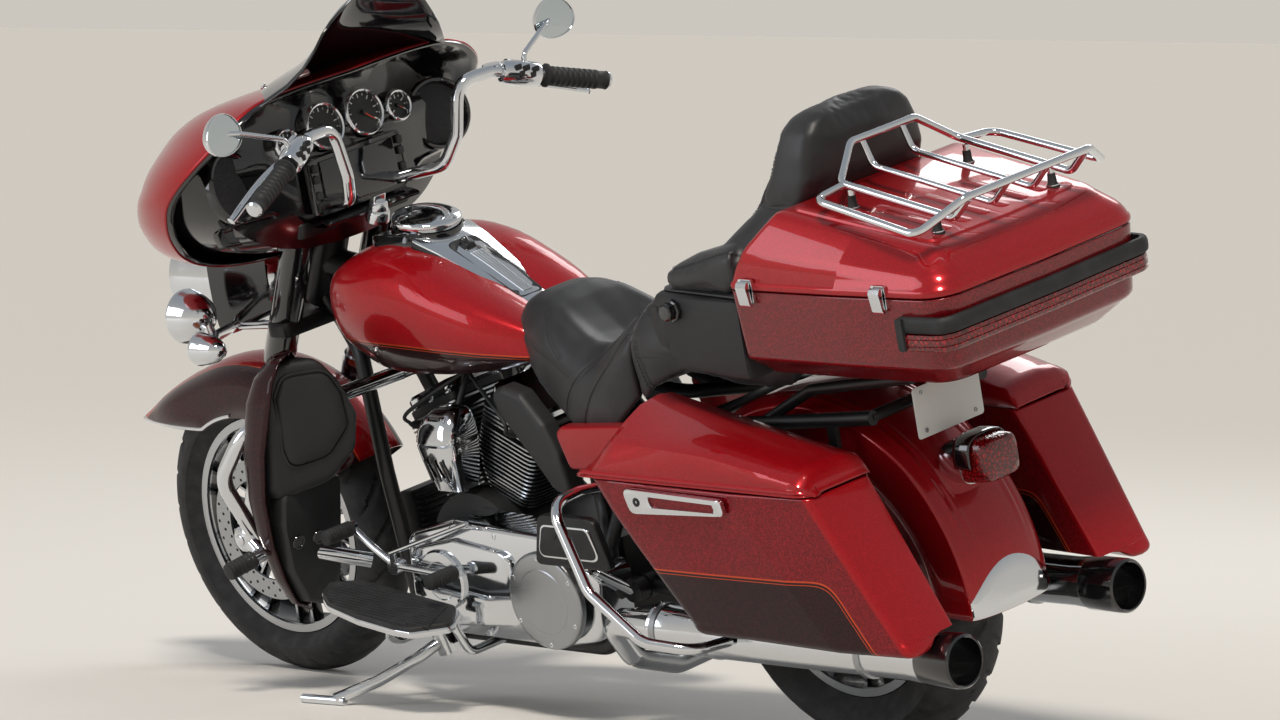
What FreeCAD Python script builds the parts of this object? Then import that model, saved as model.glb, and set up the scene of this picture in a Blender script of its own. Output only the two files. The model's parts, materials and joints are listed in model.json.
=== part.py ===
import FreeCAD, Part

import math
import os

from FreeCAD import Vector

# Touring cruiser motorcycle, parked leaning on its side stand. Lengths in mm, angles in degrees.
# It is drawn upright from stations: s forward of the rear axle, t to the left of the middle, z above
# the road. At the end the whole machine leans to the left until its side stand's foot meets the road.

lean_angle = 14.25
wheelbase = 1625.0
axle_height = 316.0
running_gap = 6.0
seat_gap = 0.3

# Wheels and tyres
front_tyre_radius = 320.0
front_tyre_width = 130.0
front_rim_radius = 232.0
rear_tyre_width = 180.0
rear_crown_radius = 104.0
rear_rim_radius = 214.0
tyre_wall = 14.0
rim_wall = 9.0
front_hub_radius = 44.0
rear_hub_radius = 62.0
front_axle_radius = 12.5
rear_axle_radius = 12.5
axle_clearance = 0.05
disc_radius = 150.0
disc_thickness = 5.0
front_disc_offset = 72.0
pulley_radius = 112.0
rear_fender_radius = 402.0
rear_fender_half = 108.0
pulley_width = 28.0

# Steering and fork
rake = 26.0
fork_trail_offset = 19.0
fork_leg_spacing = 116.0
fork_tube_radius = 24.5
fork_slider_radius = 31.0
fork_slider_length = 330.0
fork_cover_radius = 33.0
lower_yoke_height = 775.0
upper_yoke_height = 985.0
yoke_thickness = 30.0
head_tube_radius = 34.0
stem_radius = 16.0
stem_clearance = 0.05

# Handlebar
handlebar_radius = 13.0
grip_radius = 18.5

# Fairing: each level's height above the upper yoke, nose ahead of the steering axis there, half width, tail
fairing_levels = [
    (-50.0, 332.0, 285.0, 12.0),
    (35.0, 372.0, 395.0, -83.0),
    (135.0, 340.0, 400.0, -113.0),
    (230.0, 205.0, 345.0, -103.0),
    (283.0, 62.0, 270.0, -93.0),
]

# Screen: each level's height above the upper yoke, reach ahead of the steering axis there and half width
screen_levels = [
    (283.3, 57.0, 262.0),
    (345.0, -88.0, 186.0),
    (413.0, -142.0, 142.0),
    (446.0, -164.0, 92.0),
]

# Instruments: reach ahead of the steering axis at the upper yoke, side, height above the yoke and radius
gauges = [
    (-78.0, 85.0, 195.0, 55.0),
    (-78.0, -85.0, 195.0, 55.0),
    (-78.0, 190.0, 180.0, 34.0),
    (-78.0, -190.0, 180.0, 34.0),
]

# Frame
backbone_radius = 30.0
cradle_tube_radius = 16.0
cradle_half_width = 128.0
cradle_rail_height = 172.0
subframe_radius = 14.0
swingarm_pivot = (492.0, 300.0)
swingarm_half_width = 128.0
pivot_radius = 26.0

# Engine
crank_s = 935.0
crank_z = 330.0
crankcase_radius = 128.0
vee_angle = 45.0
fin_count = 9
fin_thickness = 4.0
fin_pitch = 13.0
fin_half_width = 88.0
fin_half_length = 84.0
cylinder_base = 135.0
head_half_width = 82.0
primary_face = 226.0
derby_radius = 84.0

# Tank and seat
tank_half_width = 190.0
tank_top = 968.0
cap_radius = 68.0

# Luggage
bag_wall = 5.0
bag_inner_t = 204.0
bag_top_z = 612.0
bag_bottom_z = 306.0
muffler_radius = 52.0
muffler_t = 229.0
muffler_z = 272.0
muffler_gap = 9.0
muffler_front = 436.0
muffler_length = 902.0
trunk_wall = 5.0
trunk_bottom_z = 800.0
trunk_seam_z = 978.0
lid_gap = 1.0
rack_radius = 7.5
trunk_front = -82.0
rail_front = -492.0
rail_low = 917.0
trunk_hinge_t = -304.0
trunk_hinge_z = 979.0
bag_hinge_t = 198.0
bag_hinge_z = 640.0
hinge_radius = 5.0

# Boards and side stand
board_pitch = 5.6
board_hinge = (975.0, 262.0, 262.0)
passenger_hinge = (492.0, 255.0, 384.0)
stand_pivot = (1003.0, 195.0, 171.0)
stand_axis = (0.0504, 0.2017, 0.9782)


def at(s, t, z):
    """Place of a station in the model's own axes."""
    return Vector(t, -s, z)


def lean(shape):
    """Lean the upright shape to the left and set the tyres on the road."""
    turned = shape.copy()
    turned.rotate(Vector(0, 0, 0), Vector(0, 1, 0), lean_angle)
    turned.translate(ground_shift())
    return turned


def ground_shift():
    """Lift that puts the leaning tyres' lowest points at z = 0."""
    tilt = math.radians(lean_angle)
    crown = front_tyre_width / 2
    lowest = axle_height * math.cos(tilt) - (front_tyre_radius - crown) * math.cos(tilt) - crown
    return Vector(0, 0, -lowest)


def export(name, shape):
    """Keep one piece, leaning, until all are made."""
    pieces[name] = lean(shape)


def write_pieces():
    """Centre the whole machine over the origin and write each piece as its own file."""
    box = FreeCAD.BoundBox()
    for shape in pieces.values():
        box.add(shape.optimalBoundingBox(False, False))
    shift = Vector(-(box.XMin + box.XMax) / 2, -(box.YMin + box.YMax) / 2, 0)
    print("shift", shift.x, shift.y, "lift", ground_shift().z, "lowest", box.ZMin)
    for name, shape in pieces.items():
        shape.translate(shift)
        shape.exportStep("parts/" + name + ".step")
        print(name, "solids", len(shape.Solids), "volume", round(shape.Volume / 1000.0), "cm3")


def join(*shapes):
    """Fuse the shapes that make one piece."""
    whole = shapes[0]
    if len(shapes) > 1:
        whole = whole.fuse(list(shapes[1:]))
    return whole.removeSplitter()


def rod(start, end, radius):
    """Round bar from one station to another."""
    a = at(*start)
    b = at(*end)
    return Part.makeCylinder(radius, (b - a).Length, a, b - a)


def block(s0, s1, t0, t1, z0, z1):
    """Box between two stations on each axis."""
    return Part.makeBox(t1 - t0, s1 - s0, z1 - z0, at(s1, t0, z0))


def cross_disc(s, z, t0, t1, radius):
    """Disc or bar that lies across the machine."""
    return Part.makeCylinder(radius, t1 - t0, at(s, t0, z), Vector(1, 0, 0))


def turned(profile, start, end):
    """Solid turned about the line from start to end; the profile holds distances along it and radii."""
    base = at(*start)
    along = at(*end) - base
    along.normalize()
    across = along.cross(Vector(1, 0, 0))
    across.normalize()
    points = [base + along * run + across * radius for run, radius in profile]
    return Part.Face(Part.makePolygon(points + [points[0]])).revolve(base, along, 360)


def tube(stations, radius, bend):
    """Round tube through the stations, with its bends as arcs."""
    points = [at(*p) for p in stations]
    edges = []
    begin = points[0]
    for i in range(1, len(points) - 1):
        corner = points[i]
        into = (points[i - 1] - corner)
        out = (points[i + 1] - corner)
        room = 0.45 * min(into.Length, out.Length)
        into.normalize()
        out.normalize()
        half = 0.5 * into.getAngle(out)
        run = min(room, bend / math.tan(half))
        arc_radius = run * math.tan(half)
        arc_start = corner + into * run
        arc_end = corner + out * run
        bisector = into + out
        bisector.normalize()
        centre = corner + bisector * (arc_radius / math.sin(half))
        arc_middle = centre - bisector * arc_radius
        edges.append(Part.LineSegment(begin, arc_start).toShape())
        edges.append(Part.Arc(arc_start, arc_middle, arc_end).toShape())
        begin = arc_end
    edges.append(Part.LineSegment(begin, points[-1]).toShape())
    path = Part.Wire(edges)
    ring = Part.Wire(Part.makeCircle(radius, points[0], points[1] - points[0]))
    return Part.Wire(path).makePipeShell([ring], True, False)


def rounded(points, radii):
    """Closed wire through coplanar points with each corner rounded by its own radius."""
    count = len(points)
    starts = []
    ends = []
    middles = []
    for i in range(count):
        corner = points[i]
        into = points[i - 1] - corner
        out = points[(i + 1) % count] - corner
        into.normalize()
        out.normalize()
        half = 0.5 * into.getAngle(out)
        run = radii[i] / math.tan(half)
        bisector = into + out
        bisector.normalize()
        starts.append(corner + into * run)
        ends.append(corner + out * run)
        middles.append(corner + bisector * (radii[i] / math.sin(half) - radii[i]))
    edges = []
    for i in range(count):
        edges.append(Part.Arc(starts[i], middles[i], ends[i]).toShape())
        edges.append(Part.LineSegment(ends[i], starts[(i + 1) % count]).toShape())
    return Part.Wire(edges)


def plan_loft(sections, ruled=True):
    """Loft between level or tilted outlines, each given as stations and corner radii."""
    wires = [rounded([at(*p) for p in outline], radii) for outline, radii in sections]
    return Part.makeLoft(wires, True, ruled)


def side_plate(outline, t0, t1, radius=0.0):
    """Plate whose outline is drawn in the side view as s and z."""
    points = [at(s, t0, z) for s, z in outline]
    if radius > 0:
        wire = rounded(points, [radius] * len(points))
    else:
        wire = Part.makePolygon(points + [points[0]])
    return Part.Face(wire).extrude(Vector(t1 - t0, 0, 0))


def arched(s, half_low, half_wide, half_top, z_low, z_wide, z_top, crown):
    """Cross section at one station: flat foot, bowed sides and a crowned top."""
    foot_right = at(s, -half_low, z_low)
    foot_left = at(s, half_low, z_low)
    top_right = at(s, -half_top, z_top)
    top_left = at(s, half_top, z_top)
    return Part.Wire([
        Part.LineSegment(foot_right, foot_left).toShape(),
        Part.Arc(foot_left, at(s, half_wide, z_wide), top_left).toShape(),
        Part.Arc(top_left, at(s, 0, z_top + crown), top_right).toShape(),
        Part.Arc(top_right, at(s, -half_wide, z_wide), foot_right).toShape(),
    ])


def mirrored(shape):
    """The same piece on the other side of the machine."""
    return shape.mirror(Vector(0, 0, 0), Vector(1, 0, 0))


def steering_point(z, behind=0.0, t=0.0):
    """Station on the steering axis, or behind it, at a height."""
    lean_back = math.tan(math.radians(rake))
    s = wheelbase + fork_trail_offset - lean_back * (z - axle_height)
    return (s - behind, t, z)


def from_yoke(height, ahead, t, up):
    """Station measured from where the steering axis passes a yoke: ahead of it, to a side and above it."""
    return (steering_point(height)[0] + ahead, t, height + up)


def wheel_tyre(s, radius, width, crown, rim_radius):
    """Tyre: a hollow ring with a round crown that rolls onto its shoulder in a lean."""
    half = width / 2
    edge = half * 0.985
    drop = crown - math.sqrt(crown ** 2 - edge ** 2)
    shoulder = radius - drop
    bead = half * 0.62
    outline = [
        Part.Arc(at(s, -edge, axle_height + shoulder), at(s, 0, axle_height + radius),
                 at(s, edge, axle_height + shoulder)).toShape(),
        Part.LineSegment(at(s, edge, axle_height + shoulder), at(s, bead, axle_height + rim_radius)).toShape(),
        Part.LineSegment(at(s, bead, axle_height + rim_radius),
                         at(s, bead - tyre_wall, axle_height + rim_radius)).toShape(),
        Part.LineSegment(at(s, bead - tyre_wall, axle_height + rim_radius),
                         at(s, edge - tyre_wall, axle_height + shoulder - tyre_wall)).toShape(),
        Part.Arc(at(s, edge - tyre_wall, axle_height + shoulder - tyre_wall),
                 at(s, 0, axle_height + radius - tyre_wall),
                 at(s, tyre_wall - edge, axle_height + shoulder - tyre_wall)).toShape(),
        Part.LineSegment(at(s, tyre_wall - edge, axle_height + shoulder - tyre_wall),
                         at(s, tyre_wall - bead, axle_height + rim_radius)).toShape(),
        Part.LineSegment(at(s, tyre_wall - bead, axle_height + rim_radius),
                         at(s, -bead, axle_height + rim_radius)).toShape(),
        Part.LineSegment(at(s, -bead, axle_height + rim_radius), at(s, -edge, axle_height + shoulder)).toShape(),
    ]
    face = Part.Face(Part.Wire(outline))
    return face.revolve(at(s, 0, axle_height), Vector(1, 0, 0), 360)


def wheel_rim(s, rim_radius, bead, hub_radius, hub_half, spoke_count, axle_hole):
    """Cast wheel: rim band, hub and paired spokes."""
    band = cross_disc(s, axle_height, -bead, bead, rim_radius)
    band = band.cut(cross_disc(s, axle_height, -bead, bead, rim_radius - rim_wall - 6))
    hub = cross_disc(s, axle_height, -hub_half, hub_half, hub_radius)
    spokes = []
    for i in range(spoke_count):
        turn = 360.0 * i / spoke_count
        for side in (-1, 1):
            arm = spoke(s, hub_radius - 8, rim_radius - rim_wall, side)
            arm.rotate(at(s, 0, axle_height), Vector(1, 0, 0), turn)
            spokes.append(arm)
    wheel = join(band, hub, *spokes)
    return wheel.cut(cross_disc(s, axle_height, -hub_half - 1, hub_half + 1, axle_hole))


def spoke(s, inner, outer, side):
    """One bar of a spoke pair, from hub to rim, spreading outwards."""
    near = 9 * side
    far = 24 * side
    outline = [(near - 6, inner), (near + 6, inner), (far + 5, outer), (far - 5, outer)]
    points = [at(s + p, -10, axle_height + q) for p, q in outline]
    wire = Part.makePolygon(points + [points[0]])
    return Part.Face(wire).extrude(Vector(20, 0, 0))


def brake_disc(s, t):
    """Drilled brake disc with its carrier, one side of the wheel."""
    disc = cross_disc(s, axle_height, t - disc_thickness / 2, t + disc_thickness / 2, disc_radius)
    disc = disc.cut(cross_disc(s, axle_height, t - disc_thickness, t + disc_thickness, disc_radius - 42))
    carrier = cross_disc(s, axle_height, min(t, 0), max(t, 0), 60)
    arms = []
    for i in range(5):
        arm = block(s - 9, s + 9, t - 2, t + 2, axle_height + 50, axle_height + disc_radius - 38)
        arm.rotate(at(s, 0, axle_height), Vector(1, 0, 0), 72 * i)
        arms.append(arm)
    return join(disc, carrier, *arms)


def rear_tyre_radius():
    """Rear tyre size that touches the road together with the front one when the machine leans."""
    tilt = math.cos(math.radians(lean_angle))
    crown = front_tyre_width / 2
    contact = (front_tyre_radius - crown) * tilt + crown
    return (contact - rear_crown_radius) / tilt + rear_crown_radius


def make_wheels():
    """Both tyres, both cast wheels with their discs, and the belt pulley."""
    rear_radius = rear_tyre_radius()
    export("front_tyre", wheel_tyre(wheelbase, front_tyre_radius, front_tyre_width,
                                    front_tyre_width / 2, front_rim_radius))
    export("rear_tyre", wheel_tyre(0, rear_radius, rear_tyre_width, rear_crown_radius, rear_rim_radius))
    hole = front_axle_radius + axle_clearance
    front = wheel_rim(wheelbase, front_rim_radius - 0.3, front_tyre_width * 0.31 + 1, front_hub_radius, 66, 10, hole)
    discs = [brake_disc(wheelbase, t) for t in (-front_disc_offset, front_disc_offset)]
    front = join(front, *discs).cut(cross_disc(wheelbase, axle_height, -90, 90, hole))
    export("front_rim", front)
    rear = wheel_rim(0, rear_rim_radius - 0.3, rear_tyre_width * 0.31 + 1, rear_hub_radius, 66, 10, hole)
    pulley = cross_disc(0, axle_height, 62, 62 + pulley_width, pulley_radius)
    rear = join(rear, pulley, brake_disc(0, -64))
    export("rear_rim", rear.cut(cross_disc(0, axle_height, -100, 100, hole)))


def handlebar_route():
    """Stations along the handlebar from its right end to its left end."""
    left = [(-22, 0, 37), (-28, 75, 37), (-200, 130, 67), (-228, 150, 125), (-232, 172, 229), (-250, 250, 231),
            (-328, 482, 153)]
    left = [from_yoke(upper_yoke_height, *place) for place in left]
    return [(s, -t, z) for s, t, z in reversed(left)] + left[1:]


def fork_envelope(extra):
    """Fork tubes and covers with room around them, for what is cut to clear them."""
    shapes = []
    for t in (-fork_leg_spacing, fork_leg_spacing):
        knee = steering_point(axle_height + fork_slider_length, fork_trail_offset, t)
        top = steering_point(upper_yoke_height + 15, fork_trail_offset, t)
        shapes.append(rod(knee, top, fork_cover_radius + extra))
    middle = steering_point(upper_yoke_height)
    shapes.append(yoke(middle[0], upper_yoke_height, extra))
    return join(*shapes)


def fork_shape():
    """Yokes, stem, tubes, covers, sliders and front axle."""
    low = lower_yoke_height
    high = upper_yoke_height
    parts = [rod(steering_point(low - 8), steering_point(high + 12), stem_radius)]
    for side in (-1, 1):
        t = side * fork_leg_spacing
        foot = (wheelbase, t, axle_height)
        knee = steering_point(axle_height + fork_slider_length, fork_trail_offset, t)
        neck = steering_point(low + 20, fork_trail_offset, t)
        top = steering_point(high + 15, fork_trail_offset, t)
        parts.append(rod(foot, knee, fork_slider_radius))
        parts.append(rod(knee, top, fork_tube_radius))
        parts.append(rod(neck, top, fork_cover_radius))
        parts.append(cross_disc(wheelbase, axle_height, min(t * 0.78, t * 1.28), max(t * 0.78, t * 1.28), 27))
    for z in (low, high):
        middle = steering_point(z)
        parts.append(yoke(middle[0], z))
    parts.append(cross_disc(wheelbase, axle_height, -fork_leg_spacing, fork_leg_spacing, front_axle_radius))
    return join(*parts)


def make_fork():
    """Yokes, stem, tubes, covers, sliders and front axle, as one steered piece."""
    export("fork", fork_shape())


def yoke(s, z, extra=0.0):
    """Clamp plate across the fork legs, square to the steering axis."""
    reach = fork_leg_spacing + 38 + extra
    half = yoke_thickness / 2 + extra
    plate = block(s - fork_trail_offset - 42 - extra, s + 34 + extra, -reach, reach, z - half, z + half)
    plate.rotate(at(s, 0, z), Vector(1, 0, 0), -rake)
    return plate


def fender_section(s, radius, half_width, skirt, wall, crown, angle):
    """Closed section of an arched guard, turned about the axle by an angle from the top."""
    top = axle_height + radius
    outline = Part.Wire([
        Part.LineSegment(at(s, -half_width, top - skirt), at(s, -half_width, top - crown)).toShape(),
        Part.Arc(at(s, -half_width, top - crown), at(s, 0, top), at(s, half_width, top - crown)).toShape(),
        Part.LineSegment(at(s, half_width, top - crown), at(s, half_width, top - skirt)).toShape(),
        Part.LineSegment(at(s, half_width, top - skirt), at(s, half_width - wall, top - skirt)).toShape(),
        Part.LineSegment(at(s, half_width - wall, top - skirt),
                         at(s, half_width - wall, top - crown - wall)).toShape(),
        Part.Arc(at(s, half_width - wall, top - crown - wall), at(s, 0, top - wall),
                 at(s, wall - half_width, top - crown - wall)).toShape(),
        Part.LineSegment(at(s, wall - half_width, top - crown - wall),
                         at(s, wall - half_width, top - skirt)).toShape(),
        Part.LineSegment(at(s, wall - half_width, top - skirt), at(s, -half_width, top - skirt)).toShape(),
    ])
    outline.rotate(at(s, 0, axle_height), Vector(1, 0, 0), angle)
    return outline


def fender_arch(s, radius, half_width, skirt, wall, start, sweep, crown):
    """Arched guard over a wheel: a crowned top with side skirts, swept about the axle."""
    face = Part.Face(fender_section(s, radius, half_width, skirt, wall, crown, start))
    return face.revolve(at(s, 0, axle_height), Vector(1, 0, 0), sweep)


def make_front_fender():
    """Front guard between the fork legs, with its flared lip in front."""
    radius = front_tyre_radius + 34
    half = fork_leg_spacing - fork_slider_radius - seat_gap
    arch = fender_arch(wheelbase, radius, half, 112, 4, -62, 110, 46)
    lip = Part.makeLoft([
        fender_section(wheelbase, radius, half, 112, 4, 46, 48),
        fender_section(wheelbase, radius + 17, half, 118, 4, 46, 54),
        fender_section(wheelbase, radius + 50, half - 8, 88, 4, 40, 59),
        fender_section(wheelbase, radius + 70, half - 20, 44, 4, 34, 61),
    ], True, True)
    export("front_fender", join(arch, lip))


def make_headlamp():
    """Round headlamp in its long shell below the fairing's nose, on a stay from the lower yoke."""
    profile = [(0, 0), (0, 34), (120, 70), (245, 96), (245, 101), (271, 101), (278, 92), (292, 60), (296, 0)]
    low = lower_yoke_height
    shell = turned(profile, from_yoke(low, 73, 0, 63), from_yoke(low, 373, 0, 63))
    stay = rod(from_yoke(low, 20, 0, 5), from_yoke(low, 120, 0, 40), 12)
    export("headlamp", largest(join(shell, stay).cut(fork_shape())))


def fairing_outline(z, nose, half, tail, shrink):
    """Level outline of the fairing: tail line, swept sides and a rounded nose."""
    nose = nose - shrink
    half = half - shrink
    cheek = tail + 0.55 * (nose - tail)
    return Part.Wire([
        Part.Arc(at(tail, half, z), at(cheek, 0.9 * half, z), at(nose - 60, 0.42 * half, z)).toShape(),
        Part.Arc(at(nose - 60, 0.42 * half, z), at(nose, 0, z), at(nose - 60, -0.42 * half, z)).toShape(),
        Part.Arc(at(nose - 60, -0.42 * half, z), at(cheek, -0.9 * half, z), at(tail, -half, z)).toShape(),
        Part.LineSegment(at(tail, -half, z), at(tail, half, z)).toShape(),
    ])


def make_fairing():
    """Outer shell, inner panel with its instruments, and the short windshield."""
    middle = steering_point(upper_yoke_height)[0]
    levels = [(upper_yoke_height + up, middle + nose, half, middle + tail) for up, nose, half, tail in fairing_levels]
    outer = Part.makeLoft([fairing_outline(*level, 0) for level in levels], True, True)
    inner = Part.makeLoft([fairing_outline(z, nose, half, tail - 20, 7) for z, nose, half, tail in levels],
                          True, True)
    shell = outer.cut(inner)
    export("outer_fairing", shell)
    panel = Part.makeLoft([fairing_outline(z, nose, half, tail - 20, 7.3) for z, nose, half, tail in levels],
                          True, True)
    low = upper_yoke_height - 45
    high = upper_yoke_height + 281
    panel = panel.common(block(middle - 103, middle - 56, -420, 420, low, high))
    for ahead, t, up, r in gauges:
        face = from_yoke(upper_yoke_height, ahead, t, up)
        back = from_yoke(upper_yoke_height, ahead - 45, t, up + 8)
        panel = join(panel, rod(face, back, r))
    for side in (-fork_leg_spacing, fork_leg_spacing):
        stay = rod(from_yoke(upper_yoke_height, -68, side, 50), from_yoke(upper_yoke_height, -20, side, 12), 10)
        panel = join(panel, stay)
    panel = panel.cut(tube(handlebar_route(), handlebar_radius + running_gap, 60))
    panel = panel.cut(fork_envelope(seat_gap))
    export("inner_fairing", largest(panel))
    outside = [screen_bow(upper_yoke_height + up, middle + ahead, half) for up, ahead, half in screen_levels]
    export("windshield", Part.makeLoft(outside, True, True))


def screen_bow(z, s, half):
    """Level outline of the curved screen at one height."""
    wall = 4.0
    sag = 0.45 * half
    return Part.Wire([
        Part.Arc(at(s - sag, -half, z), at(s, 0, z), at(s - sag, half, z)).toShape(),
        Part.LineSegment(at(s - sag, half, z), at(s - sag - 2, half - wall, z)).toShape(),
        Part.Arc(at(s - sag - 2, half - wall, z), at(s - wall, 0, z), at(s - sag - 2, wall - half, z)).toShape(),
        Part.LineSegment(at(s - sag - 2, wall - half, z), at(s - sag, -half, z)).toShape(),
    ])


def make_handlebar():
    """Handlebar with its risers, grips, controls and levers, and the mirrors on it."""
    def on_bar(ahead, t, up):
        return from_yoke(upper_yoke_height, ahead, t, up)
    shapes = [tube(handlebar_route(), handlebar_radius, 60)]
    for side in (-1, 1):
        shapes.append(rod(on_bar(-288, side * 352, 197), on_bar(-328, side * 482, 153), grip_radius))
        shapes.append(rod(on_bar(-260, side * 290, 219), on_bar(-284, side * 346, 199), 24))
        shapes.append(rod(on_bar(-250, side * 325, 177), on_bar(-266, side * 470, 133), 6))
        shapes.append(rod(on_bar(-272, side * 318, 209), on_bar(-248, side * 322, 175), 9))
        shapes.append(rod(on_bar(-22, side * 42, -25), on_bar(-22, side * 42, 37), 17))
    handlebar = largest(join(*shapes).cut(fork_shape()))
    export("handlebar", handlebar)
    stem = tube([on_bar(-274, 318, 215), on_bar(-256, 345, 255), on_bar(-226, 438, 283)], 5, 30)
    glass = Part.makeCylinder(52, 16, at(*on_bar(-234, 448, 287)), Vector(0, -1, 0.1))
    mirror = largest(join(stem, glass).cut(handlebar))
    export("mirrors", Part.makeCompound([mirror, mirrored(mirror)]))


def make_lamp_bracket():
    """Bar below the headlamp, on arms from the lower yoke, with two passing lamps and two turn signals."""
    def near(ahead, t, up):
        return from_yoke(lower_yoke_height, ahead, t, up)
    bar = tube([near(58, 250, -15), near(115, 190, -9), near(180, 90, -23), near(180, -90, -23), near(115, -190, -9),
                near(58, -250, -15)], 9, 40)
    lamps = []
    for side in (-1, 1):
        lamps.append(Part.makeCone(34, 56, 60, at(*near(132, side * 190, 31)), Vector(0, -1, 0)))
        lamps.append(rod(near(115, side * 190, -9), near(152, side * 190, 31), 14))
        lamps.append(Part.makeCone(16, 34, 60, at(*near(20, side * 250, -15)), Vector(0, -1, 0)))
        lamps.append(Part.makeCylinder(34, 20, at(*near(80, side * 250, -15)), Vector(0, -1, 0)))
        lamps.append(rod(near(20, side * 70, -11), near(180, side * 70, -23), 9))
    export("lamp_bracket", largest(join(bar, *lamps).cut(fork_shape())))


def frame_shape(extra):
    """Steering head and tubes, drawn larger by a gap when it is used to cut its neighbours."""
    low = steering_point(lower_yoke_height + 24)
    high = steering_point(upper_yoke_height - 24)
    pieces = [rod(low, high, head_tube_radius + extra)]
    middle = steering_point((lower_yoke_height + upper_yoke_height) / 2)
    pieces.append(tube([middle, (1150, 0, 850), (760, 0, 800), (622, 0, 640), (470, 0, 500)],
                       backbone_radius + extra, 150))
    thin = cradle_tube_radius + extra
    for side in (-1, 1):
        rail = cradle_half_width * side
        pieces.append(tube([steering_point(lower_yoke_height + 47), (1250, 60 * side, 715), (1185, 104 * side, 480),
                            (1120, rail, cradle_rail_height), (560, rail, cradle_rail_height), (540, rail, 440),
                            (640, 50 * side, 660)], thin, 60))
        pieces.append(tube([(680, 30 * side, 700), (540, 120 * side, 620), (250, 150 * side, 650),
                            (-250, 150 * side, 700)], subframe_radius + extra, 120))
        pieces.append(tube([(545, rail, 380), (430, 150 * side, 540), (200, 150 * side, 655)],
                           subframe_radius + extra, 80))
        pieces.append(tube([(60, 140 * side, 665), (-100, 149 * side, 745), (-380, 165 * side, 788.8)], 11 + extra, 60))
        pieces.append(rod((1003, rail, 172), (1003, 174.5 * side, 172), 14 + extra))
        for s, z in ((-140, 689), (180, 657)):
            pieces.append(block(s - 10 - extra, s + 10 + extra, *sorted((144 * side, 156 * side)), 596 - extra, z))
            reach = sorted(((rear_fender_half + seat_gap - extra) * side, (bag_inner_t - seat_gap) * side))
            pieces.append(block(s - 10 - extra, s + 10 + extra, *reach, 596 - extra, 606 + extra))
        boss_inner = (108 - extra) * side
        pieces.append(rod((492, boss_inner, 300), (492, (140 + extra) * side, 300), 24 + extra))
        pieces.append(rod((492, 128 * side, 300), (545, rail, 300), 11 + extra))
    pieces.append(cross_disc(-240, 700, -150, 150, 12 + extra))
    pieces.append(cross_disc(262, 648, -150, 150, 12 + extra))
    frame = join(*pieces)
    if extra > 0:
        return frame
    bore = rod(steering_point(lower_yoke_height - 75), steering_point(upper_yoke_height + 75),
               stem_radius + stem_clearance)
    return frame.cut(bore)


def swingarm_shape():
    """Swingarm from its pivot to the rear axle, with the axle itself."""
    s, z = swingarm_pivot
    reach = swingarm_half_width
    pieces = [cross_disc(s, z, seat_gap - 108, 108 - seat_gap, pivot_radius)]
    for side in (-1, 1):
        t = side * reach
        pieces.append(tube([(s, side * 84, z), (380, side * 100, z), (290, t, 300), (150, t, 305), (0, t, axle_height)],
                           18, 100))
        pieces.append(cross_disc(0, axle_height, min(t - 12, t + 12), max(t - 12, t + 12), 34))
    pieces.append(cross_disc(400, 300, -98, 98, 16))
    pieces.append(cross_disc(0, axle_height, -reach - 20, reach + 20, rear_axle_radius))
    return join(*pieces)


def tank_shape(hollowed=True):
    """Teardrop tank, with a tunnel below for the backbone."""
    sections = [
        arched(1232, 62, 122, 40, 742, 830, 905, 14),
        arched(1120, 118, 182, 78, 706, 838, 950, 16),
        arched(960, 140, tank_half_width, 92, 700, 836, tank_top - 16, 16),
        arched(800, 128, 166, 70, 712, 812, 908, 14),
        arched(680, 96, 112, 44, 730, 780, 832, 10),
    ]
    tank = Part.makeLoft(sections, True, False)
    if not hollowed:
        return tank
    slot = block(620, 1260, -backbone_radius - running_gap, backbone_radius + running_gap, 690, 806)
    return largest(tank.cut(frame_shape(seat_gap)).cut(slot))


def make_frame():
    """Steering head, backbone, twin cradle tubes, rear subframe and luggage stays."""
    export("frame", frame_shape(0))


def make_swingarm():
    """Swingarm from its pivot to the rear axle, with the axle itself."""
    export("swingarm", swingarm_shape())


def make_cylinders():
    """Both finned cylinders with their heads and rocker boxes, in a narrow vee."""
    barrels = []
    for side in (-1, 1):
        upright = block(-52, 52, -60, 60, 96, 268)
        for i in range(fin_count):
            z = cylinder_base + i * fin_pitch
            upright = join(upright, block(-fin_half_length, fin_half_length, -fin_half_width, fin_half_width,
                                          z, z + fin_thickness))
        head = block(-80, 80, -head_half_width, head_half_width, 262, 300)
        rocker = block(-74, 74, -70, 70, 300, 346)
        barrel = join(upright, head, rocker)
        barrel.rotate(Vector(0, 0, 0), Vector(1, 0, 0), vee_angle / 2 * side)
        barrel.translate(at(crank_s, 0, crank_z))
        half = block(crank_s + 1, 1300, -200, 200, 300, 800)
        if side < 0:
            half = block(500, crank_s - 1, -200, 200, 300, 800)
        barrel = barrel.common(half).cut(cross_disc(crank_s, crank_z, -200, 200, crankcase_radius + seat_gap))
        barrels.append(largest(barrel))
    export("cylinders", Part.makeCompound(barrels))


def make_engine():
    """Crankcase and gearbox as one block, with the round timing cover on the right."""
    case = cross_disc(crank_s, crank_z, -108, 118, crankcase_radius)
    gearbox = block(532, 850, -100, 104, 200, 395)
    oil_pan = block(540, 880, -96, 96, 160, 206)
    cover = cross_disc(crank_s + 10, crank_z - 5, -150, -100, 96)
    side_cover = block(600, 760, -150, -98, 235, 380)
    filter_can = Part.makeCylinder(38, 80, at(crank_s + 120, 0, crank_z - 40), Vector(0, -1, -0.15))
    return join(case, gearbox, oil_pan, cover, side_cover, filter_can)


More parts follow.
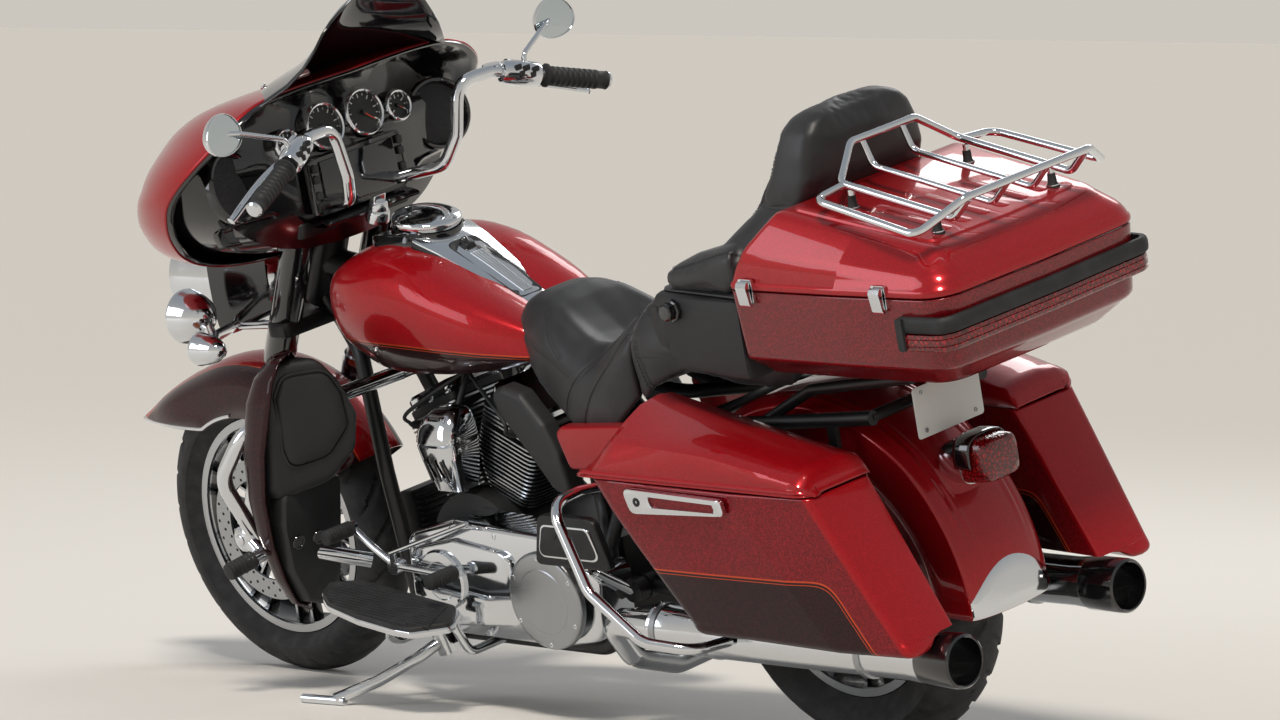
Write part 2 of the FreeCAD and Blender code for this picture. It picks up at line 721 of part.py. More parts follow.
def make_engine_pieces():
    """Engine block, primary cover, horn cover and air cleaner."""
    case = make_engine().cut(frame_shape(running_gap))
    lugs = [rod((s, side * 90, 182), (s, side * cradle_half_width, 176), 10) for s in (640, 830) for side in (-1, 1)]
    case = join(case, *lugs).cut(frame_shape(seat_gap))
    export("engine_cases", largest(case))
    outline = [(1050, 250), (1040, 395), (900, 432), (640, 420), (505, 350), (520, 215), (640, 194), (980, 198)]
    cover = side_plate(outline, 152, primary_face, 38)
    inner = side_plate([(1000, 240), (1000, 380), (640, 380), (640, 240)], 118 + seat_gap, 152, 30)
    derby = cross_disc(634, 298, primary_face, primary_face + 16, derby_radius)
    boss = cross_disc(930, 315, primary_face, primary_face + 10, 62)
    export("primary_cover", join(cover, inner, derby, boss))
    horn = plan_loft([
        ([(985, 100, 470), (985, 165, 470), (915, 165, 470), (915, 100, 470)], [12, 22, 22, 12]),
        ([(1000, 100, 560), (1000, 190, 560), (890, 190, 560), (890, 100, 560)], [12, 34, 34, 12]),
        ([(975, 100, 640), (975, 160, 640), (905, 160, 640), (905, 100, 640)], [12, 22, 22, 12]),
    ])
    stay = block(928, 942, 30, 104, 640, 700)
    arm = block(928, 942, 92, 130, 600, 655)
    export("horn_cover", join(horn, arm, stay))
    body = cross_disc(930, 570, -200, -fin_half_width - seat_gap, 92)
    export("air_cleaner", body)


def make_exhaust():
    """Header pipes, crossover and both mufflers, one piece for each side."""
    depth = muffler_front - 30
    z = muffler_z - 3
    port = -head_half_width - seat_gap
    route = [(1082, port, 580), (1082, -160, 580), (1110, -192, 300), (1000, -196, 250), (700, -200, 245),
             (520, -muffler_t, z), (depth, -muffler_t, z)]
    right = [tube(route, 23, 90),
             tube([(790, port, 580), (790, -165, 580), (700, -180, 520), (650, -196, 380), (640, -199, 250)], 21, 70),
             muffler(-1)]
    export("exhaust_right", join(*right))
    crossover = tube([(530, -218, 252), (488, -110, 126), (484, 60, 126), (478, 175, 176), (468, muffler_t, z - 8),
                      (depth, muffler_t, z)], 19, 80)
    crossover = largest(crossover.cut(tube(route, 23 + seat_gap, 90)))
    export("exhaust_left", join(crossover, muffler(1)))


def muffler(side):
    """Tapered muffler under a saddlebag, open at its black tip."""
    tip = muffler_radius
    profile = [(0, 0), (0, 29), (105, tip - 5), (735, tip - 5), (735, tip), (muffler_length, tip),
               (muffler_length, tip - 8), (muffler_length - 130, tip - 8), (muffler_length - 130, 0)]
    start = (muffler_front, side * muffler_t, muffler_z - 3)
    end = (muffler_front - muffler_length, side * muffler_t, muffler_z)
    return turned(profile, start, end)


def make_tank():
    """Fuel tank, with the console and filler cap along its top."""
    tank = tank_shape()
    export("fuel_tank", tank)
    spine = plan_loft([
        ([(1150, -46, 930), (1150, 46, 930), (700, 30, 800), (700, -30, 800)], [18, 18, 14, 14]),
        ([(1150, -46, 996), (1150, 46, 996), (700, 30, 866), (700, -30, 866)], [18, 18, 14, 14]),
    ])
    cap = Part.makeCylinder(cap_radius, 60, at(1060, 0, 942), at(-0.18, 0, 1))
    spine = join(spine, cap).cut(tank_shape(False))
    export("tank_console", largest(spine))


def largest(shape):
    """The biggest solid of a cut shape."""
    return max(shape.Solids, key=lambda solid: solid.Volume)


def make_seats():
    """Rider's bucket, passenger's seat and the speaker pods beside it."""
    rider = Part.makeLoft([
        arched(736, 88, 104, 60, 760, 800, 838, 10),
        arched(660, 132, 148, 96, 706, 738, 782, 4),
        arched(560, 150, 172, 130, 680, 712, 748, -4),
        arched(430, 160, 190, 132, 690, 748, 800, 6),
        arched(352, 150, 166, 110, 700, 790, 868, 10),
    ], True, False)
    rider = rider.cut(tank_shape(False)).cut(frame_shape(running_gap))
    export("rider_seat", largest(rider))
    pillion = Part.makeLoft([
        arched(352 - seat_gap, 124, 172, 120, 726, 800, 866, 10),
        arched(240, 114, 180, 140, 736, 814, 872, 6),
        arched(60, 150, 180, 140, 742, 812, 868, 4),
        arched(-40, 140, 168, 126, 752, 814, 864, 4),
    ], True, False)
    post = block(254, 270, -60, 60, 660 + seat_gap, 745)
    export("passenger_seat", join(pillion, post))
    rear = trunk_front + seat_gap
    pod = plan_loft([
        ([(95, 190, 812), (95, 268, 812), (rear, 282, 812), (rear, 190, 812)], [30, 30, 8, 8]),
        ([(150, 190, 930), (150, 278, 930), (rear, 288, 930), (rear, 190, 930)], [30, 34, 8, 8]),
        ([(140, 190, 956), (140, 272, 956), (rear, 282, 956), (rear, 190, 956)], [30, 34, 8, 8]),
    ])
    export("speaker_pods", Part.makeCompound([pod, mirrored(pod)]))


def bag_outline(z, inset):
    """Level outline of the left saddlebag at a height, drawn in by a wall."""
    share = (z - bag_bottom_z) / (bag_top_z - bag_bottom_z)
    front = 62 + (263 - 62) * share - inset
    rear = -441 + (441 - 268) * share + inset
    front_t = 393 + (415 - 393) * share - inset
    rear_t = 341 + (371 - 341) * share - inset
    inner = bag_inner_t + inset
    radius = 30 - inset
    outline = [(front, inner, z), (front, front_t, z), (rear, rear_t, z), (rear, inner, z)]
    return (outline, [14 - inset, radius, radius, 14 - inset])


def make_saddlebag():
    """Left saddlebag: an open box with a notch over the muffler."""
    outer = plan_loft([bag_outline(bag_bottom_z, 0), bag_outline(bag_top_z, 0)])
    inner = plan_loft([bag_outline(bag_bottom_z + bag_wall, bag_wall), bag_outline(bag_top_z + 1, bag_wall)])
    away = Vector(0, 1, 0.005)
    notch = Part.makeCylinder(muffler_radius + muffler_gap, 900, at(420, muffler_t, muffler_z), away)
    shelf = Part.makeCylinder(muffler_radius + muffler_gap + bag_wall, 900, at(420, muffler_t, muffler_z), away)
    box = outer.cut(notch).cut(largest(inner.cut(shelf)))
    latch = side_plate([(170, 592), (-95, 572), (-78, 545), (150, 568)], 350, 420, 6)
    latch = latch.cut(outer)
    return join(largest(box), largest(latch))


def make_bag_lid():
    """Left saddlebag's lid: a hollow shell that falls towards the rear."""
    def ring(z_front, z_rear, inset, extra, nose=0):
        front = 300 - inset - nose
        rear = -274 + inset * 0.8
        outside_front = 419 - inset
        outside_rear = 375 - inset
        inner = bag_inner_t + extra
        return ([(front, inner, z_front), (front, outside_front, z_front), (rear, outside_rear, z_rear),
                 (rear, inner, z_rear)], [20, 34, 34, 14])
    seam = bag_top_z + lid_gap
    outer = plan_loft([ring(seam + 18, seam, 0, 0), ring(694, 640, 6, 0, 38), ring(748, 662, 44, 4, 50)])
    inner = plan_loft([ring(seam + 17.9, seam - 0.1, bag_wall, bag_wall),
                       ring(691, 637, 6 + bag_wall, bag_wall, 38),
                       ring(748 - bag_wall, 662 - bag_wall, 48, 4 + bag_wall, 50)])
    return outer.cut(inner)


def hinge_barrels(s_list, t, z, radius, length, slope=0.0):
    """Short round barrels on a hinge line that runs along the machine."""
    drop = math.tan(math.radians(slope))
    barrels = []
    for s in s_list:
        start = (s - length / 2, t, z + drop * (s - length / 2))
        end = (s + length / 2, t, z + drop * (s + length / 2))
        barrels.append(rod(start, end, radius))
    return barrels


def make_luggage():
    """Both saddlebags and their lids, with the barrels of the lids' hinges."""
    length = 30
    own = [-110, 110]
    beside = [s + length + seat_gap for s in own]
    t = bag_hinge_t
    z = bag_hinge_z
    bag_plates = [block(s - length / 2, s + length / 2, t - 3, bag_inner_t + 3, bag_top_z - 24, bag_top_z - 4)
                  for s in beside]
    bag_plates += [block(s - length / 2, s + length / 2, t - 3, t + 3, bag_top_z - 24, z) for s in beside]
    bag = join(make_saddlebag(), *bag_plates, *hinge_barrels(beside, t, z, hinge_radius, length))
    export("left_saddlebag", bag)
    export("right_saddlebag", mirrored(bag))
    lid_plates = [block(s - length / 2, s + length / 2, t, bag_inner_t + 3, z - 3, z + 3) for s in own]
    lid = join(make_bag_lid(), *lid_plates, *hinge_barrels(own, t, z, hinge_radius, length))
    export("left_bag_lid", lid)
    export("right_bag_lid", mirrored(lid))


def make_backrest():
    """Wrap-around backrest on the trunk lid: a tall pad with an armrest on each side."""
    back = plan_loft([
        ([(40, -165, 890), (40, 165, 890), (-66, 165, 890), (-66, -165, 890)], [22, 22, 10, 10]),
        ([(20, -165, 1000), (20, 165, 1000), (-110, 165, 1000), (-110, -165, 1000)], [22, 22, 10, 10]),
        ([(-62, -172, 1116), (-62, 172, 1116), (-186, 172, 1116), (-186, -172, 1116)], [22, 22, 10, 10]),
        ([(-105, -136, 1268), (-105, 136, 1268), (-190, 136, 1268), (-190, -136, 1268)], [22, 22, 10, 10]),
    ])
    arm = plan_loft([
        ([(130, 168, 963), (130, 275, 963), (-86, 286, 963), (-86, 150, 963)], [30, 40, 8, 8]),
        ([(112, 160, 1022), (112, 268, 1022), (-130, 280, 1048), (-130, 150, 1048)], [26, 34, 8, 8]),
    ])
    pad = join(back, arm, mirrored(arm))
    room = block(-200, trunk_front + running_gap, -320, 320, 880, trunk_seam_z + lid_gap + 1)
    return largest(pad.cut(lid_outer()).cut(room))


def trunk_outline(z, front, rear, half_front, half_rear, radius):
    """Level outline of the trunk at one height."""
    return ([(front, -half_front, z), (front, half_front, z), (rear, half_rear, z), (rear, -half_rear, z)],
            [12, 12, radius, radius])


def trunk_outer():
    """Outside of the trunk box."""
    front = trunk_front
    return plan_loft([
        trunk_outline(trunk_bottom_z, front, -540, 235, 225, 60),
        trunk_outline(845, front, -588, 280, 262, 66),
        trunk_outline(trunk_seam_z, front, -602, 298, 276, 70),
    ])


def lid_outer():
    """Outside of the trunk lid: a low band, then sides that lean in to a sloping top."""
    top_front = -178
    top_rear = -556
    return plan_loft([
        trunk_outline(trunk_seam_z + lid_gap, trunk_front - 2, -600, 297, 274, 70),
        ([(-120, -292, 1052), (-120, 292, 1052), (-594, 262, 1010), (-594, -262, 1010)], [12, 12, 64, 64]),
        ([(top_front, -252, lid_top(top_front)), (top_front, 252, lid_top(top_front)), (top_rear, 224, lid_top(top_rear)),
          (top_rear, -224, lid_top(top_rear))], [12, 12, 50, 50]),
    ])


def make_trunk():
    """Trunk box, its lid, the luggage rack, and the bumper with the lamp strip."""
    wall = trunk_wall
    front = trunk_front
    outer = trunk_outer()
    inner = plan_loft([
        trunk_outline(trunk_bottom_z + wall, front - wall, -540 + wall, 235 - wall, 225 - wall, 56),
        trunk_outline(845, front - wall, -588 + wall, 280 - wall, 262 - wall, 61),
        trunk_outline(trunk_seam_z + 1, front - wall, -602 + wall, 298 - wall, 276 - wall, 65),
    ])
    def wall_at(s):
        return 297 + 0.0445 * (s - front)
    hinge_t = trunk_hinge_t
    hinge_z = trunk_hinge_z
    length = 30
    own = [-150, -300]
    beside = [s - length - seat_gap for s in own]
    plates = [block(s - length / 2, s + length / 2, hinge_t, 3 - wall_at(s), hinge_z - 7, hinge_z - 2) for s in own]
    box = join(outer.cut(inner), *plates, *hinge_barrels(own, hinge_t, hinge_z, hinge_radius + 1, length))
    export("trunk_box", box)
    low = trunk_seam_z + lid_gap
    top_front = -184
    top_rear = -551
    hollow = plan_loft([
        trunk_outline(low - 1, front - 2 - wall, -600 + wall, 297 - wall, 274 - wall, 65),
        ([(-126, -286, 1049), (-126, 286, 1049), (-589, 256, 1007), (-589, -256, 1007)], [12, 12, 60, 60]),
        ([(top_front, -247, lid_top(top_front) - wall - 1), (top_front, 247, lid_top(top_front) - wall - 1),
          (top_rear, 219, lid_top(top_rear) - wall - 1), (top_rear, -219, lid_top(top_rear) - wall - 1)], [12, 12, 48, 48]),
    ])
    plates = [block(s - length / 2, s + length / 2, hinge_t, 4 - wall_at(s), hinge_z + 2, hinge_z + 7) for s in beside]
    lid = join(lid_outer().cut(hollow), *plates, *hinge_barrels(beside, hinge_t, hinge_z, hinge_radius + 1, length))
    export("trunk_lid", lid)
    make_rack()
    export("backrest", make_backrest())
    rail = [trunk_outline(z, rail_front, -616, 300, 292, 80) for z in (rail_low, rail_low + 30)]
    ends = [trunk_outline(z, rail_front, rail_front - 14, 300, 299, 5) for z in (rail_low - 32, rail_low + 1)]
    ends[0] = (ends[0][0], [5, 5, 5, 5])
    ends[1] = (ends[1][0], [5, 5, 5, 5])
    bumper = join(plan_loft(rail), plan_loft(ends)).cut(outer)
    lamp = plan_loft([trunk_outline(z, rail_front - 14 - seat_gap, -611, 299, 287, 76)
                      for z in (rail_low - 34, rail_low - seat_gap)]).cut(outer)
    export("trunk_bumper", largest(bumper))
    export("trunk_lamp", largest(lamp))


def make_rack():
    """Luggage rack: outer rail, raised front hoop, inner bars and posts on the lid."""
    outer = [(-282, 163, 1150), (-285, 243, 1144), (-539, 257, 1093), (-593, 169, 1142)]
    outer = outer + [(s, -t, z) for s, t, z in reversed(outer)]
    hoop = [(-590, 160, 1138), (-548, 160, 1098), (-274, 160, 1153), (-243, 88, 1210)]
    hoop = hoop + [(s, -t, z) for s, t, z in reversed(hoop)]
    pieces = [tube(outer, rack_radius, 30), tube(hoop, rack_radius, 26)]
    for t in (-54, 54):
        pieces.append(tube([(-592, t, 1140), (-548, t, 1098), (-260, t, 1156), (-240, t, 1206)], rack_radius - 1.5, 26))
    for s in (-294, -499):
        for t in (-157, 157):
            foot = lid_top(s) + 2.8
            pieces.append(rod((s, t, foot), (s, t, foot + 40), 6))
            pieces.append(rod((s, t, foot), (s, t, foot + 8), 12))
    export("luggage_rack", pieces[0].fuse(pieces[1:]))


def lid_top(s):
    """Height of the trunk lid's sloping top at a station."""
    return 1118 + 0.1746 * (s + 178)


def make_rear():
    """Rear fender, tail lamp and number plate."""
    radius = rear_fender_radius
    arch = fender_arch(0, radius, rear_fender_half, 150, 4, -92, 128, 24)
    export("rear_fender", largest(arch.cut(frame_shape(seat_gap))))
    lens = Part.makeCone(58, 46, 75, at(-345, 0, 590), Vector(0, 1, 0.05))
    base = rod((-180, 0, 575), (-346, 0, 588), 48)
    lamp = join(lens, base).cut(cross_disc(0, axle_height, -200, 200, radius + seat_gap))
    export("tail_lamp", largest(lamp))
    plate = block(-300, -298, -90, 90, 640, 742)
    arm = block(-298, -252 - seat_gap, -20, 20, 690, 710)
    export("licence_plate", join(plate, arm))


def make_covers():
    """Side covers under the seat and the shields behind the rear cylinder."""
    outline = [(560, 640), (300, 660), (300, 604), (470, 566), (535, 566)]
    cover = side_plate(outline, 176, 205, 18)
    shield = side_plate([(730, 690), (660, 700), (572, 590), (568, 505), (620, 540)], 150, 190, 14)
    shield_stay = rod((603, 78, 580), (615, 160, 580), 8)
    cover_stay = rod((400, 150, 555), (400, 182, 592), 7)
    near_frame = frame_shape(seat_gap)
    shield = largest(join(shield, shield_stay).cut(tank_shape(False)).cut(near_frame))
    cover = largest(join(cover, cover_stay).cut(near_frame))
    export("side_covers", Part.makeCompound([cover, mirrored(cover)]))
    export("knee_shields", Part.makeCompound([shield, mirrored(shield)]))


def make_guards():
    """Engine guard with its pegs, saddlebag guards and the leg fairings."""
    half = [(1214, 0, 655), (1222, 150, 655), (1262, 380, 650), (1330, 408, 545), (1318, 350, 400), (1190, 180, 320)]
    hoop = tube(half, 16, 70)
    peg = rod((1290, 372, 385), (1300, 455, 372), 15)
    clamp = rod((1316, 372, 405), (1290, 372, 380), 14)
    side = join(hoop, peg, clamp).cut(frame_shape(seat_gap))
    side = largest(side)
    export("engine_guard", join(side, mirrored(side)))
    guard = tube([(425, 150, 530), (415, 300, 556), (395, 396, 560), (296, 428, 405), (170, 428, 316), (90, 380, 292),
                  (92, 283, 280)], 11, 60)
    guard = largest(guard.cut(make_saddlebag()).cut(frame_shape(seat_gap)))
    export("saddlebag_guards", Part.makeCompound([guard, mirrored(guard)]))
    glove = plan_loft([
        ([(1255, 215, 500), (1255, 352, 500), (1165, 352, 500), (1165, 215, 500)], [14, 30, 30, 14]),
        ([(1235, 215, 640), (1235, 372, 640), (1105, 372, 640), (1105, 215, 640)], [14, 34, 34, 14]),
        ([(1205, 250, 768), (1205, 360, 768), (1135, 360, 768), (1135, 250, 768)], [14, 26, 26, 14]),
    ])
    lower = plan_loft([
        ([(1304, 215, 250), (1304, 318, 250), (1262, 318, 250), (1262, 215, 250)], [10, 14, 14, 10]),
        ([(1262, 190, 500), (1262, 352, 500), (1212, 352, 500), (1212, 190, 500)], [10, 14, 14, 10]),
    ])
    leg = join(glove, lower)
    leg = leg.cut(tube(half, 17, 70))
    leg = largest(leg)
    export("leg_fairings", Part.makeCompound([leg, mirrored(leg)]))


def board_height(s):
    """Height of the rider's boards at a station: they rise a little to the front."""
    return 285 + math.tan(math.radians(board_pitch)) * (s - 975)


def board_hinge_slope():
    """Rise of the rider's boards and their hinge line for each millimetre forward."""
    return math.tan(math.radians(board_pitch))


def board_hinge_height(s):
    """Height of the rider's board hinge line at a station."""
    return board_hinge[2] + board_hinge_slope() * (s - board_hinge[0])


def make_foot_controls():
    """Board brackets, heel-toe shifter and brake pedal."""
    parts = []
    rail_side = cradle_half_width + cradle_tube_radius + seat_gap
    for side in (-1, 1):
        hinge_t = side * board_hinge[1]
        for s in (1100, 880):
            z = board_hinge_height(s)
            arm = tube([(s, side * rail_side, 172), (s, side * 236, 172), (s, hinge_t, z - 24), (s, hinge_t, z)], 9, 30)
            barrel = hinge_barrels([s], hinge_t, board_hinge_height(0), 8, 24, board_pitch)
            parts.append(join(arm, *barrel))
        s, t, z = passenger_hinge
        barrel = hinge_barrels([s], side * t, z, 6, 50)
        arm = rod((488, side * (145.5 + seat_gap), 304), (478, side * (t - 20), z - 15), 9)
        neck = rod((478, side * (t - 20), z - 15), (476, side * (t - 3), z - 2), 5.5)
        parts.append(join(arm, neck, *barrel))
    shifter = join(cross_disc(1040, 340, 238, 258, 15), cross_disc(1040, 340, primary_face + seat_gap, 250, 9),
                   tube([(1150, 248, 412), (1100, 248, 376), (1040, 248, 342), (930, 248, 336), (866, 248, 343)], 7.5, 60),
                   cross_disc(1150, 412, 244, 322, 13), cross_disc(866, 343, 244, 322, 13))
    pedal = join(tube([(1050, -240, 320), (1100, -240, 330), (1160, -240, 352)], 8, 40),
                 block(1140, 1195, -310, -234, 350, 362), cross_disc(1050, 320, -248, -232, 15),
                 tube([(1050, -240, 320), (1050, -240, 172), (1050, -rail_side, 172)], 8, 20))
    export("foot_controls", Part.makeCompound([shifter, pedal] + parts))


def make_boards():
    """Folding boards for the rider and the passenger."""
    plan = [(1190, 300), (1130, 398), (840, 420), (786, 350), (850, 268), (1140, 258)]
    radii = [26, 60, 54, 30, 30, 30]
    rider = plan_loft([
        ([(s, t, 273) for s, t in plan], radii),
        ([(s, t, 297) for s, t in plan], radii),
    ])
    rider.rotate(at(975, 0, 285), Vector(1, 0, 0), -board_pitch)
    hinge_t = board_hinge[1]
    base = board_hinge_height(0)
    lugs = []
    for s in (1076 - seat_gap, 904 + seat_gap):
        z = board_hinge_height(s)
        lugs.append(block(s - 11, s + 11, hinge_t - 5, hinge_t + 6, z, z + 15))
        lugs += hinge_barrels([s], hinge_t, base, 8, 24, board_pitch)
    rider = join(rider, *lugs)
    export("left_rider_board", rider)
    export("right_rider_board", mirrored(rider))
    passenger = plan_loft([
        ([(598, 262, 389), (598, 284, 389), (387, 284, 389), (387, 262, 389)], [8, 8, 8, 8]),
        ([(575, 262, 492), (575, 284, 492), (420, 284, 492), (420, 262, 492)], [8, 8, 8, 8]),
    ])
    s, t, z = passenger_hinge
    for middle in (s - 30 - seat_gap, s + 30 + seat_gap):
        lug = block(middle - 5, middle + 5, t, t + 14, z - 6, z + 6)
        passenger = join(passenger, lug, *hinge_barrels([middle], t, z, 6, 10))
    export("left_passenger_board", passenger)
    export("right_passenger_board", mirrored(passenger))


def on_road(t, radius):
    """Height at which a round piece at one side just touches the road when the machine leans."""
    tilt = math.radians(lean_angle)
    return (radius - ground_shift().z + t * math.sin(tilt)) / math.cos(tilt)


def make_side_stand():
    """Side stand leg with its foot, deployed."""
    foot_t = 411
    leg = tube([(1003, 200, 172), (1022, 250, 152), (1060, 330, 126), (1104, foot_t, on_road(foot_t, 12))], 12, 60)
    foot = rod((1085, 402, on_road(402, 9)), (1180, 427, on_road(427, 9)), 9)
    low = [place - 25 * along for place, along in zip(stand_pivot, stand_axis)]
    high = [place + 25 * along for place, along in zip(stand_pivot, stand_axis)]
    knuckle = rod(low, high, 17)
    export("side_stand", join(leg, foot, knuckle))


pieces = {}
os.makedirs("parts", exist_ok=True)
for make in (make_wheels, make_fork, make_front_fender, make_headlamp, make_fairing, make_handlebar,
             make_lamp_bracket, make_frame, make_swingarm, make_cylinders, make_engine_pieces, make_exhaust,
             make_tank, make_seats, make_luggage, make_trunk, make_rear, make_covers, make_guards,
             make_foot_controls, make_boards, make_side_stand):
    make()
write_pieces()
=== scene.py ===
import json
import math
import random

import bmesh
import bpy
from mathutils import Matrix, Vector
from mathutils.bvhtree import BVHTree
from mathutils.kdtree import KDTree


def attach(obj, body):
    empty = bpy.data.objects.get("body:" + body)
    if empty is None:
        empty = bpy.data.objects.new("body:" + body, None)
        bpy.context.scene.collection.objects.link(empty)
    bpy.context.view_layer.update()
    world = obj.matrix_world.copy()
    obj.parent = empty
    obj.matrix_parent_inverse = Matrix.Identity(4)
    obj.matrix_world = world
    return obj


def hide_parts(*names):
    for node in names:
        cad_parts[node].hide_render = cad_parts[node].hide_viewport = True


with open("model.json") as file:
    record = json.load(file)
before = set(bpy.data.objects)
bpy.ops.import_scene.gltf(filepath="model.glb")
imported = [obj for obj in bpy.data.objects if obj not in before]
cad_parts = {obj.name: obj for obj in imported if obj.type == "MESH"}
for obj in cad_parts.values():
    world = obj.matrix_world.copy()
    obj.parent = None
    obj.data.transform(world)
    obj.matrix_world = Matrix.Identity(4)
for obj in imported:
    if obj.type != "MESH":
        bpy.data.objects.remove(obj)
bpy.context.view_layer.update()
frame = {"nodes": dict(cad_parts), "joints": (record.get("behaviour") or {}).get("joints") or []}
print("frame loaded:", len(frame["nodes"]), "nodes")

# The motorcycle leans on its stand. Everything here is written upright and in millimetres: s forward
# from the rear axle, t to the rider's left, z up from the road. place() turns that into the frame.
leanAngle = math.radians(14.25)
axleHeight = 316.0
rearAxle = [Vector(j["pos_m"]) for j in frame["joints"] if j["name"] == "rear_wheel_spin"][0]
leanMatrix = Matrix.Rotation(leanAngle, 4, "Y")
shift = rearAxle - (leanMatrix @ Vector((0, 0, axleHeight / 1000)))
toFrame = Matrix.Translation(shift) @ leanMatrix


def upright(s, t, z):
    return Vector((t, -s, z)) / 1000


def place(s, t, z):
    return toFrame @ upright(s, t, z)


def direction(s, t, z):
    return (leanMatrix.to_3x3() @ Vector((t, -s, z))).normalized()


# Camera, floor and light
view = {
    "eye": (-9554, 9299, 4053),
    "right": (-0.6982, -0.6969, -0.1639),
    "up": (0.0565, -0.2818, 0.9578),
    "forward": (0.7137, -0.6595, -0.2362),
    "lens": 205.68,
}
cameraData = bpy.data.cameras.new("camera")
cameraData.lens = view["lens"]
cameraData.sensor_width = 36
cameraData.clip_end = 200
camera = bpy.data.objects.new("camera", cameraData)
bpy.context.scene.collection.objects.link(camera)
axes = [direction(*view["right"]), direction(*view["up"]), -direction(*view["forward"])]
turn = Matrix([[axes[c][r] for c in range(3)] for r in range(3)]).to_4x4()
camera.matrix_world = Matrix.Translation(place(*view["eye"])) @ turn
bpy.context.scene.camera = camera
bpy.context.scene.view_settings.view_transform = "Standard"


def hexColour(code):
    values = [int(code[i:i + 2], 16) / 255 for i in (1, 3, 5)]
    return tuple(v / 12.92 if v <= 0.04045 else ((v + 0.055) / 1.055) ** 2.4 for v in values) + (1.0,)


def addNode(tree, kind, inputs=None, **settings):
    made = tree.nodes.new("ShaderNode" + kind)
    for name, value in settings.items():
        setattr(made, name, value)
    for name, value in (inputs or {}).items():
        if isinstance(value, bpy.types.NodeSocket):
            tree.links.new(value, made.inputs[name])
        else:
            made.inputs[name].default_value = value
    return made


studio = {
    "floor": "#dedcd8",
    "horizon": "#d3cec6",
    "zenith": "#9aa0a8",
    "worldStrength": 0.62,
    "shownStrength": 0.92,
    "sunStrength": 2.3,
    "sunFrom": (0.55, 0.45, 1.0),
    "sunAngle": 12,
    "fillPower": 90,
    "rimPower": 70,
    "floorRadius": 60,
    "floorSides": 60,
}
world = bpy.data.worlds.new("studio")
bpy.context.scene.world = world
world.use_nodes = True
tree = world.node_tree
tree.nodes.clear()
where = addNode(tree, "TexCoord").outputs["Generated"]
height = addNode(tree, "SeparateXYZ", {0: where}).outputs["Z"]
fade = addNode(tree, "ValToRGB", {0: height})
fade.color_ramp.elements[0].color = hexColour(studio["horizon"])
fade.color_ramp.elements[1].color = hexColour(studio["zenith"])
rays = addNode(tree, "LightPath").outputs
seen = addNode(tree, "Math", {0: rays["Is Camera Ray"], 1: rays["Is Glossy Ray"]}, operation="MAXIMUM")
seen = addNode(tree, "Math", {0: seen.outputs[0], 1: rays["Is Transmission Ray"]}, operation="MAXIMUM")
lit = addNode(tree, "Background", {"Color": fade.outputs[0], "Strength": studio["worldStrength"]})
shown = addNode(tree, "Background", {"Color": fade.outputs[0], "Strength": studio["shownStrength"]})
both = addNode(tree, "MixShader", {0: seen.outputs[0], 1: lit.outputs[0], 2: shown.outputs[0]})
addNode(tree, "OutputWorld", {0: both.outputs[0]})


def areaLight(name, spot, target, size, power, colour="#ffffff"):
    data = bpy.data.lights.new(name, "AREA")
    data.shape = "RECTANGLE"
    data.size, data.size_y = size
    data.energy = power
    data.color = hexColour(colour)[:3]
    lamp = bpy.data.objects.new(name, data)
    lamp.location = spot
    lamp.rotation_euler = (Vector(target) - Vector(spot)).to_track_quat("-Z", "Y").to_euler()
    bpy.context.scene.collection.objects.link(lamp)


areaLight("fillLight", (5.5, -2.0, 2.4), (0, 0, 0.7), (3.0, 3.0), studio["fillPower"], "#eef3ff")
areaLight("rimLight", (-4.5, -1.5, 4.4), (0, 0, 0.9), (3.0, 1.6), studio["rimPower"])
sunData = bpy.data.lights.new("keySun", "SUN")
sunData.energy = studio["sunStrength"]
sunData.angle = math.radians(studio["sunAngle"])
sunData.color = hexColour("#fff6ea")[:3]
sun = bpy.data.objects.new("keySun", sunData)
sun.rotation_euler = (-Vector(studio["sunFrom"])).to_track_quat("-Z", "Y").to_euler()
bpy.context.scene.collection.objects.link(sun)

floorMesh = bpy.data.meshes.new("floor")
floorTurns = [2 * math.pi * i / studio["floorSides"] for i in range(studio["floorSides"])]
floorRim = [(studio["floorRadius"] * math.cos(a), studio["floorRadius"] * math.sin(a), 0) for a in floorTurns]
floorMesh.from_pydata(floorRim, [], [list(range(studio["floorSides"]))])
floor = bpy.data.objects.new("floor", floorMesh)
bpy.context.scene.collection.objects.link(floor)
paper = bpy.data.materials.new("floorPaper")
paper.use_nodes = True
paper.node_tree.nodes["Principled BSDF"].inputs["Base Color"].default_value = hexColour(studio["floor"])
paper.node_tree.nodes["Principled BSDF"].inputs["Roughness"].default_value = 0.85
floorMesh.materials.append(paper)
print("stage ready")

# Materials. Scales are in millimetres, because millimetres() hands the textures upright millimetres.
materials = {}
shaderInputs = {"coat": "Coat Weight", "coatRough": "Coat Roughness", "sheen": "Sheen Weight",
                "clear": "Transmission Weight", "ior": "IOR", "gloss": "Specular IOR Level",}


def startMaterial(name, colour, metallic, roughness, **more):
    made = bpy.data.materials.new(name)
    made.use_nodes = True
    tree = made.node_tree
    shader = tree.nodes["Principled BSDF"]
    shader.inputs["Base Color"].default_value = hexColour(colour)
    shader.inputs["Metallic"].default_value = metallic
    shader.inputs["Roughness"].default_value = roughness
    for key, value in more.items():
        shader.inputs[shaderInputs[key]].default_value = value
    materials[name] = made
    return tree, shader


def millimetres(tree):
    where = addNode(tree, "TexCoord").outputs["Object"]
    return addNode(tree, "Mapping", {"Vector": where, "Location": shift, "Rotation": (0, leanAngle, 0),
                                     "Scale": (0.001, 0.001, 0.001)}, vector_type="TEXTURE").outputs[0]


def blendColours(tree, factor, low, high):
    pair = [hexColour(c) if isinstance(c, str) else c for c in (low, high)]
    return addNode(tree, "Mix", {"Factor": factor, 6: pair[0], 7: pair[1]}, data_type="RGBA").outputs[2]


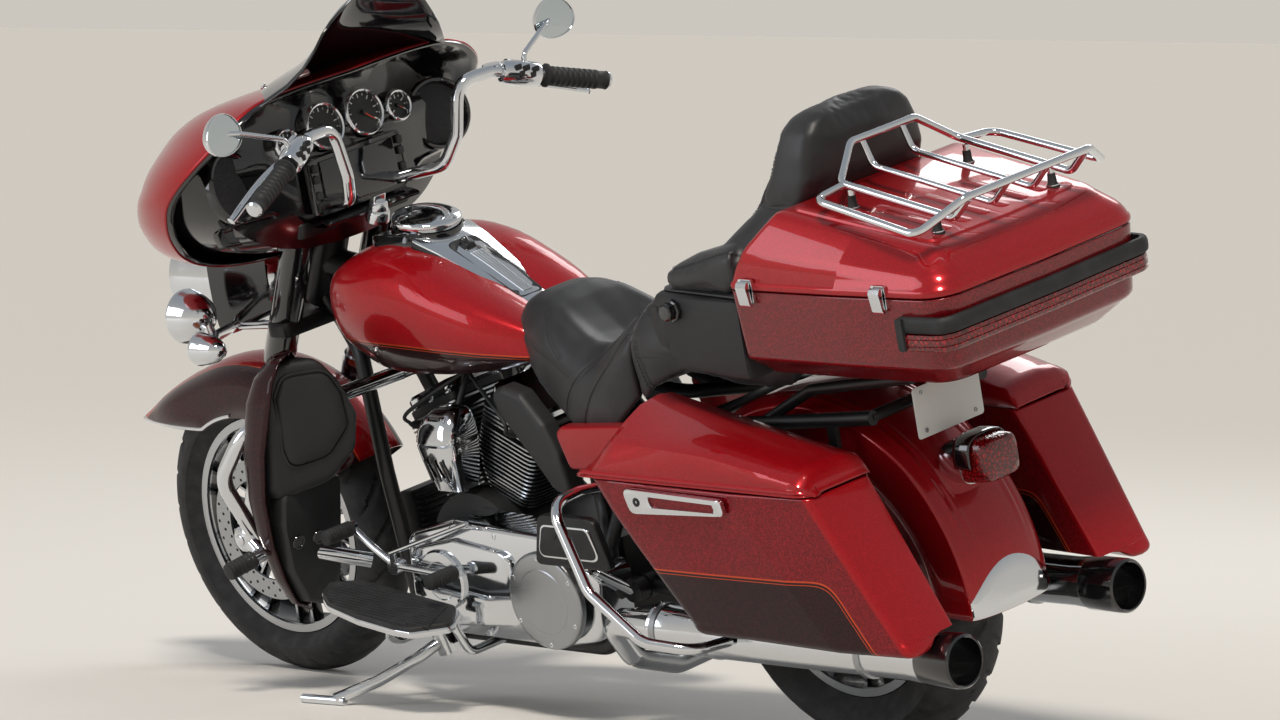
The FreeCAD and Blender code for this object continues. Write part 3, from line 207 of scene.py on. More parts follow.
def ramp(tree, value, low, high):
    return addNode(tree, "MapRange", {"Value": value, "From Min": low, "From Max": high}).outputs[0]


def noise(tree, where, size, detail=3.0):
    return addNode(tree, "TexNoise", {"Vector": where, "Scale": 1 / size, "Detail": detail}).outputs[0]


def roughen(tree, shader, pattern, low, high):
    tree.links.new(addNode(tree, "MapRange", {"Value": pattern, "To Min": low, "To Max": high}).outputs[0],
                   shader.inputs["Roughness"])


def bumpUp(tree, shader, pattern, depth, strength=0.6):
    bump = addNode(tree, "Bump", {"Height": pattern, "Distance": depth / 1000, "Strength": strength})
    tree.links.new(bump.outputs[0], shader.inputs["Normal"])


# Paint colours. Flakes: the ground between them, their own colour, and how large they are drawn.
paint = {
    "candy": "#a40c16", "flake": "#7c0a12", "lower": "#2c0a0d", "stripe": "#c4421c",
    "candyFlakes": ("#930a13", "#b3101b", 1.1),
    "coarseFlakes": ("#5d070e", "#96121c", 1.6),
    "darkFlakes": ("#150406", "#3d0e13", 1.5),
    "bagSideFlakes": ("#640a11", "#9c1620", 1.6),
    "fenderSideFlakes": ("#1c0508", "#471016", 1.5),
}


def flakes(tree, where, kind):
    # metal flake sealed in the base coat, drawn about ten times its real 0.1 mm so that it shows
    low, high, size = paint[kind]
    cells = addNode(tree, "TexVoronoi", {"Vector": where, "Scale": 1 / size})
    level = addNode(tree, "SeparateColor", {"Color": cells.outputs["Color"]}).outputs[0]
    return blendColours(tree, ramp(tree, level, 0.35, 1.0), low, high)


# Candy red urethane: transparent red over a bright ground coat, under a polished clear coat
tree, shader = startMaterial("candyRedPaint", paint["candy"], 0.35, 0.3, coat=0.75, coatRough=0.03,
                             gloss=0.15)
mm = millimetres(tree)
tree.links.new(flakes(tree, mm, "candyFlakes"), shader.inputs["Base Color"])
bumpUp(tree, shader, noise(tree, mm, 9, 1), 0.03, 0.25)

# Metal-flake red on the sides of the bags and trunk: the same clear coat over coarser flake
tree, shader = startMaterial("flakeRedPaint", paint["flake"], 0.35, 0.34, coat=1.0, coatRough=0.05,
                             gloss=0.15)
mm = millimetres(tree)
tree.links.new(flakes(tree, mm, "coarseFlakes"), shader.inputs["Base Color"])

# Lower colour of the two-tone paint: almost black cherry with reddish sparks
tree, shader = startMaterial("darkCherryPaint", paint["lower"], 0.2, 0.4, coat=0.45, coatRough=0.05,
                             gloss=0.1)
mm = millimetres(tree)
tree.links.new(flakes(tree, mm, "darkFlakes"), shader.inputs["Base Color"])

# Gloss black ABS, moulded and clear coated: deep, with a slight orange peel
tree, shader = startMaterial("glossBlackAbs", "#0c0c0e", 0.0, 0.12, coat=1.0, coatRough=0.04)
mm = millimetres(tree)
bumpUp(tree, shader, noise(tree, mm, 7, 1), 0.03, 0.3)
roughen(tree, shader, noise(tree, mm, 60), 0.08, 0.2)

# Textured black polypropylene, moulded with a fine leather-like grain
tree, shader = startMaterial("texturedBlackPlastic", "#1b1c1e", 0.0, 0.55)
mm = millimetres(tree)
grain = addNode(tree, "TexVoronoi", {"Vector": mm, "Scale": 1 / 1.8}, feature="DISTANCE_TO_EDGE").outputs[0]
bumpUp(tree, shader, grain, 0.25, 0.5)
roughen(tree, shader, noise(tree, mm, 35), 0.46, 0.64)

# Black powder coat on steel: even, slightly pebbled
tree, shader = startMaterial("blackPowderCoat", "#121315", 0.15, 0.38)
mm = millimetres(tree)
bumpUp(tree, shader, noise(tree, mm, 1.8), 0.12, 0.4)
roughen(tree, shader, noise(tree, mm, 50), 0.3, 0.5)

# Polished chrome plate: bright, with a faint waviness and a haze of road dust
tree, shader = startMaterial("chromePlate", "#dcdfe2", 1.0, 0.06)
mm = millimetres(tree)
roughen(tree, shader, noise(tree, mm, 45), 0.04, 0.13)
bumpUp(tree, shader, noise(tree, mm, 28, 1), 0.12, 0.25)

# Brushed stainless: fine lines along the part
tree, shader = startMaterial("brushedSteel", "#a8abad", 1.0, 0.3)
mm = millimetres(tree)
lines = addNode(tree, "Mapping", {"Vector": mm, "Scale": (1, 0.02, 1)}).outputs[0]
roughen(tree, shader, noise(tree, lines, 1.2), 0.22, 0.42)

# Crinkle black engine paint on castings
tree, shader = startMaterial("crinkleBlack", "#1a1b1c", 0.1, 0.52)
mm = millimetres(tree)
bumpUp(tree, shader, noise(tree, mm, 2.2), 0.35, 0.6)

# Nitrile rubber, moulded: matt, picks up grey dust
tree, shader = startMaterial("blackRubber", "#18191a", 0.0, 0.62)
mm = millimetres(tree)
dust = ramp(tree, noise(tree, mm, 40), 0.45, 0.8)
tree.links.new(blendColours(tree, dust, "#151617", "#26272a"), shader.inputs["Base Color"])
bumpUp(tree, shader, noise(tree, mm, 1.4), 0.15, 0.4)

# Tyre rubber: carbon black, worn grey on the crown
tree, shader = startMaterial("tyreTread", "#17181a", 0.0, 0.7)
mm = millimetres(tree)
worn = ramp(tree, noise(tree, mm, 26), 0.4, 0.75)
tree.links.new(blendColours(tree, worn, "#161719", "#2d2d2e"), shader.inputs["Base Color"])
bumpUp(tree, shader, noise(tree, mm, 1.2), 0.2, 0.5)

# Vinyl-coated seat leather: small pebbled grain, soft sheen, lighter where it is rubbed
tree, shader = startMaterial("seatLeather", "#17181a", 0.0, 0.45, sheen=0.08)
mm = millimetres(tree)
pebbles = addNode(tree, "TexVoronoi", {"Vector": mm, "Scale": 1 / 2.4}, feature="DISTANCE_TO_EDGE").outputs[0]
folds = noise(tree, mm, 24, 4)
height = addNode(tree, "Math", {0: pebbles, 1: folds}, operation="ADD").outputs[0]
bumpUp(tree, shader, height, 0.3, 0.55)
tree.links.new(blendColours(tree, ramp(tree, noise(tree, mm, 90), 0.4, 0.7), "#131416", "#232427"),
               shader.inputs["Base Color"])
roughen(tree, shader, noise(tree, mm, 70), 0.36, 0.55)

# Bonded polyester thread in the seat's seams
tree, shader = startMaterial("seatThread", "#34363a", 0.0, 0.6)
twist = addNode(tree, "TexWave", {"Vector": millimetres(tree), "Scale": 0.9})
bumpUp(tree, shader, twist.outputs[1], 0.2, 0.5)

# Red acrylic lens with prisms moulded on its inside
tree, shader = startMaterial("redAcrylicLens", "#8c0b10", 0.0, 0.1, coat=0.6, clear=0.25, ior=1.49)
prisms = addNode(tree, "TexVoronoi", {"Vector": millimetres(tree), "Scale": 1 / 9},
                 feature="DISTANCE_TO_EDGE")
bumpUp(tree, shader, prisms.outputs[0], 1.6, 0.8)
tree.links.new(blendColours(tree, ramp(tree, prisms.outputs[0], 0.02, 0.3), "#4d0508", "#a8121a"),
               shader.inputs["Base Color"])

# Polycarbonate lamp lens and mirror glass
tree, shader = startMaterial("clearLens", "#e3e8ea", 0.0, 0.04, clear=0.85, ior=1.58)
bumpUp(tree, shader, noise(tree, millimetres(tree), 30, 1), 0.05, 0.2)
tree, shader = startMaterial("mirrorGlass", "#c9d2d6", 1.0, 0.03)
bumpUp(tree, shader, noise(tree, millimetres(tree), 80, 1), 0.02, 0.1)

# Smoked polycarbonate screen
tree, shader = startMaterial("smokedPolycarbonate", "#141519", 0.0, 0.05, clear=0.35, ior=1.58, coat=0.5)
roughen(tree, shader, noise(tree, millimetres(tree), 60), 0.03, 0.1)

# Amber turn lens, white plate enamel, dial faces and the dark display
tree, shader = startMaterial("amberLens", "#b9560c", 0.0, 0.12, clear=0.3, ior=1.49)
bumpUp(tree, shader, addNode(tree, "TexWave", {"Vector": millimetres(tree), "Scale": 0.12}).outputs[1], 0.6,
       0.5)
tree, shader = startMaterial("plateEnamel", "#d9dbd8", 0.0, 0.35)
roughen(tree, shader, noise(tree, millimetres(tree), 25), 0.28, 0.5)
tree, shader = startMaterial("dialFace", "#18191b", 0.0, 0.5)
roughen(tree, shader, noise(tree, millimetres(tree), 8), 0.4, 0.6)
tree, shader = startMaterial("displayGlass", "#07080a", 0.0, 0.06, coat=1.0)
roughen(tree, shader, noise(tree, millimetres(tree), 90), 0.04, 0.1)

# Clear coat over black wheel paint, and bare machined alloy
tree, shader = startMaterial("wheelBlack", "#0e0f10", 0.3, 0.24, coat=0.8)
roughen(tree, shader, noise(tree, millimetres(tree), 40), 0.18, 0.34)
tree, shader = startMaterial("machinedAlloy", "#b9bcbf", 1.0, 0.24)
cuts = addNode(tree, "TexWave", {"Vector": millimetres(tree), "Scale": 0.35}, wave_type="RINGS")
roughen(tree, shader, cuts.outputs[1], 0.18, 0.3)
print("materials:", len(materials))


# Modelling helpers. Points are (s, t, z) in upright millimetres.
def newPiece(name, points, faces, finish, body=None, sharp=40, extra=(), faceFinish=None):
    mesh = bpy.data.meshes.new(name)
    mesh.from_pydata([place(*p) for p in points], [], faces)
    mesh.update()
    for each in (finish, *extra):
        mesh.materials.append(materials[each])
    if faceFinish:
        for face in mesh.polygons:
            face.material_index = faceFinish(face.index)
    tidy = bmesh.new()
    tidy.from_mesh(mesh)
    bmesh.ops.remove_doubles(tidy, verts=tidy.verts, dist=1e-6)
    bmesh.ops.recalc_face_normals(tidy, faces=tidy.faces)
    tidy.to_mesh(mesh)
    tidy.free()
    mesh.shade_smooth()
    mesh.set_sharp_from_angle(angle=math.radians(sharp))
    piece = bpy.data.objects.new(name, mesh)
    bpy.context.scene.collection.objects.link(piece)
    if body:
        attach(piece, body)
    return piece


def modify(piece, kind, **settings):
    made = piece.modifiers.new(kind.lower(), kind)
    for name, value in settings.items():
        setattr(made, name, value)
    return piece


def thicken(sheet, wall, offset=-1):
    return modify(sheet, "SOLIDIFY", thickness=wall / 1000, offset=offset)


def bridge(rings, closed=True, caps=(True, True)):
    count = len(rings[0])
    points = [p for ring in rings for p in ring]
    steps = count if closed else count - 1
    faces = [(r * count + i, r * count + (i + 1) % count, (r + 1) * count + (i + 1) % count,
              (r + 1) * count + i) for r in range(len(rings) - 1) for i in range(steps)]
    if closed and caps[0]:
        faces.append(tuple(range(count)))
    if closed and caps[1]:
        faces.append(tuple(reversed(range(len(points) - count, len(points)))))
    return points, faces


def loft(name, rings, finish, body=None, closed=True, caps=(True, True), **more):
    points, faces = bridge(rings, closed, caps)
    return newPiece(name, points, faces, finish, body, **more)


def roundCorners(points, radii, steps=5, closed=True):
    # the same outline with an arc at every corner that has a radius
    made = []
    count = len(points)
    for i, (corner, radius) in enumerate(zip(points, radii)):
        corner = Vector(corner)
        if radius <= 0 or (not closed and i in (0, count - 1)):
            made.append(corner)
            continue
        back = Vector(points[i - 1]) - corner
        ahead = Vector(points[(i + 1) % count]) - corner
        half = 0.5 * back.angle(ahead)
        run = min(radius / math.tan(half), 0.49 * back.length, 0.49 * ahead.length)
        start, end = corner + back.normalized() * run, corner + ahead.normalized() * run
        for k in range(steps + 1):
            u = k / steps
            made.append(start * (1 - u) ** 2 + corner * 2 * u * (1 - u) + end * u ** 2)
    return made


def smoothPath(stations, bend=40, step=6):
    # a path through corners that are rounded with the given bend
    radii = [bend] * len(stations) if not isinstance(bend, (list, tuple)) else bend
    return roundCorners([Vector(p) for p in stations], radii, step, closed=False)


def splinePath(stations, steps=8):
    # a smooth curve through every station
    points = [Vector(p) for p in stations]
    points = [points[0] * 2 - points[1]] + points + [points[-1] * 2 - points[-2]]
    made = []
    for i in range(1, len(points) - 2):
        a, b, c, d = points[i - 1:i + 3]
        for k in range(steps):
            u = k / steps
            made.append(0.5 * ((2 * b) + (c - a) * u + (2 * a - 5 * b + 4 * c - d) * u * u
                               + (3 * b - a - 3 * c + d) * u ** 3))
    return made + [points[-2]]


def sweep(name, path, radius, finish, body=None, sides=12, caps=True, flat=1.0, **more):
    # round or oval bar along a path; radius may be one number or one for each point
    path = [Vector(p) for p in path]
    radii = radius if isinstance(radius, (list, tuple)) else [radius] * len(path)
    side = None
    rings = []
    for i, point in enumerate(path):
        along = (path[min(i + 1, len(path) - 1)] - path[max(i - 1, 0)]).normalized()
        if side is None:
            side = along.orthogonal().normalized()
        side = (side - along * side.dot(along)).normalized()
        other = along.cross(side)
        rings.append([point + (side * math.cos(a) + other * math.sin(a) * flat) * radii[i]
                      for a in [2 * math.pi * k / sides for k in range(sides)]])
    return loft(name, rings, finish, body, caps=(caps, caps), **more)


def turned(name, profile, start, end, finish, body=None, sides=40, **more):
    # turned piece: the profile holds distances along the line and radii
    base, tip = Vector(start), Vector(end)
    along = (tip - base).normalized()
    side = along.orthogonal().normalized()
    other = along.cross(side)
    rings = [[base + along * run + (side * math.cos(a) + other * math.sin(a)) * max(radius, 0.01)
              for a in [2 * math.pi * k / sides for k in range(sides)]] for run, radius in profile]
    return loft(name, rings, finish, body, **more)


def joinPieces(name, pieces, body=None):
    # one object from several, with their materials kept
    for piece in pieces:
        piece.parent = None
        piece.matrix_world = Matrix.Identity(4)
    bpy.context.view_layer.update()
    depsgraph = bpy.context.evaluated_depsgraph_get()
    whole = bmesh.new()
    slots = []
    for piece in pieces:
        shaped = bpy.data.meshes.new_from_object(piece.evaluated_get(depsgraph))
        table = []
        for material in piece.data.materials:
            if material not in slots:
                slots.append(material)
            table.append(slots.index(material))
        for face in shaped.polygons:
            face.material_index = table[face.material_index]
        whole.from_mesh(shaped)
    mesh = bpy.data.meshes.new(name)
    whole.to_mesh(mesh)
    whole.free()
    for material in slots:
        mesh.materials.append(material)
    for piece in pieces:
        bpy.data.objects.remove(piece)
    joined = bpy.data.objects.new(name, mesh)
    bpy.context.scene.collection.objects.link(joined)
    if body:
        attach(joined, body)
    return joined


def mirrorPiece(piece, name, body=None):
    # the same piece on the other side of the machine
    bpy.context.view_layer.update()
    shaped = bpy.data.meshes.new_from_object(piece.evaluated_get(bpy.context.evaluated_depsgraph_get()))
    flip = toFrame @ Matrix.Scale(-1, 4, Vector((1, 0, 0))) @ toFrame.inverted()
    shaped.transform(flip)
    shaped.flip_normals()
    made = bpy.data.objects.new(name, shaped)
    bpy.context.scene.collection.objects.link(made)
    if body:
        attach(made, body)
    return made


def bolt(name, spot, axis, size, finish="chromePlate", body=None, socket=True):
    # cap screw with a hexagon socket
    spot, axis = Vector(spot), Vector(axis).normalized()
    deep = size * 0.35
    profile = [(0, size), (size * 0.5, size), (size * 0.62, size * 0.86), (size * 0.62, size * 0.5),
               (size * 0.62 - deep, size * 0.45), (size * 0.62 - deep, 0)]
    return turned(name, profile if socket else profile[:3] + [(size * 0.7, 0)], spot, spot + axis, finish,
                  body, 14)


# Finish of every solid that stays as it is
finishes = {
    "chromePlate": ["luggage_rack", "engine_guard", "saddlebag_guards", "foot_controls", "side_stand"],
    "blackPowderCoat": ["frame", "swingarm"],
    "crinkleBlack": ["engine_cases"],
}
for finish, names in finishes.items():
    for name in names:
        mesh = frame["nodes"][name].data
        mesh.materials.clear()
        mesh.materials.append(materials[finish])


def standsFor(piece, node):
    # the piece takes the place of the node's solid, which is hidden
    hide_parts(node)
    return piece


def shrunk(ring, by):
    # the same ring with every point moved towards its middle
    middle = sum(ring, Vector()) / len(ring)
    return [p + (middle - p).normalized() * by for p in ring]


def hingeBarrels(places, t, z, radius):
    # short round barrels on a lid's hinge line
    return [sweep("barrel", [(s - 15, t, z), (s + 15, t, z)], radius, "blackPowderCoat", sides=16)
            for s in places]


def levelRings(levels, steps):
    # rings from outlines: each level holds its corner points and their radii
    return [roundCorners(corners, radii, steps) for corners, radii in levels]


def bothSides(piece, left, right, body=None):
    # the piece rides on the left, its mirror image on the right
    other = mirrorPiece(piece, right, body and body.replace("left", "right"))
    piece.name = left
    if body:
        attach(piece, body)
    return piece, other


def paintZones(name, build):
    # painted surface whose colour follows a drawn line: build() gives the factor from 0 to 1
    tree, shader = startMaterial(name, paint["candy"], 0.3, 0.32, coat=0.6, coatRough=0.03, gloss=0.1)
    mm = millimetres(tree)
    at = addNode(tree, "SeparateXYZ", {0: mm}).outputs
    tree.links.new(build(tree, mm, at[1], at[0], at[2]), shader.inputs["Base Color"])
    return shader


def maths(tree, operation, a, b=0.0, c=None):
    inputs = {0: a, 1: b}
    if c is not None:
        inputs[2] = c
    return addNode(tree, "Math", inputs, operation=operation).outputs[0]


def stripe(tree, field, centre, outer, inner):
    # 1 on a thin line around one value of a distance field, 0 away from it
    off = maths(tree, "ABSOLUTE", maths(tree, "ADD", field, -centre))
    return ramp(tree, off, outer, inner)


def alongLine(tree, s, z, start, end):
    # distance in the side view from the line start to end, positive above it; s is minus the object's Y
    ds, dz = end[0] - start[0], end[1] - start[1]
    long = math.hypot(ds, dz)
    first = maths(tree, "MULTIPLY_ADD", s, -dz / long, (start[0] * dz - start[1] * ds) / long)
    return maths(tree, "MULTIPLY_ADD", z, ds / long, first)


# Saddlebags: a hollow painted box on each side, a notch over the muffler and a chrome latch. Each side of
# the box is named by its place at the bottom and how far it moves up to the rim.
bags = {
    "bottom": 306, "rim": 612, "seam": 613, "wall": 5, "inner": 204, "edge": 16, "frontRise": 22, "bow": 5,
    "front": (62, 201), "rear": (-441, 173), "outFront": (393, 22), "outRear": (341, 30),
    "levels": (326, 332.9, 333.1, 345, 380, 440, 500, 560, 600, 607, 612),
    "pipeT": 229, "pipeZ": 272, "pipeRoom": 61,
    "lineFront": (136, 457), "lineRear": (-231, 454), "edgeLow": (-441, 306), "edgeHigh": (-268, 612),
    "edgeBand": 70, "lineBlend": 46,
    "hinge": (198, 640), "barrels": (-79.7, 140.3), "lidBarrels": (-110, 110), "barrel": 5,
}
lid = {"rear": -274, "long": 574, "wall": 4.5,
       "stations": (-274, -272, -268, -262, -254, -244, -230, -200, -150, -90, -35, 20, 60, 110, 150, 173,
                    190, 205, 218, 230, 242, 255, 266, 276, 285, 292, 297, 300), "ramp": 205, "tail": -236,
       "roundFront": 266, "roundRear": -240, "round": 34,}
latchPlate = {"middle": (20, 407, 592), "lock": (130, 419, 593),
              "corner": [(165, 413.5, 618), (-81, 404, 608), (-86, 403, 577), (150, 412, 569)],
              "cornerRound": [16, 10, 12, 16],
              "hole": [(104, 411, 605), (-62, 405, 599), (-66, 404, 583), (98, 410, 584)],
              "holeRound": [9, 7, 7, 9],}


def seamHeight(s):
    return bags["seam"] + 18 * (s - lid["rear"]) / lid["long"]


def bagColour(tree, mm, y, t, z):
    s = maths(tree, "MULTIPLY", y, -1.0)
    below = maths(tree, "MULTIPLY", alongLine(tree, s, z, bags["lineRear"], bags["lineFront"]), -1.0)
    rearEdge = alongLine(tree, s, z, bags["edgeLow"], bags["edgeHigh"])
    ahead = maths(tree, "MULTIPLY_ADD", rearEdge, -1.0, -0.87 * bags["edgeBand"])
    inside = maths(tree, "SMOOTH_MIN", below, ahead, bags["lineBlend"])
    side = blendColours(tree, ramp(tree, maths(tree, "MULTIPLY_ADD", rearEdge, -1.0, -9.0), 0, 5),
                        flakes(tree, mm, "candyFlakes"), flakes(tree, mm, "bagSideFlakes"))
    base = blendColours(tree, ramp(tree, inside, -0.2, 0.2), side, flakes(tree, mm, "darkFlakes"))
    lines = maths(tree, "MAXIMUM", stripe(tree, inside, 1, 1.9, 1.5), stripe(tree, inside, 7.5, 0.9, 0.6))
    return blendColours(tree, lines, base, paint["stripe"])


paintZones("bagPaint", bagColour)


def bagRing(z, inset):
    share = (z - bags["bottom"]) / (bags["rim"] - bags["bottom"])
    front, rear, outFront, outRear = [bags[edge][0] + bags[edge][1] * share
                                      for edge in ("front", "rear", "outFront", "outRear")]
    front, rear, outFront, outRear = front - inset, rear + inset, outFront - inset, outRear - inset
    inner = bags["inner"] + inset
    under = bags["pipeRoom"] ** 2 - (z - bags["pipeZ"]) ** 2
    if under > 0 and z < bags["pipeZ"] + bags["pipeRoom"]:
        inner = max(inner, bags["pipeT"] + math.sqrt(under) + inset)
    middle, outer = 0.5 * (front + rear), 0.5 * (outFront + outRear)
    bow = bags["bow"] * math.sin(math.pi * min(max(share, 0), 1))

    def level(s):
        rise = bags["frontRise"] * (s - rear) / (front - rear) * (1 - share)
        return z + rise + (seamHeight(s) - bags["seam"] - 1) * max(0, share - 0.8) * 5
    corners = [(front, inner), (front - 6, 0.5 * (inner + outFront) + 8), (front, outFront),
               (middle + 120, outer + 14 + bow), (middle - 90, outer + 2 + bow),
               (rear, outRear), (rear - 5, 0.5 * (inner + outRear)), (rear, inner)]
    return [(s, t, level(s)) for s, t in corners], [12, 0, 30, 60, 60, 22, 0, 10]


def makeBag():
    levels = [bagRing(bags["bottom"] + bags["edge"] * (1 - math.cos(a)), bags["edge"] * (1 - math.sin(a)))
              for a in [math.radians(18 * k) for k in range(6)]]
    levels += [bagRing(z, 0) for z in bags["levels"]]
    shell = loft("bagShell", levelRings(levels, 6), "bagPaint", caps=(True, False), sharp=35)
    return thicken(shell, bags["wall"])


def lidSection(s):
    # seam, inner wall, crowned top, soft ridge, outer wall and the bead at its foot
    low, share = seamHeight(s), (s - lid["rear"]) / lid["long"]
    top = 653 + 0.2 * (s + 245)
    if s > lid["ramp"]:
        top = 743 - (s - lid["ramp"]) ** 1.12 * 0.70
    if s < lid["tail"]:
        top = 655 - ((lid["tail"] - s) / 38) ** 2.4 * 42
    high = max(top - low, 3.0)
    full = min(high / 40, 1)
    past = max(s - lid["roundFront"], lid["roundRear"] - s, 0)
    narrow = lid["round"] - math.sqrt(max(lid["round"] ** 2 - past ** 2, 0))
    foot = 375 + 44 * share - narrow
    ridge = min(372 + 18 * math.sin(math.pi * min(max(share, 0), 1)) + (s - 20) * 0.03, foot - 8)
    fall = 0.30 * high * min(max((s + 40) / 240, 0), 1)
    inner, crown = bags["inner"], low + high
    points = [(inner, low), (inner, low + 0.55 * high), (inner + 3, low + 0.9 * high),
              (inner + 12, low + high * 0.985), (250, crown + 4 * full),
              (300, crown + 6 * full - 0.22 * fall), (342, crown + 3 * full - 0.62 * fall),
              (ridge - 8, crown - 4 * full - fall), (ridge + 5, crown - 12 * full - 1.05 * fall),
              (0.62 * ridge + 0.38 * foot + 5, low + 0.62 * (high - fall)),
              (foot + 0.5, low + 0.32 * (high - fall)), (foot, low + 15 * full),
              (foot + 3.2, low + 12 * full), (foot + 3.6, low + 9 * full), (foot + 0.6, low + 6.5 * full),
              (foot + 2.8, low + 4 * full), (foot + 2.6, low + 1 * full), (foot - 1, low)]
    return [(s, t, z + 0.4) for t, z in points]


def makeBagLid():
    sections = [lidSection(s) for s in lid["stations"]]
    return thicken(loft("bagLidShell", sections, "candyRedPaint", closed=False, sharp=32), lid["wall"])


def makeLatch():
    # long chrome frame with a key lock in front and a painted middle
    middle = Vector(latchPlate["middle"])

    def level(edge, out, grow):
        ring = [Vector(p) + (middle - Vector(p)).normalized() * grow for p in latchPlate[edge]]
        return [(p[0], p[1] + out, p[2]) for p in roundCorners(ring, latchPlate[edge + "Round"])]
    rings = [level("corner", out, grow) for out, grow in ((-2, 0), (8, -1), (10, 4))]
    rings += [level("hole", out, grow) for out, grow in ((10, -4), (8, 1), (0, 1))]
    chrome = loft("latchFrame", rings, "chromePlate", caps=(False, False), sharp=30)
    panel = loft("latchMiddle", [level("hole", out, 0) for out in (1.5, 4)], "bagPaint")
    lock = Vector(latchPlate["lock"])
    lock = turned("latchLock", [(0, 9), (3, 9), (4, 7.5), (4, 3), (2, 2.5), (2, 0)], lock,
                  lock + Vector((0, 1, 0)), "blackPowderCoat", sides=20)
    return joinPieces("latch", [chrome, panel, lock])


for makers, barrels, name, body, node in (((makeBag, makeLatch), "barrels", "Bag", "chassis", "saddlebag"),
                                          ((makeBagLid,), "lidBarrels", "BagLid", "left_bag_lid", "bag_lid")):
    pieces = [make() for make in makers] + hingeBarrels(bags[barrels], *bags["hinge"], bags["barrel"])
    left, right = bothSides(joinPieces("left" + name, pieces), "left" + name, "right" + name, body)
    standsFor(left, "left_" + node)
    standsFor(right, "right_" + node)
print("saddlebags ready")

# Trunk: a stepped box, a lid with a raised plateau, latches, a rubber rail and the lamp strip. A level of
# the shell or the lid holds front, rear, half width in front and behind, height, bow of the rear, rear
# corner radius and, where it slopes, the height behind.
trunk = {"wall": 5, "lidWall": 4.5,
         "levels": [(-96, -528, 218, 206, 801, 4, 50), (-88, -538, 228, 218, 803, 4, 55),
                    (-83, -546, 234, 224, 809, 5, 58), (-82, -556, 244, 234, 818, 5, 60),
                    (-82, -572, 266, 250, 832, 6, 62), (-82, -577, 273, 256, 837, 6, 64),
                    (-82, -585, 281, 263, 842, 7, 66), (-82, -589, 284.5, 266, 848, 7, 66),
                    (-82, -590, 285.5, 267, 856, 8, 66), (-82, -593, 289, 270, 890, 8, 67),
                    (-82, -598, 294, 274, 940, 8, 69), (-82, -601, 297, 276, 974, 8, 70),
                    (-82, -601, 296.5, 275.5, 977.5, 8, 70)],
         "lidLevels": [(-84, -600, 296, 274.5, 979, 8, 70), (-82, -603, 299, 277.5, 982, 8, 72),
                       (-82, -603.5, 300, 278, 988, 8, 72), (-83, -602, 298, 276.5, 993, 8, 71),
                       (-85, -600, 295.5, 274.5, 995, 8, 70), (-99, -598, 294.5, 269, 1022, 8, 68, 1003),
                       (-118, -594, 291, 263, 1050, 8, 66, 1011), (-125, -588, 286, 257, 1060, 8, 62, 1018),
                       (-150, -574, 271, 242, 1086, 8, 56, 1031), (-174, -562, 256, 228, 1110, 8, 52, 1043),
                       (-180, -556, 250, 222, 1116, 7, 48, 1050),
                       (-188, -548, 242, 214, 1118.5, 6, 44, 1054.5),
                       (-205, -530, 226, 198, 1117, 5, 36, 1059), (-207, -528, 224, 196, 1121, 5, 35, 1063),
                       (-212, -523, 219, 191, 1122.5, 5, 33, 1064.5)],
         "ribs": (-138, -82, -27, 27, 82, 138), "ribHalf": 17, "ribFront": -232, "ribRear": -505,
         "hinge": (-304, 979), "barrels": (-150, -300), "lidBarrels": (-180.3, -330.3), "barrel": 6,
         "latches": ((-130, 296.5), (-453, 281.5)),
         "lever": [(7, 996), (11, 1000), (16, 998), (20, 990), (17, 972), (15, 958), (11, 952), (7, 953),
                   (8, 966), (10, 985)], "railLow": 918, "railHigh": 947, "railFront": -496,
         "aroundRadii": [0, 60, 30, 40, 400, 40, 30, 60, 0],
         "railLine": [(-496, 296), (-552, 292), (-594, 288), (-610, 262), (-616, 0)],
         "lampLine": [(-510, 293), (-552, 289), (-590, 284), (-604, 258), (-610, 0)],}


def trunkCorners(front, rear, halfFront, halfRear, z, bow, radius, zRear=None):
    zRear = z if zRear is None else zRear
    middle, halfMiddle = 0.5 * (front + rear), 0.5 * (halfFront + halfRear) + 4

    def level(s):
        return z + (zRear - z) * (front - s) / (front - rear)
    corners = [(front, -halfFront), (front, halfFront), (middle, halfMiddle), (rear + 6, halfRear),
               (rear - bow + 6, 0), (rear + 6, -halfRear), (middle, -halfMiddle)]
    return [(s, t, level(s)) for s, t in corners], [14, 14, 80, radius, 0, radius, 80]


def makeTrunk():
    rings = levelRings([trunkCorners(*level) for level in trunk["levels"]], 7)
    box = thicken(loft("trunkShell", rings, "flakeRedPaint", caps=(True, False), sharp=35), trunk["wall"])
    return joinPieces("trunkBox", [box] + hingeBarrels(trunk["barrels"], *trunk["hinge"], trunk["barrel"]))


def lidTop(s):
    return 1118 + 0.1746 * (s + 178)


def makeTrunkLid():
    rings = levelRings([trunkCorners(*level) for level in trunk["lidLevels"]], 7)
    shell = loft("trunkLidShell", rings, "candyRedPaint", caps=(False, True), sharp=34)
    pieces = [thicken(shell, trunk["lidWall"])]
    front, rear = trunk["ribFront"], trunk["ribRear"]
    for t in trunk["ribs"]:
        ribs = []
        for grow, lift in ((0, 0.5), (-2, 3.5), (-4.5, 4.6)):
            w = trunk["ribHalf"] + grow
            line = [(front + grow, t - w), (front + grow, t + w), (rear - grow, t + w), (rear - grow, t - w)]
            ring = [(s, u * (1 - 0.0002 * (front - s)), lidTop(s) + 4.2 + lift) for s, u in line]
            ribs.append(roundCorners(ring, [14] * 4, 4))
        pieces.append(loft("rib", ribs, "candyRedPaint", caps=(False, True), sharp=40))
    return joinPieces("trunkLid",
                      pieces + hingeBarrels(trunk["lidBarrels"], *trunk["hinge"], trunk["barrel"]))


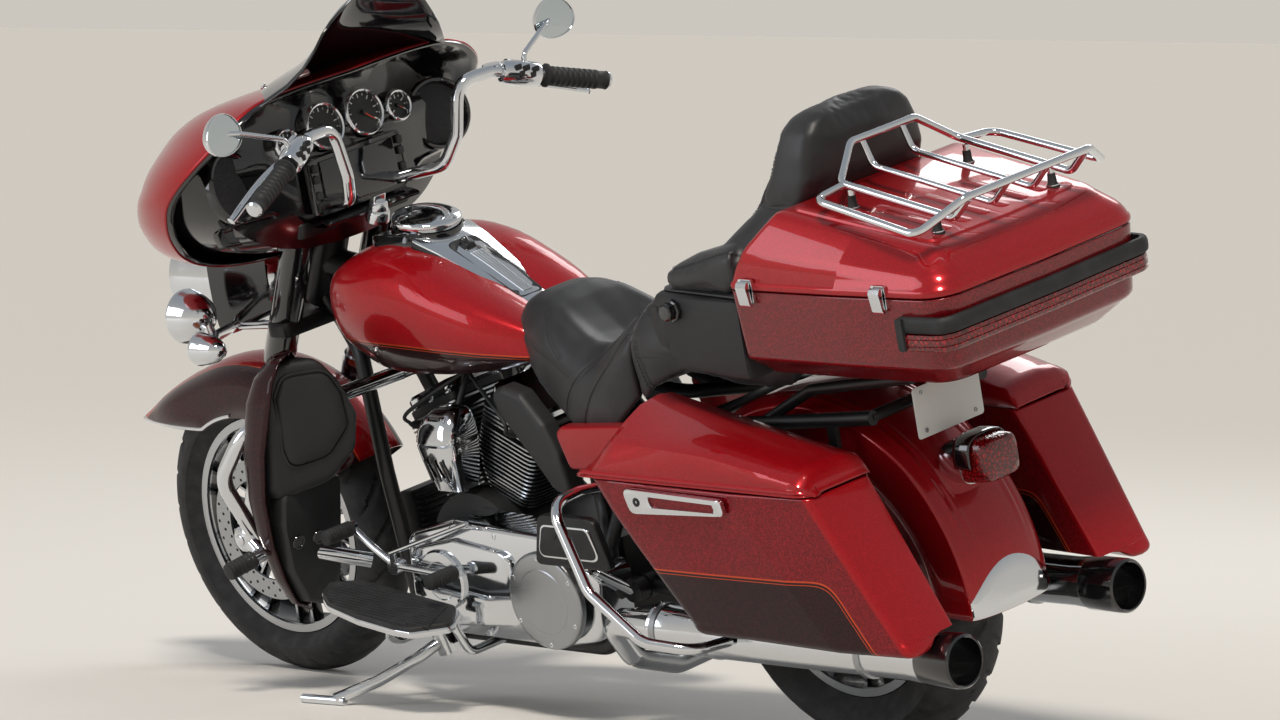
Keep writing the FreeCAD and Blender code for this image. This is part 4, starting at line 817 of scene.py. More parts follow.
def makeTrunkLatches():
    # over-centre latches on the left side: a hooked lever on a plate
    pieces = []
    for s, t in trunk["latches"]:
        rings = [[(s + w, t + out, z) for out, z in trunk["lever"]] for w in (-13, -11.5, 11.5, 13)]
        pieces.append(loft("lever", rings, "chromePlate", sharp=35))
        plate = roundCorners([(s - 17, 0, 958), (s + 17, 0, 958), (s + 17, 0, 1003), (s - 17, 0, 1003)],
                             [5] * 4, 3)
        rings = [[(p[0], t + out, p[2]) for p in plate] for out in (0, 6.5)]
        pieces.append(loft("latchPlate", rings, "chromePlate", sharp=35))
    return joinPieces("trunkLatches", pieces, "chassis")


def aroundTrunk(name, half, sunk, profile, finish, sharp, body=None):
    # bar along a line around the back; the profile holds how far out from a sunk line it is, and heights
    path = half + [(s, -t) for s, t in reversed(half[:-1])]
    line = roundCorners([Vector((s, t, 0)) for s, t in path], trunk["aroundRadii"], 6, closed=False)
    rings = []
    for i, p in enumerate(line):
        ahead = (line[min(i + 1, len(line) - 1)] - line[max(i - 1, 0)]).normalized()
        out = Vector((ahead.y, -ahead.x, 0))
        if out.dot(Vector((p.x + 300, p.y, 0))) < 0:
            out = -out
        rings.append([p + out * (run - sunk) + Vector((0, 0, z)) for run, z in profile])
    return loft(name, rings, finish, body, sharp=sharp)


def makeRail():
    # rubber rail across the back, rounded outside, with ends that come down around the lamp
    front, z0, z1 = trunk["railFront"], trunk["railLow"], trunk["railHigh"]
    profile = [(0, z0), (9.6, z0), (12.8, z0 + 3), (14, z0 + 10), (14, z1 - 9), (12, z1 - 3), (8.8, z1),
               (0, z1)]
    pieces = [aroundTrunk("railBar", trunk["railLine"], 14, profile, "blackRubber", 40)]
    drop = [(front + 2, 0, z1 - 1), (front + 2, 0, z0 - 33), (front - 14, 0, z0 - 33),
            (front - 14, 0, z1 - 1)]
    drop = roundCorners(drop, [4, 7, 5, 2], 4)
    for side in (-1, 1):
        rings = [[(p[0], side * out, p[2]) for p in drop] for out in (284, 294, 298, 299.5)]
        pieces.append(loft("railEnd", rings, "blackRubber", sharp=40))
    return joinPieces("trunkRail", pieces, "chassis")


def makeLampStrip():
    z0, z1 = trunk["railLow"] - 34, trunk["railLow"] - 1
    profile = [(0, z0 + 2), (9, z0), (12, z0 + 3), (12.5, z0 + 9), (11, z0 + 10), (12.5, z0 + 11),
               (12.5, z1 - 11), (11, z1 - 10), (12.5, z1 - 9), (12, z1 - 2), (0, z1)]
    return aroundTrunk("trunkLamp", trunk["lampLine"], 12, profile, "redAcrylicLens", 50, "chassis")


box = makeTrunk()
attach(box, "chassis")
standsFor(box, "trunk_box")
trunkLid = makeTrunkLid()
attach(trunkLid, "trunk_lid")
standsFor(trunkLid, "trunk_lid")
makeTrunkLatches()
standsFor(makeRail(), "trunk_bumper")
standsFor(makeLampStrip(), "trunk_lamp")
print("trunk ready")


# Fairing: the outer batwing, the black inner panel with its instruments, and the smoked screen
fairing = {
    "rim": [(1207, 0, 1281), (1207, 110, 1283), (1204, 200, 1282), (1200, 262, 1276), (1206, 318, 1254),
            (1226, 362, 1218), (1264, 390, 1180), (1310, 402, 1140), (1352, 401, 1098), (1388, 380, 1045),
            (1418, 345, 1000), (1440, 305, 965), (1452, 250, 935), (1450, 180, 915),
            (1440, 90, 905), (1436, 0, 903)],
    "nose": (1686, 0, 1040), "middle": (0, 1095),
    "gauges": [(1240, 54, 1180, 47), (1240, -54, 1180, 47), (1246, 152, 1168, 31), (1246, -152, 1168, 31)],
    "needle": "#c9481c", "wall": 5,
    "sections": (0, 0.02, 0.06, 0.12, 0.2, 0.3, 0.4, 0.5, 0.6, 0.7, 0.79, 0.87, 0.93, 0.97, 0.993, 1.0),
    # rings of the inner panel: scale about the middle and move forward, then scale and share of its depth
    "lip": ((0.992, 5), (0.986, -4), (0.974, -8), (0.958, -6), (0.945, 4), (0.935, 22), (0.915, 40)),
    "panel": ((0.89, 0.3), (0.85, 0.7), (0.80, 1.0), (0.66, 1.0), (0.5, 1.0), (0.32, 1.0), (0.16, 1.0),
              (0.02, 1.0)),
    "panelFront": 48, "panelMiddle": 1246,
    "display": [(1226, -100, 1020), (1226, 100, 1020), (1229, 100, 1117), (1229, -100, 1117)],
    "displayFrame": [(1240, -128, 1008), (1240, 128, 1008), (1244, 128, 1126), (1244, -128, 1126)],
    "buttons": (1030, 1052, 1085, 1107), "speaker": (1292, 284, 1112),
    "pocket": [(1325, 180, 972), (1345, 292, 985), (1318, 332, 1036), (1268, 190, 1040)],
    "shelf": ((1262, 1006), (1225, 1003), (1208, 999), (1203, 995), (1206, 991), (1250, 990)),
    "shelfHalf": (-128, -100, -50, 50, 100, 128), "ignition": (1192, 0, 992),
}
# Screen rows: height and place of the middle, half width, place and height of the ends
screen = {
    "rows": [
        (1262, 1374, 264, 1232, 1252), (1276, 1352, 262, 1212, 1262), (1292, 1318, 244, 1182, 1278),
        (1312, 1272, 212, 1148, 1302), (1336, 1228, 186, 1124, 1330), (1366, 1192, 161, 1110, 1362),
        (1392, 1172, 142, 1103, 1388), (1412, 1160, 116, 1101, 1408), (1424, 1152, 84, 1106, 1421),
        (1429, 1149, 50, 1120, 1427), (1430, 1148, 18, 1138, 1429.5)],
    "wall": 4, "screws": (-210, -105, 105, 210), "foot": (1366, 1271), "half": 264,
}


def rimLine():
    half = splinePath(fairing["rim"], 5)
    return half + [Vector((p[0], -p[1], p[2])) for p in reversed(half[1:-1])]


def shrinkRim(scale, move, line):
    t0, z0 = fairing["middle"]
    return [(p[0] + move, t0 + (p[1] - t0) * scale, z0 + (p[2] - z0) * scale) for p in line]


def panelDepth(t, z):
    # the panel is dished to the sides and leans away at its top and bottom
    side = min(1, abs(t) / 282) ** 2
    upper, lower = min(max((z - 1140) / 60, 0), 1), min(max((1010 - z) / 60, 0), 1)
    return fairing["panelMiddle"] + 52 * side + 34 * upper + 14 * lower


def makeOuterFairing():
    line = rimLine()
    nose = Vector(fairing["nose"])
    rings = []
    for f in fairing["sections"]:
        ring = []
        for p in line:
            down = min(max((1120 - p[2]) / 200, 0), 1)
            n = 1.75 + 0.55 * down
            k = max(1 - f ** n, 0.0004) ** (1 / n)
            ring.append((p[0] + (nose[0] - p[0]) * f, p[1] * k, nose[2] + (p[2] - nose[2]) * k))
        rings.append(ring)
    shell = loft("outerFairing", rings, "candyRedPaint", "steering", caps=(False, True), sharp=50)
    return thicken(shell, fairing["wall"])


def makeInnerFairing():
    line = rimLine()
    rings = [shrinkRim(scale, move, line) for scale, move in fairing["lip"]]
    for scale, share in fairing["panel"]:
        ring = shrinkRim(scale, fairing["panelFront"], line)
        rings.append([(s + (panelDepth(t, z) - s) * share, t, z) for s, t, z in ring])
    return loft("innerPanel", rings, "glossBlackAbs", caps=(False, True), sharp=50)


def makeGauge(s, t, z, r):
    # chrome bezel, dark face with raised ticks and a needle; the centre stands run millimetres off its back
    back, out = Vector((s + 42, t, z - 10)), Vector((-1, 0, 0.24)).normalized()
    run, side = 44, Vector((0, 1, 0))
    up = side.cross(out)
    if up[2] < 0:
        up = -up
    bezel = [(0, r + 3), (run - 6, r + 3), (run, r + 1), (run + 2, r - 2), (run, r - 5), (run - 8, r - 7)]
    pieces = [turned("bezel", bezel, back, back + out, "chromePlate", sides=48, caps=(False, False)),
              turned("face", [(run - 9, r - 6.5), (run - 9, 0)], back, back + out, "dialFace", sides=48,
                     caps=(False, False))]
    count = 13 if r > 40 else 9
    sixFaces = [(0, 1, 2, 3), (4, 5, 6, 7), (0, 1, 5, 4), (1, 2, 6, 5), (2, 3, 7, 6), (3, 0, 4, 7)]
    for k in range(count):
        a = math.radians(-125 + 250 * k / (count - 1))
        radial = side * math.sin(a) + up * math.cos(a)
        across, centre = out.cross(radial), back + out * (run - 8.5)
        inner, outer, half = (r - 17, r - 9, 1.1) if k % 2 == 0 else (r - 13, r - 9, 0.7)
        quad = [centre + radial * inner - across * half, centre + radial * inner + across * half,
                centre + radial * outer + across * half, centre + radial * outer - across * half]
        pieces.append(newPiece("tick", quad + [q + out * 0.8 for q in quad], sixFaces, "plateEnamel"))
    radial, pivot = (side * -0.75 + up * -0.66).normalized(), back + out * (run - 6)
    pieces.append(sweep("needle", [pivot, pivot + radial * (r - 14)], [1.6, 0.6], "needlePaint", sides=6))
    hub = [(run - 9, 5), (run - 3, 4), (run - 2, 0)]
    pieces.append(turned("hub", hub, back, back + out, "blackPowderCoat", sides=16))
    return pieces


def slab(name, outline, out, depth, finish, edge=2.0, radius=10, body=None, recess=None):
    # raised panel on a surface: outline points, the direction that it faces, its thickness and rounded edge
    out = Vector(out).normalized()
    ring = roundCorners([Vector(p) for p in outline], [radius] * len(outline), 5)

    def grown(by, lift):
        return [p + out * lift for p in shrunk(ring, by)]
    rings = [grown(0, 0), grown(0, depth - edge), grown(edge * 0.3, depth - edge * 0.3), grown(edge, depth)]
    if recess:
        rings += [grown(recess[0], depth), grown(recess[0] + 1, depth - recess[1])]
    return loft(name, rings, finish, body, sharp=35)


def makeDash():
    pieces = [makeInnerFairing()]
    for gauge in fairing["gauges"]:
        pieces += makeGauge(*gauge)
    back = (-1, 0, 0.1)
    pieces.append(slab("displayFrame", fairing["displayFrame"], back, 16, "glossBlackAbs", 4, 18,
                       recess=(8, 2)))
    pieces.append(slab("display", fairing["display"], back, 3, "displayGlass", 1, 5))
    for side in (-1, 1):
        for z in fairing["buttons"]:
            outline = [(1226, side * t, z + up) for t, up in ((108, -8), (122, -8), (122, 8), (108, 8))]
            pieces.append(slab("button", outline, back, 5, "texturedBlackPlastic", 1.5, 3))
        s, t, z = fairing["speaker"]
        hub, out = Vector((s, side * t, z)), Vector((-1, side * -0.22, 0.2)).normalized()
        for name, profile, finish in (
                ("speakerRing", [(0, 74), (12, 74), (16, 71), (17, 66), (13, 62), (7, 60)], "glossBlackAbs"),
                ("speakerGrille", [(7, 61), (11, 40), (13, 14), (13.5, 0)], "speakerMesh")):
            pieces.append(turned(name, profile, hub, hub + out, finish, sides=48, caps=(False, False)))
        pocket = [(s, side * t, z) for s, t, z in fairing["pocket"]]
        pieces.append(slab("pocketDoor", pocket, (-1, side * -0.1, 0.3), 14, "glossBlackAbs", 4, 22,
                           recess=(14, 2)))
    for t in (55, 75, 95):
        outline = [(1222, t, 986), (1222, t + 15, 986), (1206, t + 15, 992), (1206, t, 992)]
        pieces.append(slab("switchKey", outline, (-0.3, 0, 1), 8, "texturedBlackPlastic", 2, 3))
    shelf = [[(s, t, z) for t in fairing["shelfHalf"]] for s, z in fairing["shelf"]]
    pieces.append(loft("dashShelf", shelf, "glossBlackAbs", closed=False, sharp=45))
    knob, up = Vector(fairing["ignition"]), Vector((-0.35, 0, 1))
    profile = [(-20, 24), (0, 24), (4, 22), (6, 20), (8, 20), (20, 18), (24, 15), (24, 0)]
    pieces.append(turned("ignitionKnob", profile, knob, knob + up, "chromePlate", sides=32))
    grip = [(1197, -16, 1008), (1197, 16, 1008), (1180, 16, 1012), (1180, -16, 1012)]
    pieces.append(slab("ignitionGrip", grip, up, 16, "chromePlate", 3, 5))
    return joinPieces("innerFairing", pieces, "steering")


def makeScreen():
    rings = []
    for zMiddle, sMiddle, half, sEnd, zEnd in screen["rows"]:
        shares = [u / 12 for u in range(-12, 13)]
        rings.append([(sMiddle - (sMiddle - sEnd) * u ** 2, half * u, zMiddle + (zEnd - zMiddle) * u ** 2)
                      for u in shares])
    pieces = [thicken(loft("screenSheet", rings, "smokedPolycarbonate", closed=False, sharp=50),
                      screen["wall"], 0)]
    footS, footZ = screen["foot"]
    for t in screen["screws"]:
        u = t / screen["half"]
        pieces.append(bolt("screw", (footS - 136 * u * u, t, footZ - 8 * u * u), (0.75, t / 300, 0.6), 7))
    return joinPieces("windshieldSheet", pieces, "steering")


startMaterial("needlePaint", fairing["needle"], 0.0, 0.5)
tree, shader = startMaterial("speakerMesh", "#141518", 0.3, 0.5)
holes = addNode(tree, "TexVoronoi", {"Vector": millimetres(tree), "Scale": 1 / 3.2}).outputs[0]
bumpUp(tree, shader, holes, 1.2, 1.0)
tree.links.new(blendColours(tree, ramp(tree, holes, 0.1, 0.45), "#050506", "#2c2e31"),
               shader.inputs["Base Color"])
standsFor(makeOuterFairing(), "outer_fairing")
standsFor(makeDash(), "inner_fairing")
standsFor(makeScreen(), "windshield")
print("fairing ready")

# Handlebar with its grips, switch housings and levers, and the mirrors
bar = {
    "route": [(1295, 0, 1022), (1289, 75, 1022), (1118, 130, 1052), (1090, 150, 1110), (1086, 172, 1214),
              (1068, 250, 1216), (990, 482, 1138)],
    "tube": 13, "bends": [0, 40, 50, 50, 50, 60, 0],
    "gripStart": (1030, 352, 1182), "gripEnd": (990, 482, 1138), "ribs": 9, "ribPitch": 12,
    "housingStart": (1062, 268, 1211), "housingEnd": (1032, 347, 1184), "clamp": (1060, 300, 1208),
    "keys": ((24, 20), (42, 20), (62, 19), (30, -6), (54, -6)), "key": 7,
    "lever": [(1078, 296, 1192), (1086, 318, 1180), (1084, 372, 1160), (1068, 440, 1134), (1058, 478, 1118),
              (1056, 492, 1112)],
    "reservoir": (1076, 262, 1204), "clutchPivot": (1080, 290, 1188), "riser": (1296, 42, 950),
}
mirror = {"stem": [(1044, 318, 1196), (1048, 326, 1232), (1074, 420, 1268), (1084, 440, 1272)],
          "hub": (1084, 452, 1274), "wide": 50, "tall": 42, "sides": 40,
          "shell": ((0.05, -26), (0.35, -24.5), (0.62, -20), (0.84, -12), (0.96, -3), (1, 5), (0.985, 8),
                    (0.95, 8), (0.93, 5)), "glass": ((0.935, 5.5), (0.5, 6.5), (0.02, 6.8)),}


def onSide(side, point):
    return Vector((point[0], side * point[1], point[2]))


def makeGrip(side):
    # ribbed rubber grip and its chrome end
    a, b = onSide(side, bar["gripStart"]), onSide(side, bar["gripEnd"])
    long = (b - a).length
    profile = [(0, 20), (3, 24), (7, 24), (9, 19)]
    for k in range(bar["ribs"]):
        x = 14 + k * bar["ribPitch"]
        profile += [(x, 18), (x + 2, 19.6), (x + 8, 19.6), (x + 10, 18)]
    profile += [(long - 5, 18), (long - 3, 19), (long - 1, 18)]
    end = [(long - 1, 17), (long + 3, 17), (long + 7, 13), (long + 8, 0)]
    return [turned("grip", profile, a, b, "blackRubber", sides=28, sharp=50),
            turned("barEnd", end, a, b, "chromePlate", sides=28)]


def makeSwitches(side):
    start, end = onSide(side, bar["housingStart"]), onSide(side, bar["housingEnd"])
    profile = [(0, 15), (3, 21), (12, 24), (50, 26), (78, 25), (84, 22), (86, 16)]
    pieces = [turned("switchHousing", profile, start, end, "chromePlate", sides=24, sharp=35)]
    w = bar["key"]
    for run, up in bar["keys"]:
        spot = start + (end - start).normalized() * run + Vector((-20, 0, up * 0.5))
        outline = [spot + Vector((0, t, z)) for t, z in ((-w, -6), (w, -6), (w, 6), (-w, 6))]
        pieces.append(slab("switchKey", outline, (-1, 0, 0.3), 9, "blackRubber", 2, 3))
    return pieces


def makeLever(side):
    along = (onSide(side, bar["gripEnd"]) - onSide(side, bar["gripStart"])).normalized()
    clamp = onSide(side, bar["clamp"])
    lever = splinePath([onSide(side, p) for p in bar["lever"]], 6)
    widths = [11 - 4.2 * i / (len(lever) - 1) for i in range(len(lever))]
    widths[-3:] = [7, 9, 5]
    name, at, profile, sides = (
        ("reservoir", bar["reservoir"], [(0, 20), (22, 20), (24, 18), (25, 0)], 24) if side < 0 else
        ("clutchPivot", bar["clutchPivot"], [(0, 13), (14, 13), (16, 10), (16, 0)], 20))
    at = onSide(side, at)
    return [turned("leverClamp", [(-16, 10), (-16, 19), (16, 19), (16, 10)], clamp, clamp + along,
                   "chromePlate", sides=20), sweep("lever", lever, widths, "chromePlate", sides=12,
                                                   flat=0.62, sharp=60), turned(name, profile, at,
                                                                                at + Vector((0, 0, 1)),
                                                                                "chromePlate", sides=sides)]


def makeHandlebar():
    left = smoothPath(bar["route"], bar["bends"], 8)
    whole = [Vector((p[0], -p[1], p[2])) for p in reversed(left[1:])] + left
    pieces = [sweep("barTube", whole, bar["tube"], "chromePlate", sides=20, sharp=60)]
    for side in (-1, 1):
        pieces += makeGrip(side) + makeSwitches(side) + makeLever(side)
        foot = onSide(side, bar["riser"])
        profile = [(0, 20), (6, 18), (56, 17), (62, 22), (84, 22), (88, 18)]
        pieces.append(turned("riser", profile, foot, foot + Vector((0, 0, 1)), "chromePlate", sides=24))
    return joinPieces("handlebarBar", pieces, "steering")


def makeMirrors():
    # teardrop chrome shells on bent stems, the glass set in a raised edge
    pieces = []
    for side in (-1, 1):
        stem = smoothPath([onSide(side, p) for p in mirror["stem"]], 24, 6)
        pieces.append(sweep("mirrorStem", stem, 5.5, "chromePlate", sides=14, sharp=60))
        hub, out = onSide(side, mirror["hub"]), Vector((-1, side * -0.12, 0.06)).normalized()
        across = Vector((0, 0, 1)).cross(out).normalized()
        up = out.cross(across).normalized()
        if up[2] < 0:
            up = -up

        def ring(scale, run):
            made = []
            for k in range(mirror["sides"]):
                a = 2 * math.pi * k / mirror["sides"]
                x, y = math.cos(a), math.sin(a)
                wide = mirror["wide"] * (1 - 0.16 * y)
                made.append(hub + (across * x * wide + up * y * mirror["tall"]) * scale + out * run)
            return made
        shell, glass = [[ring(scale, run) for scale, run in mirror[part]] for part in ("shell", "glass")]
        pieces.append(loft("mirrorShell", shell, "chromePlate", caps=(True, False), sharp=45))
        pieces.append(loft("mirrorGlass", glass, "mirrorGlass", caps=(False, True), sharp=60))
    return joinPieces("mirrorPair", pieces, "steering")


standsFor(makeHandlebar(), "handlebar")
standsFor(makeMirrors(), "mirrors")
print("handlebar ready")


# Headlamp, passing lamps and bullet signals. Ahead is measured from the line under the lower yoke.
lamps = {"base": 1420.1, "level": 775, "headlamp": (73, 838), "headRadius": 96, "headDeep": 262,
         "nacelle": ((92, 30, 62), (150, 58, 86), (215, 78, 92)),
         "bar": ((58, 250, -15), (115, 190, -9), (180, 90, -23), (180, -90, -23), (115, -190, -9),
                 (58, -250, -15)),}


def lampAt(name, spot, radius, deep, lens="clearLens"):
    # turned chrome shell that opens forward, with a bezel, a reflector and a domed lens
    spot, r = Vector(spot), radius
    tip = spot + Vector((1, 0, 0))
    shell = [(0, 0), (deep * 0.02, r * 0.2), (deep * 0.12, r * 0.48), (deep * 0.35, r * 0.76),
             (deep * 0.65, r * 0.93), (deep * 0.9, r), (deep * 0.94, r * 1.03), (deep, r * 1.03),
             (deep + r * 0.06, r * 0.97), (deep + r * 0.05, r * 0.9), (deep * 0.93, r * 0.86)]
    mirrored = [(deep * 0.93, r * 0.87), (deep * 0.7, r * 0.6), (deep * 0.6, r * 0.2), (deep * 0.6, 0)]
    dome = [(deep * 0.95, r * 0.885), (deep + r * 0.06, r * 0.7), (deep + r * 0.13, r * 0.35),
            (deep + r * 0.15, 0)]
    return [turned(name + part, profile, spot, tip, finish, sides=sides, caps=(False, False)) for part,
            profile, finish, sides in (("Shell", shell, "chromePlate", 48),
                                       ("Reflector", mirrored, "mirrorGlass", 32),
                                       ("Lens", dome, lens, 48))]


def makeHeadlamp():
    base, (ahead, height) = lamps["base"], lamps["headlamp"]
    pieces = lampAt("headlamp", (base + ahead, 0, height), lamps["headRadius"], lamps["headDeep"])
    turns = [math.radians(-80 + 16 * k) for k in range(11)]
    for side in (-1, 1):
        rings = [[(base + s, side * (t + 8 + 10 * math.cos(a)), height + r * math.sin(a)) for a in turns]
                 for s, t, r in lamps["nacelle"]]
        pieces.append(loft("nacelleCover", rings, "glossBlackAbs", closed=False, sharp=50))
    pieces.append(sweep("nacelleStay", [(base + 20, 0, 780), (base + 120, 0, 815)], 12, "blackPowderCoat"))
    return joinPieces("headlampNacelle", pieces, "steering")


def makeLampBracket():
    def near(ahead, t, up):
        return (lamps["base"] + ahead, t, lamps["level"] + up)
    path = smoothPath([near(*p) for p in lamps["bar"]], 40, 8)
    pieces = [sweep("lampBar", path, 10, "chromePlate", sides=16, flat=1.5, sharp=60)]
    for side in (-1, 1):
        pieces += lampAt("passingLamp", near(118, side * 190, 31), 54, 72)
        post = [(0, 13), (30, 11), (42, 16)]
        pieces.append(turned("lampPost", post, near(124, side * 190, -9), near(135, side * 190, 31),
                             "chromePlate", sides=20))
        pieces += lampAt("turnSignal", near(20, side * 250, -15), 33, 72, "amberLens")
        arm = [near(20, side * 70, -11), near(180, side * 70, -23)]
        pieces.append(sweep("lampArm", arm, 9, "chromePlate", sides=14))
    return joinPieces("lampBar", pieces, "steering")


standsFor(makeHeadlamp(), "headlamp")
standsFor(makeLampBracket(), "lamp_bracket")
print("lamps ready")


# Upholstery: a smooth padded form with sunk seams and a row of stitches along each. Millimetres.
sewing = {
    "voxel": 5.5, "sink": 2.4, "reach": 9, "beside": 4.5, "pitch": 7.8,
    "stitchHalf": 2.6, "stitchWide": 0.7, "stitchHigh": 0.9, "stitchLow": -0.6, "stitchLift": 0.2,
}
cushion = {"pressure": 4, "quality": 4, "frames": 14}


def sectionedPad(name, stations, underside):
    # each station: s, height of the middle, then crown, shoulder, side and skirt of the left half
    rings = []
    for s, zMiddle, zCrown, shoulder, zShoulder, wide, zWide, skirt, zSkirt in stations:
        upper = splinePath([(0, 0, zMiddle), (0, 0.55 * shoulder, zCrown), (0, shoulder, zShoulder),
                            (0, wide, zWide), (0, skirt, zSkirt)], 5)
        half = [(p[1], p[2]) for p in upper]
        half += [(skirt - 5, zSkirt - 5), (skirt - 11, zSkirt), (skirt - 12, max(zSkirt, underside(s))),
                 (0.5 * skirt, underside(s))]
        ring = half + [(0, underside(s))] + [(-t, z) for t, z in reversed(half[1:])]
        rings.append([(s, t, z) for t, z in ring])
    return loft(name, rings, "seatLeather", sharp=60)


def boxedPad(name, levels):
    # pad built from level outlines: height, front, rear, half width, corner radii in front and behind
    rings = []
    for z, front, rear, half, frontRound, rearRound, bow in levels:
        corners = [(front, -half), (front + bow, 0), (front, half), (rear, half), (rear, -half)]
        rings.append(roundCorners([(s, t, z) for s, t in corners],
                                  [frontRound, 200, frontRound, rearRound, rearRound], 6))
    return loft(name, rings, "seatLeather", sharp=60)


def shapedMesh(piece):
    # the piece's mesh with its modifiers applied; the piece itself is removed
    bpy.context.view_layer.update()
    mesh = bpy.data.meshes.new_from_object(piece.evaluated_get(bpy.context.evaluated_depsgraph_get()))
    bpy.data.objects.remove(piece)
    return mesh


def linked(name, mesh, finish):
    mesh.materials.clear()
    mesh.materials.append(materials[finish])
    made = bpy.data.objects.new(name, mesh)
    bpy.context.scene.collection.objects.link(made)
    return made


def sinkSeams(form, lines):
    # the cover is drawn in along every seam
    near = KDTree(max(sum(len(line) for line in lines) * 4, 1))
    count, reach = 0, sewing["reach"] / 1000
    for line in lines:
        for (a, _), (b, _) in zip(line, line[1:]):
            for u in (0, 0.25, 0.5, 0.75):
                near.insert(a.lerp(b, u), count)
                count += 1
    near.balance()
    for vertex in form.verts:
        distance = near.find(vertex.co)[2]
        if distance < reach:
            vertex.co -= vertex.normal * (sewing["sink"] / 1000) * (1 - distance / reach) ** 1.5


def addStitch(stitches, middle, along, across, up):
    # one short prism of thread
    x0, y0 = sewing["stitchHalf"] / 1000, sewing["stitchWide"] / 1000
    high, low = sewing["stitchHigh"] / 1000, sewing["stitchLow"] / 1000
    corners = [stitches.verts.new(middle + along * x + across * y + up * h)
               for x in (-x0, x0) for y, h in ((-y0, low), (0, high), (y0, low))]
    for face in ((0, 1, 4, 3), (1, 2, 5, 4), (2, 0, 3, 5), (0, 2, 1), (3, 4, 5)):
        stitches.faces.new([corners[q] for q in face])


def sewLines(name, lines):
    # a row of stitches beside every seam
    stitches = bmesh.new()
    for line in lines:
        travelled, due = 0.0, 0.0
        for (a, up), (b, _) in zip(line, line[1:]):
            step = (b - a).length
            while due < travelled + step and step > 1e-6:
                along = (b - a).normalized()
                across = along.cross(up).normalized()
                spot = a + along * (due - travelled)
                middle = spot + across * (sewing["beside"] / 1000) + up * (sewing["stitchLift"] / 1000)
                addStitch(stitches, middle, along, across, up)
                due += sewing["pitch"] / 1000
            travelled += step
    mesh = bpy.data.meshes.new(name)
    stitches.to_mesh(mesh)
    stitches.free()
    return linked(name, mesh, "seatThread")


def upholster(name, pieces, seams, body, rounds, swell=0):
    whole = joinPieces(name + "Form", pieces)
    modify(whole, "REMESH", mode="VOXEL", voxel_size=sewing["voxel"] / 1000)
    modify(whole, "SMOOTH", factor=0.5, iterations=rounds)
    pad = linked(name + "Pad", shapedMesh(whole), "seatLeather")
    if swell:
        inflate(pad, swell)
    form = bmesh.new()
    form.from_mesh(pad.data)
    surface = BVHTree.FromBMesh(form)
    lines = []
    for seam in seams:
        found = [surface.find_nearest(place(*p)) for p in splinePath(seam, 14)]
        lines.append([(spot.copy(), normal.copy()) for spot, normal, _, _ in found])
    sinkSeams(form, lines)
    form.to_mesh(pad.data)
    form.free()
    pad.data.shade_smooth()
    return joinPieces(name, [pad, sewLines(name + "Thread", lines)], body)


def inflate(pad, cap):
    # short cloth run with air pressure: the cover swells between its edges, at most by the cap
    before = [v.co.copy() for v in pad.data.vertices]
    cloth = pad.modifiers.new("cloth", "CLOTH")
    cloth.settings.use_pressure = True
    cloth.settings.uniform_pressure_force = cushion["pressure"]
    cloth.settings.effector_weights.gravity = 0
    cloth.settings.quality = cushion["quality"]
    cloth.point_cache.frame_end = cushion["frames"] + 2
    scene = bpy.context.scene
    for step in range(1, cushion["frames"] + 1):
        scene.frame_set(step)
    shaped = bpy.data.meshes.new_from_object(pad.evaluated_get(bpy.context.evaluated_depsgraph_get()))
    after = [v.co.copy() for v in shaped.vertices]
    pad.modifiers.clear()
    for vertex, old, new in zip(pad.data.vertices, before, after):
        move = new - old
        if move.length > cap / 1000:
            move = move.normalized() * (cap / 1000)
        vertex.co = old + move
    scene.frame_set(1)


# Stations of a seat: place, height of the middle and of the crown, then half width and height of the
# shoulder, of the widest line and of the skirt
riderStations = [
    (745, 828, 827, 40, 820, 58, 806, 54, 794), (738, 846, 844, 62, 834, 84, 810, 82, 776),
    (722, 859, 857, 76, 846, 102, 810, 100, 752), (700, 867, 865, 86, 850, 116, 804, 112, 734),
    (660, 868, 865, 96, 848, 134, 790, 132, 706), (620, 850, 850, 104, 840, 148, 780, 146, 684),
    (580, 814, 820, 110, 822, 158, 762, 158, 662), (540, 784, 792, 114, 802, 166, 742, 168, 636),
    (500, 769, 778, 118, 788, 172, 728, 174, 614), (460, 767, 778, 120, 790, 175, 728, 175, 616),
    (420, 783, 798, 122, 812, 177, 750, 176, 642), (390, 810, 826, 122, 838, 176, 774, 172, 670),
    (370, 840, 850, 119, 854, 172, 794, 168, 692), (353, 862, 868, 112, 862, 166, 804, 160, 708),
]
pillionStations = [(352, 866, 872, 114, 866, 168, 806, 160, 708),
                   (332, 880, 882, 128, 872, 178, 808, 172, 706),
                   (290, 885, 885, 135, 877, 184, 808, 179, 732),
                   (240, 881, 881, 139, 873, 186, 806, 181, 758),
                   (205, 877, 878, 140, 870, 185, 805, 180, 768),
                   (160, 873, 874, 141, 867, 184, 804, 179, 766),
                   (60, 869, 870, 141, 863, 182, 802, 177, 752),
                   (-20, 866, 866, 137, 859, 178, 800, 173, 748),
                   (-70, 860, 860, 130, 852, 170, 800, 163, 754),
                   (-79, 852, 851, 118, 842, 156, 800, 148, 764),]


def bothWays(lines):
    # each seam on the right and on the left
    return [[(s, side * t, z) for s, t, z in line] for side in (-1, 1) for line in lines]


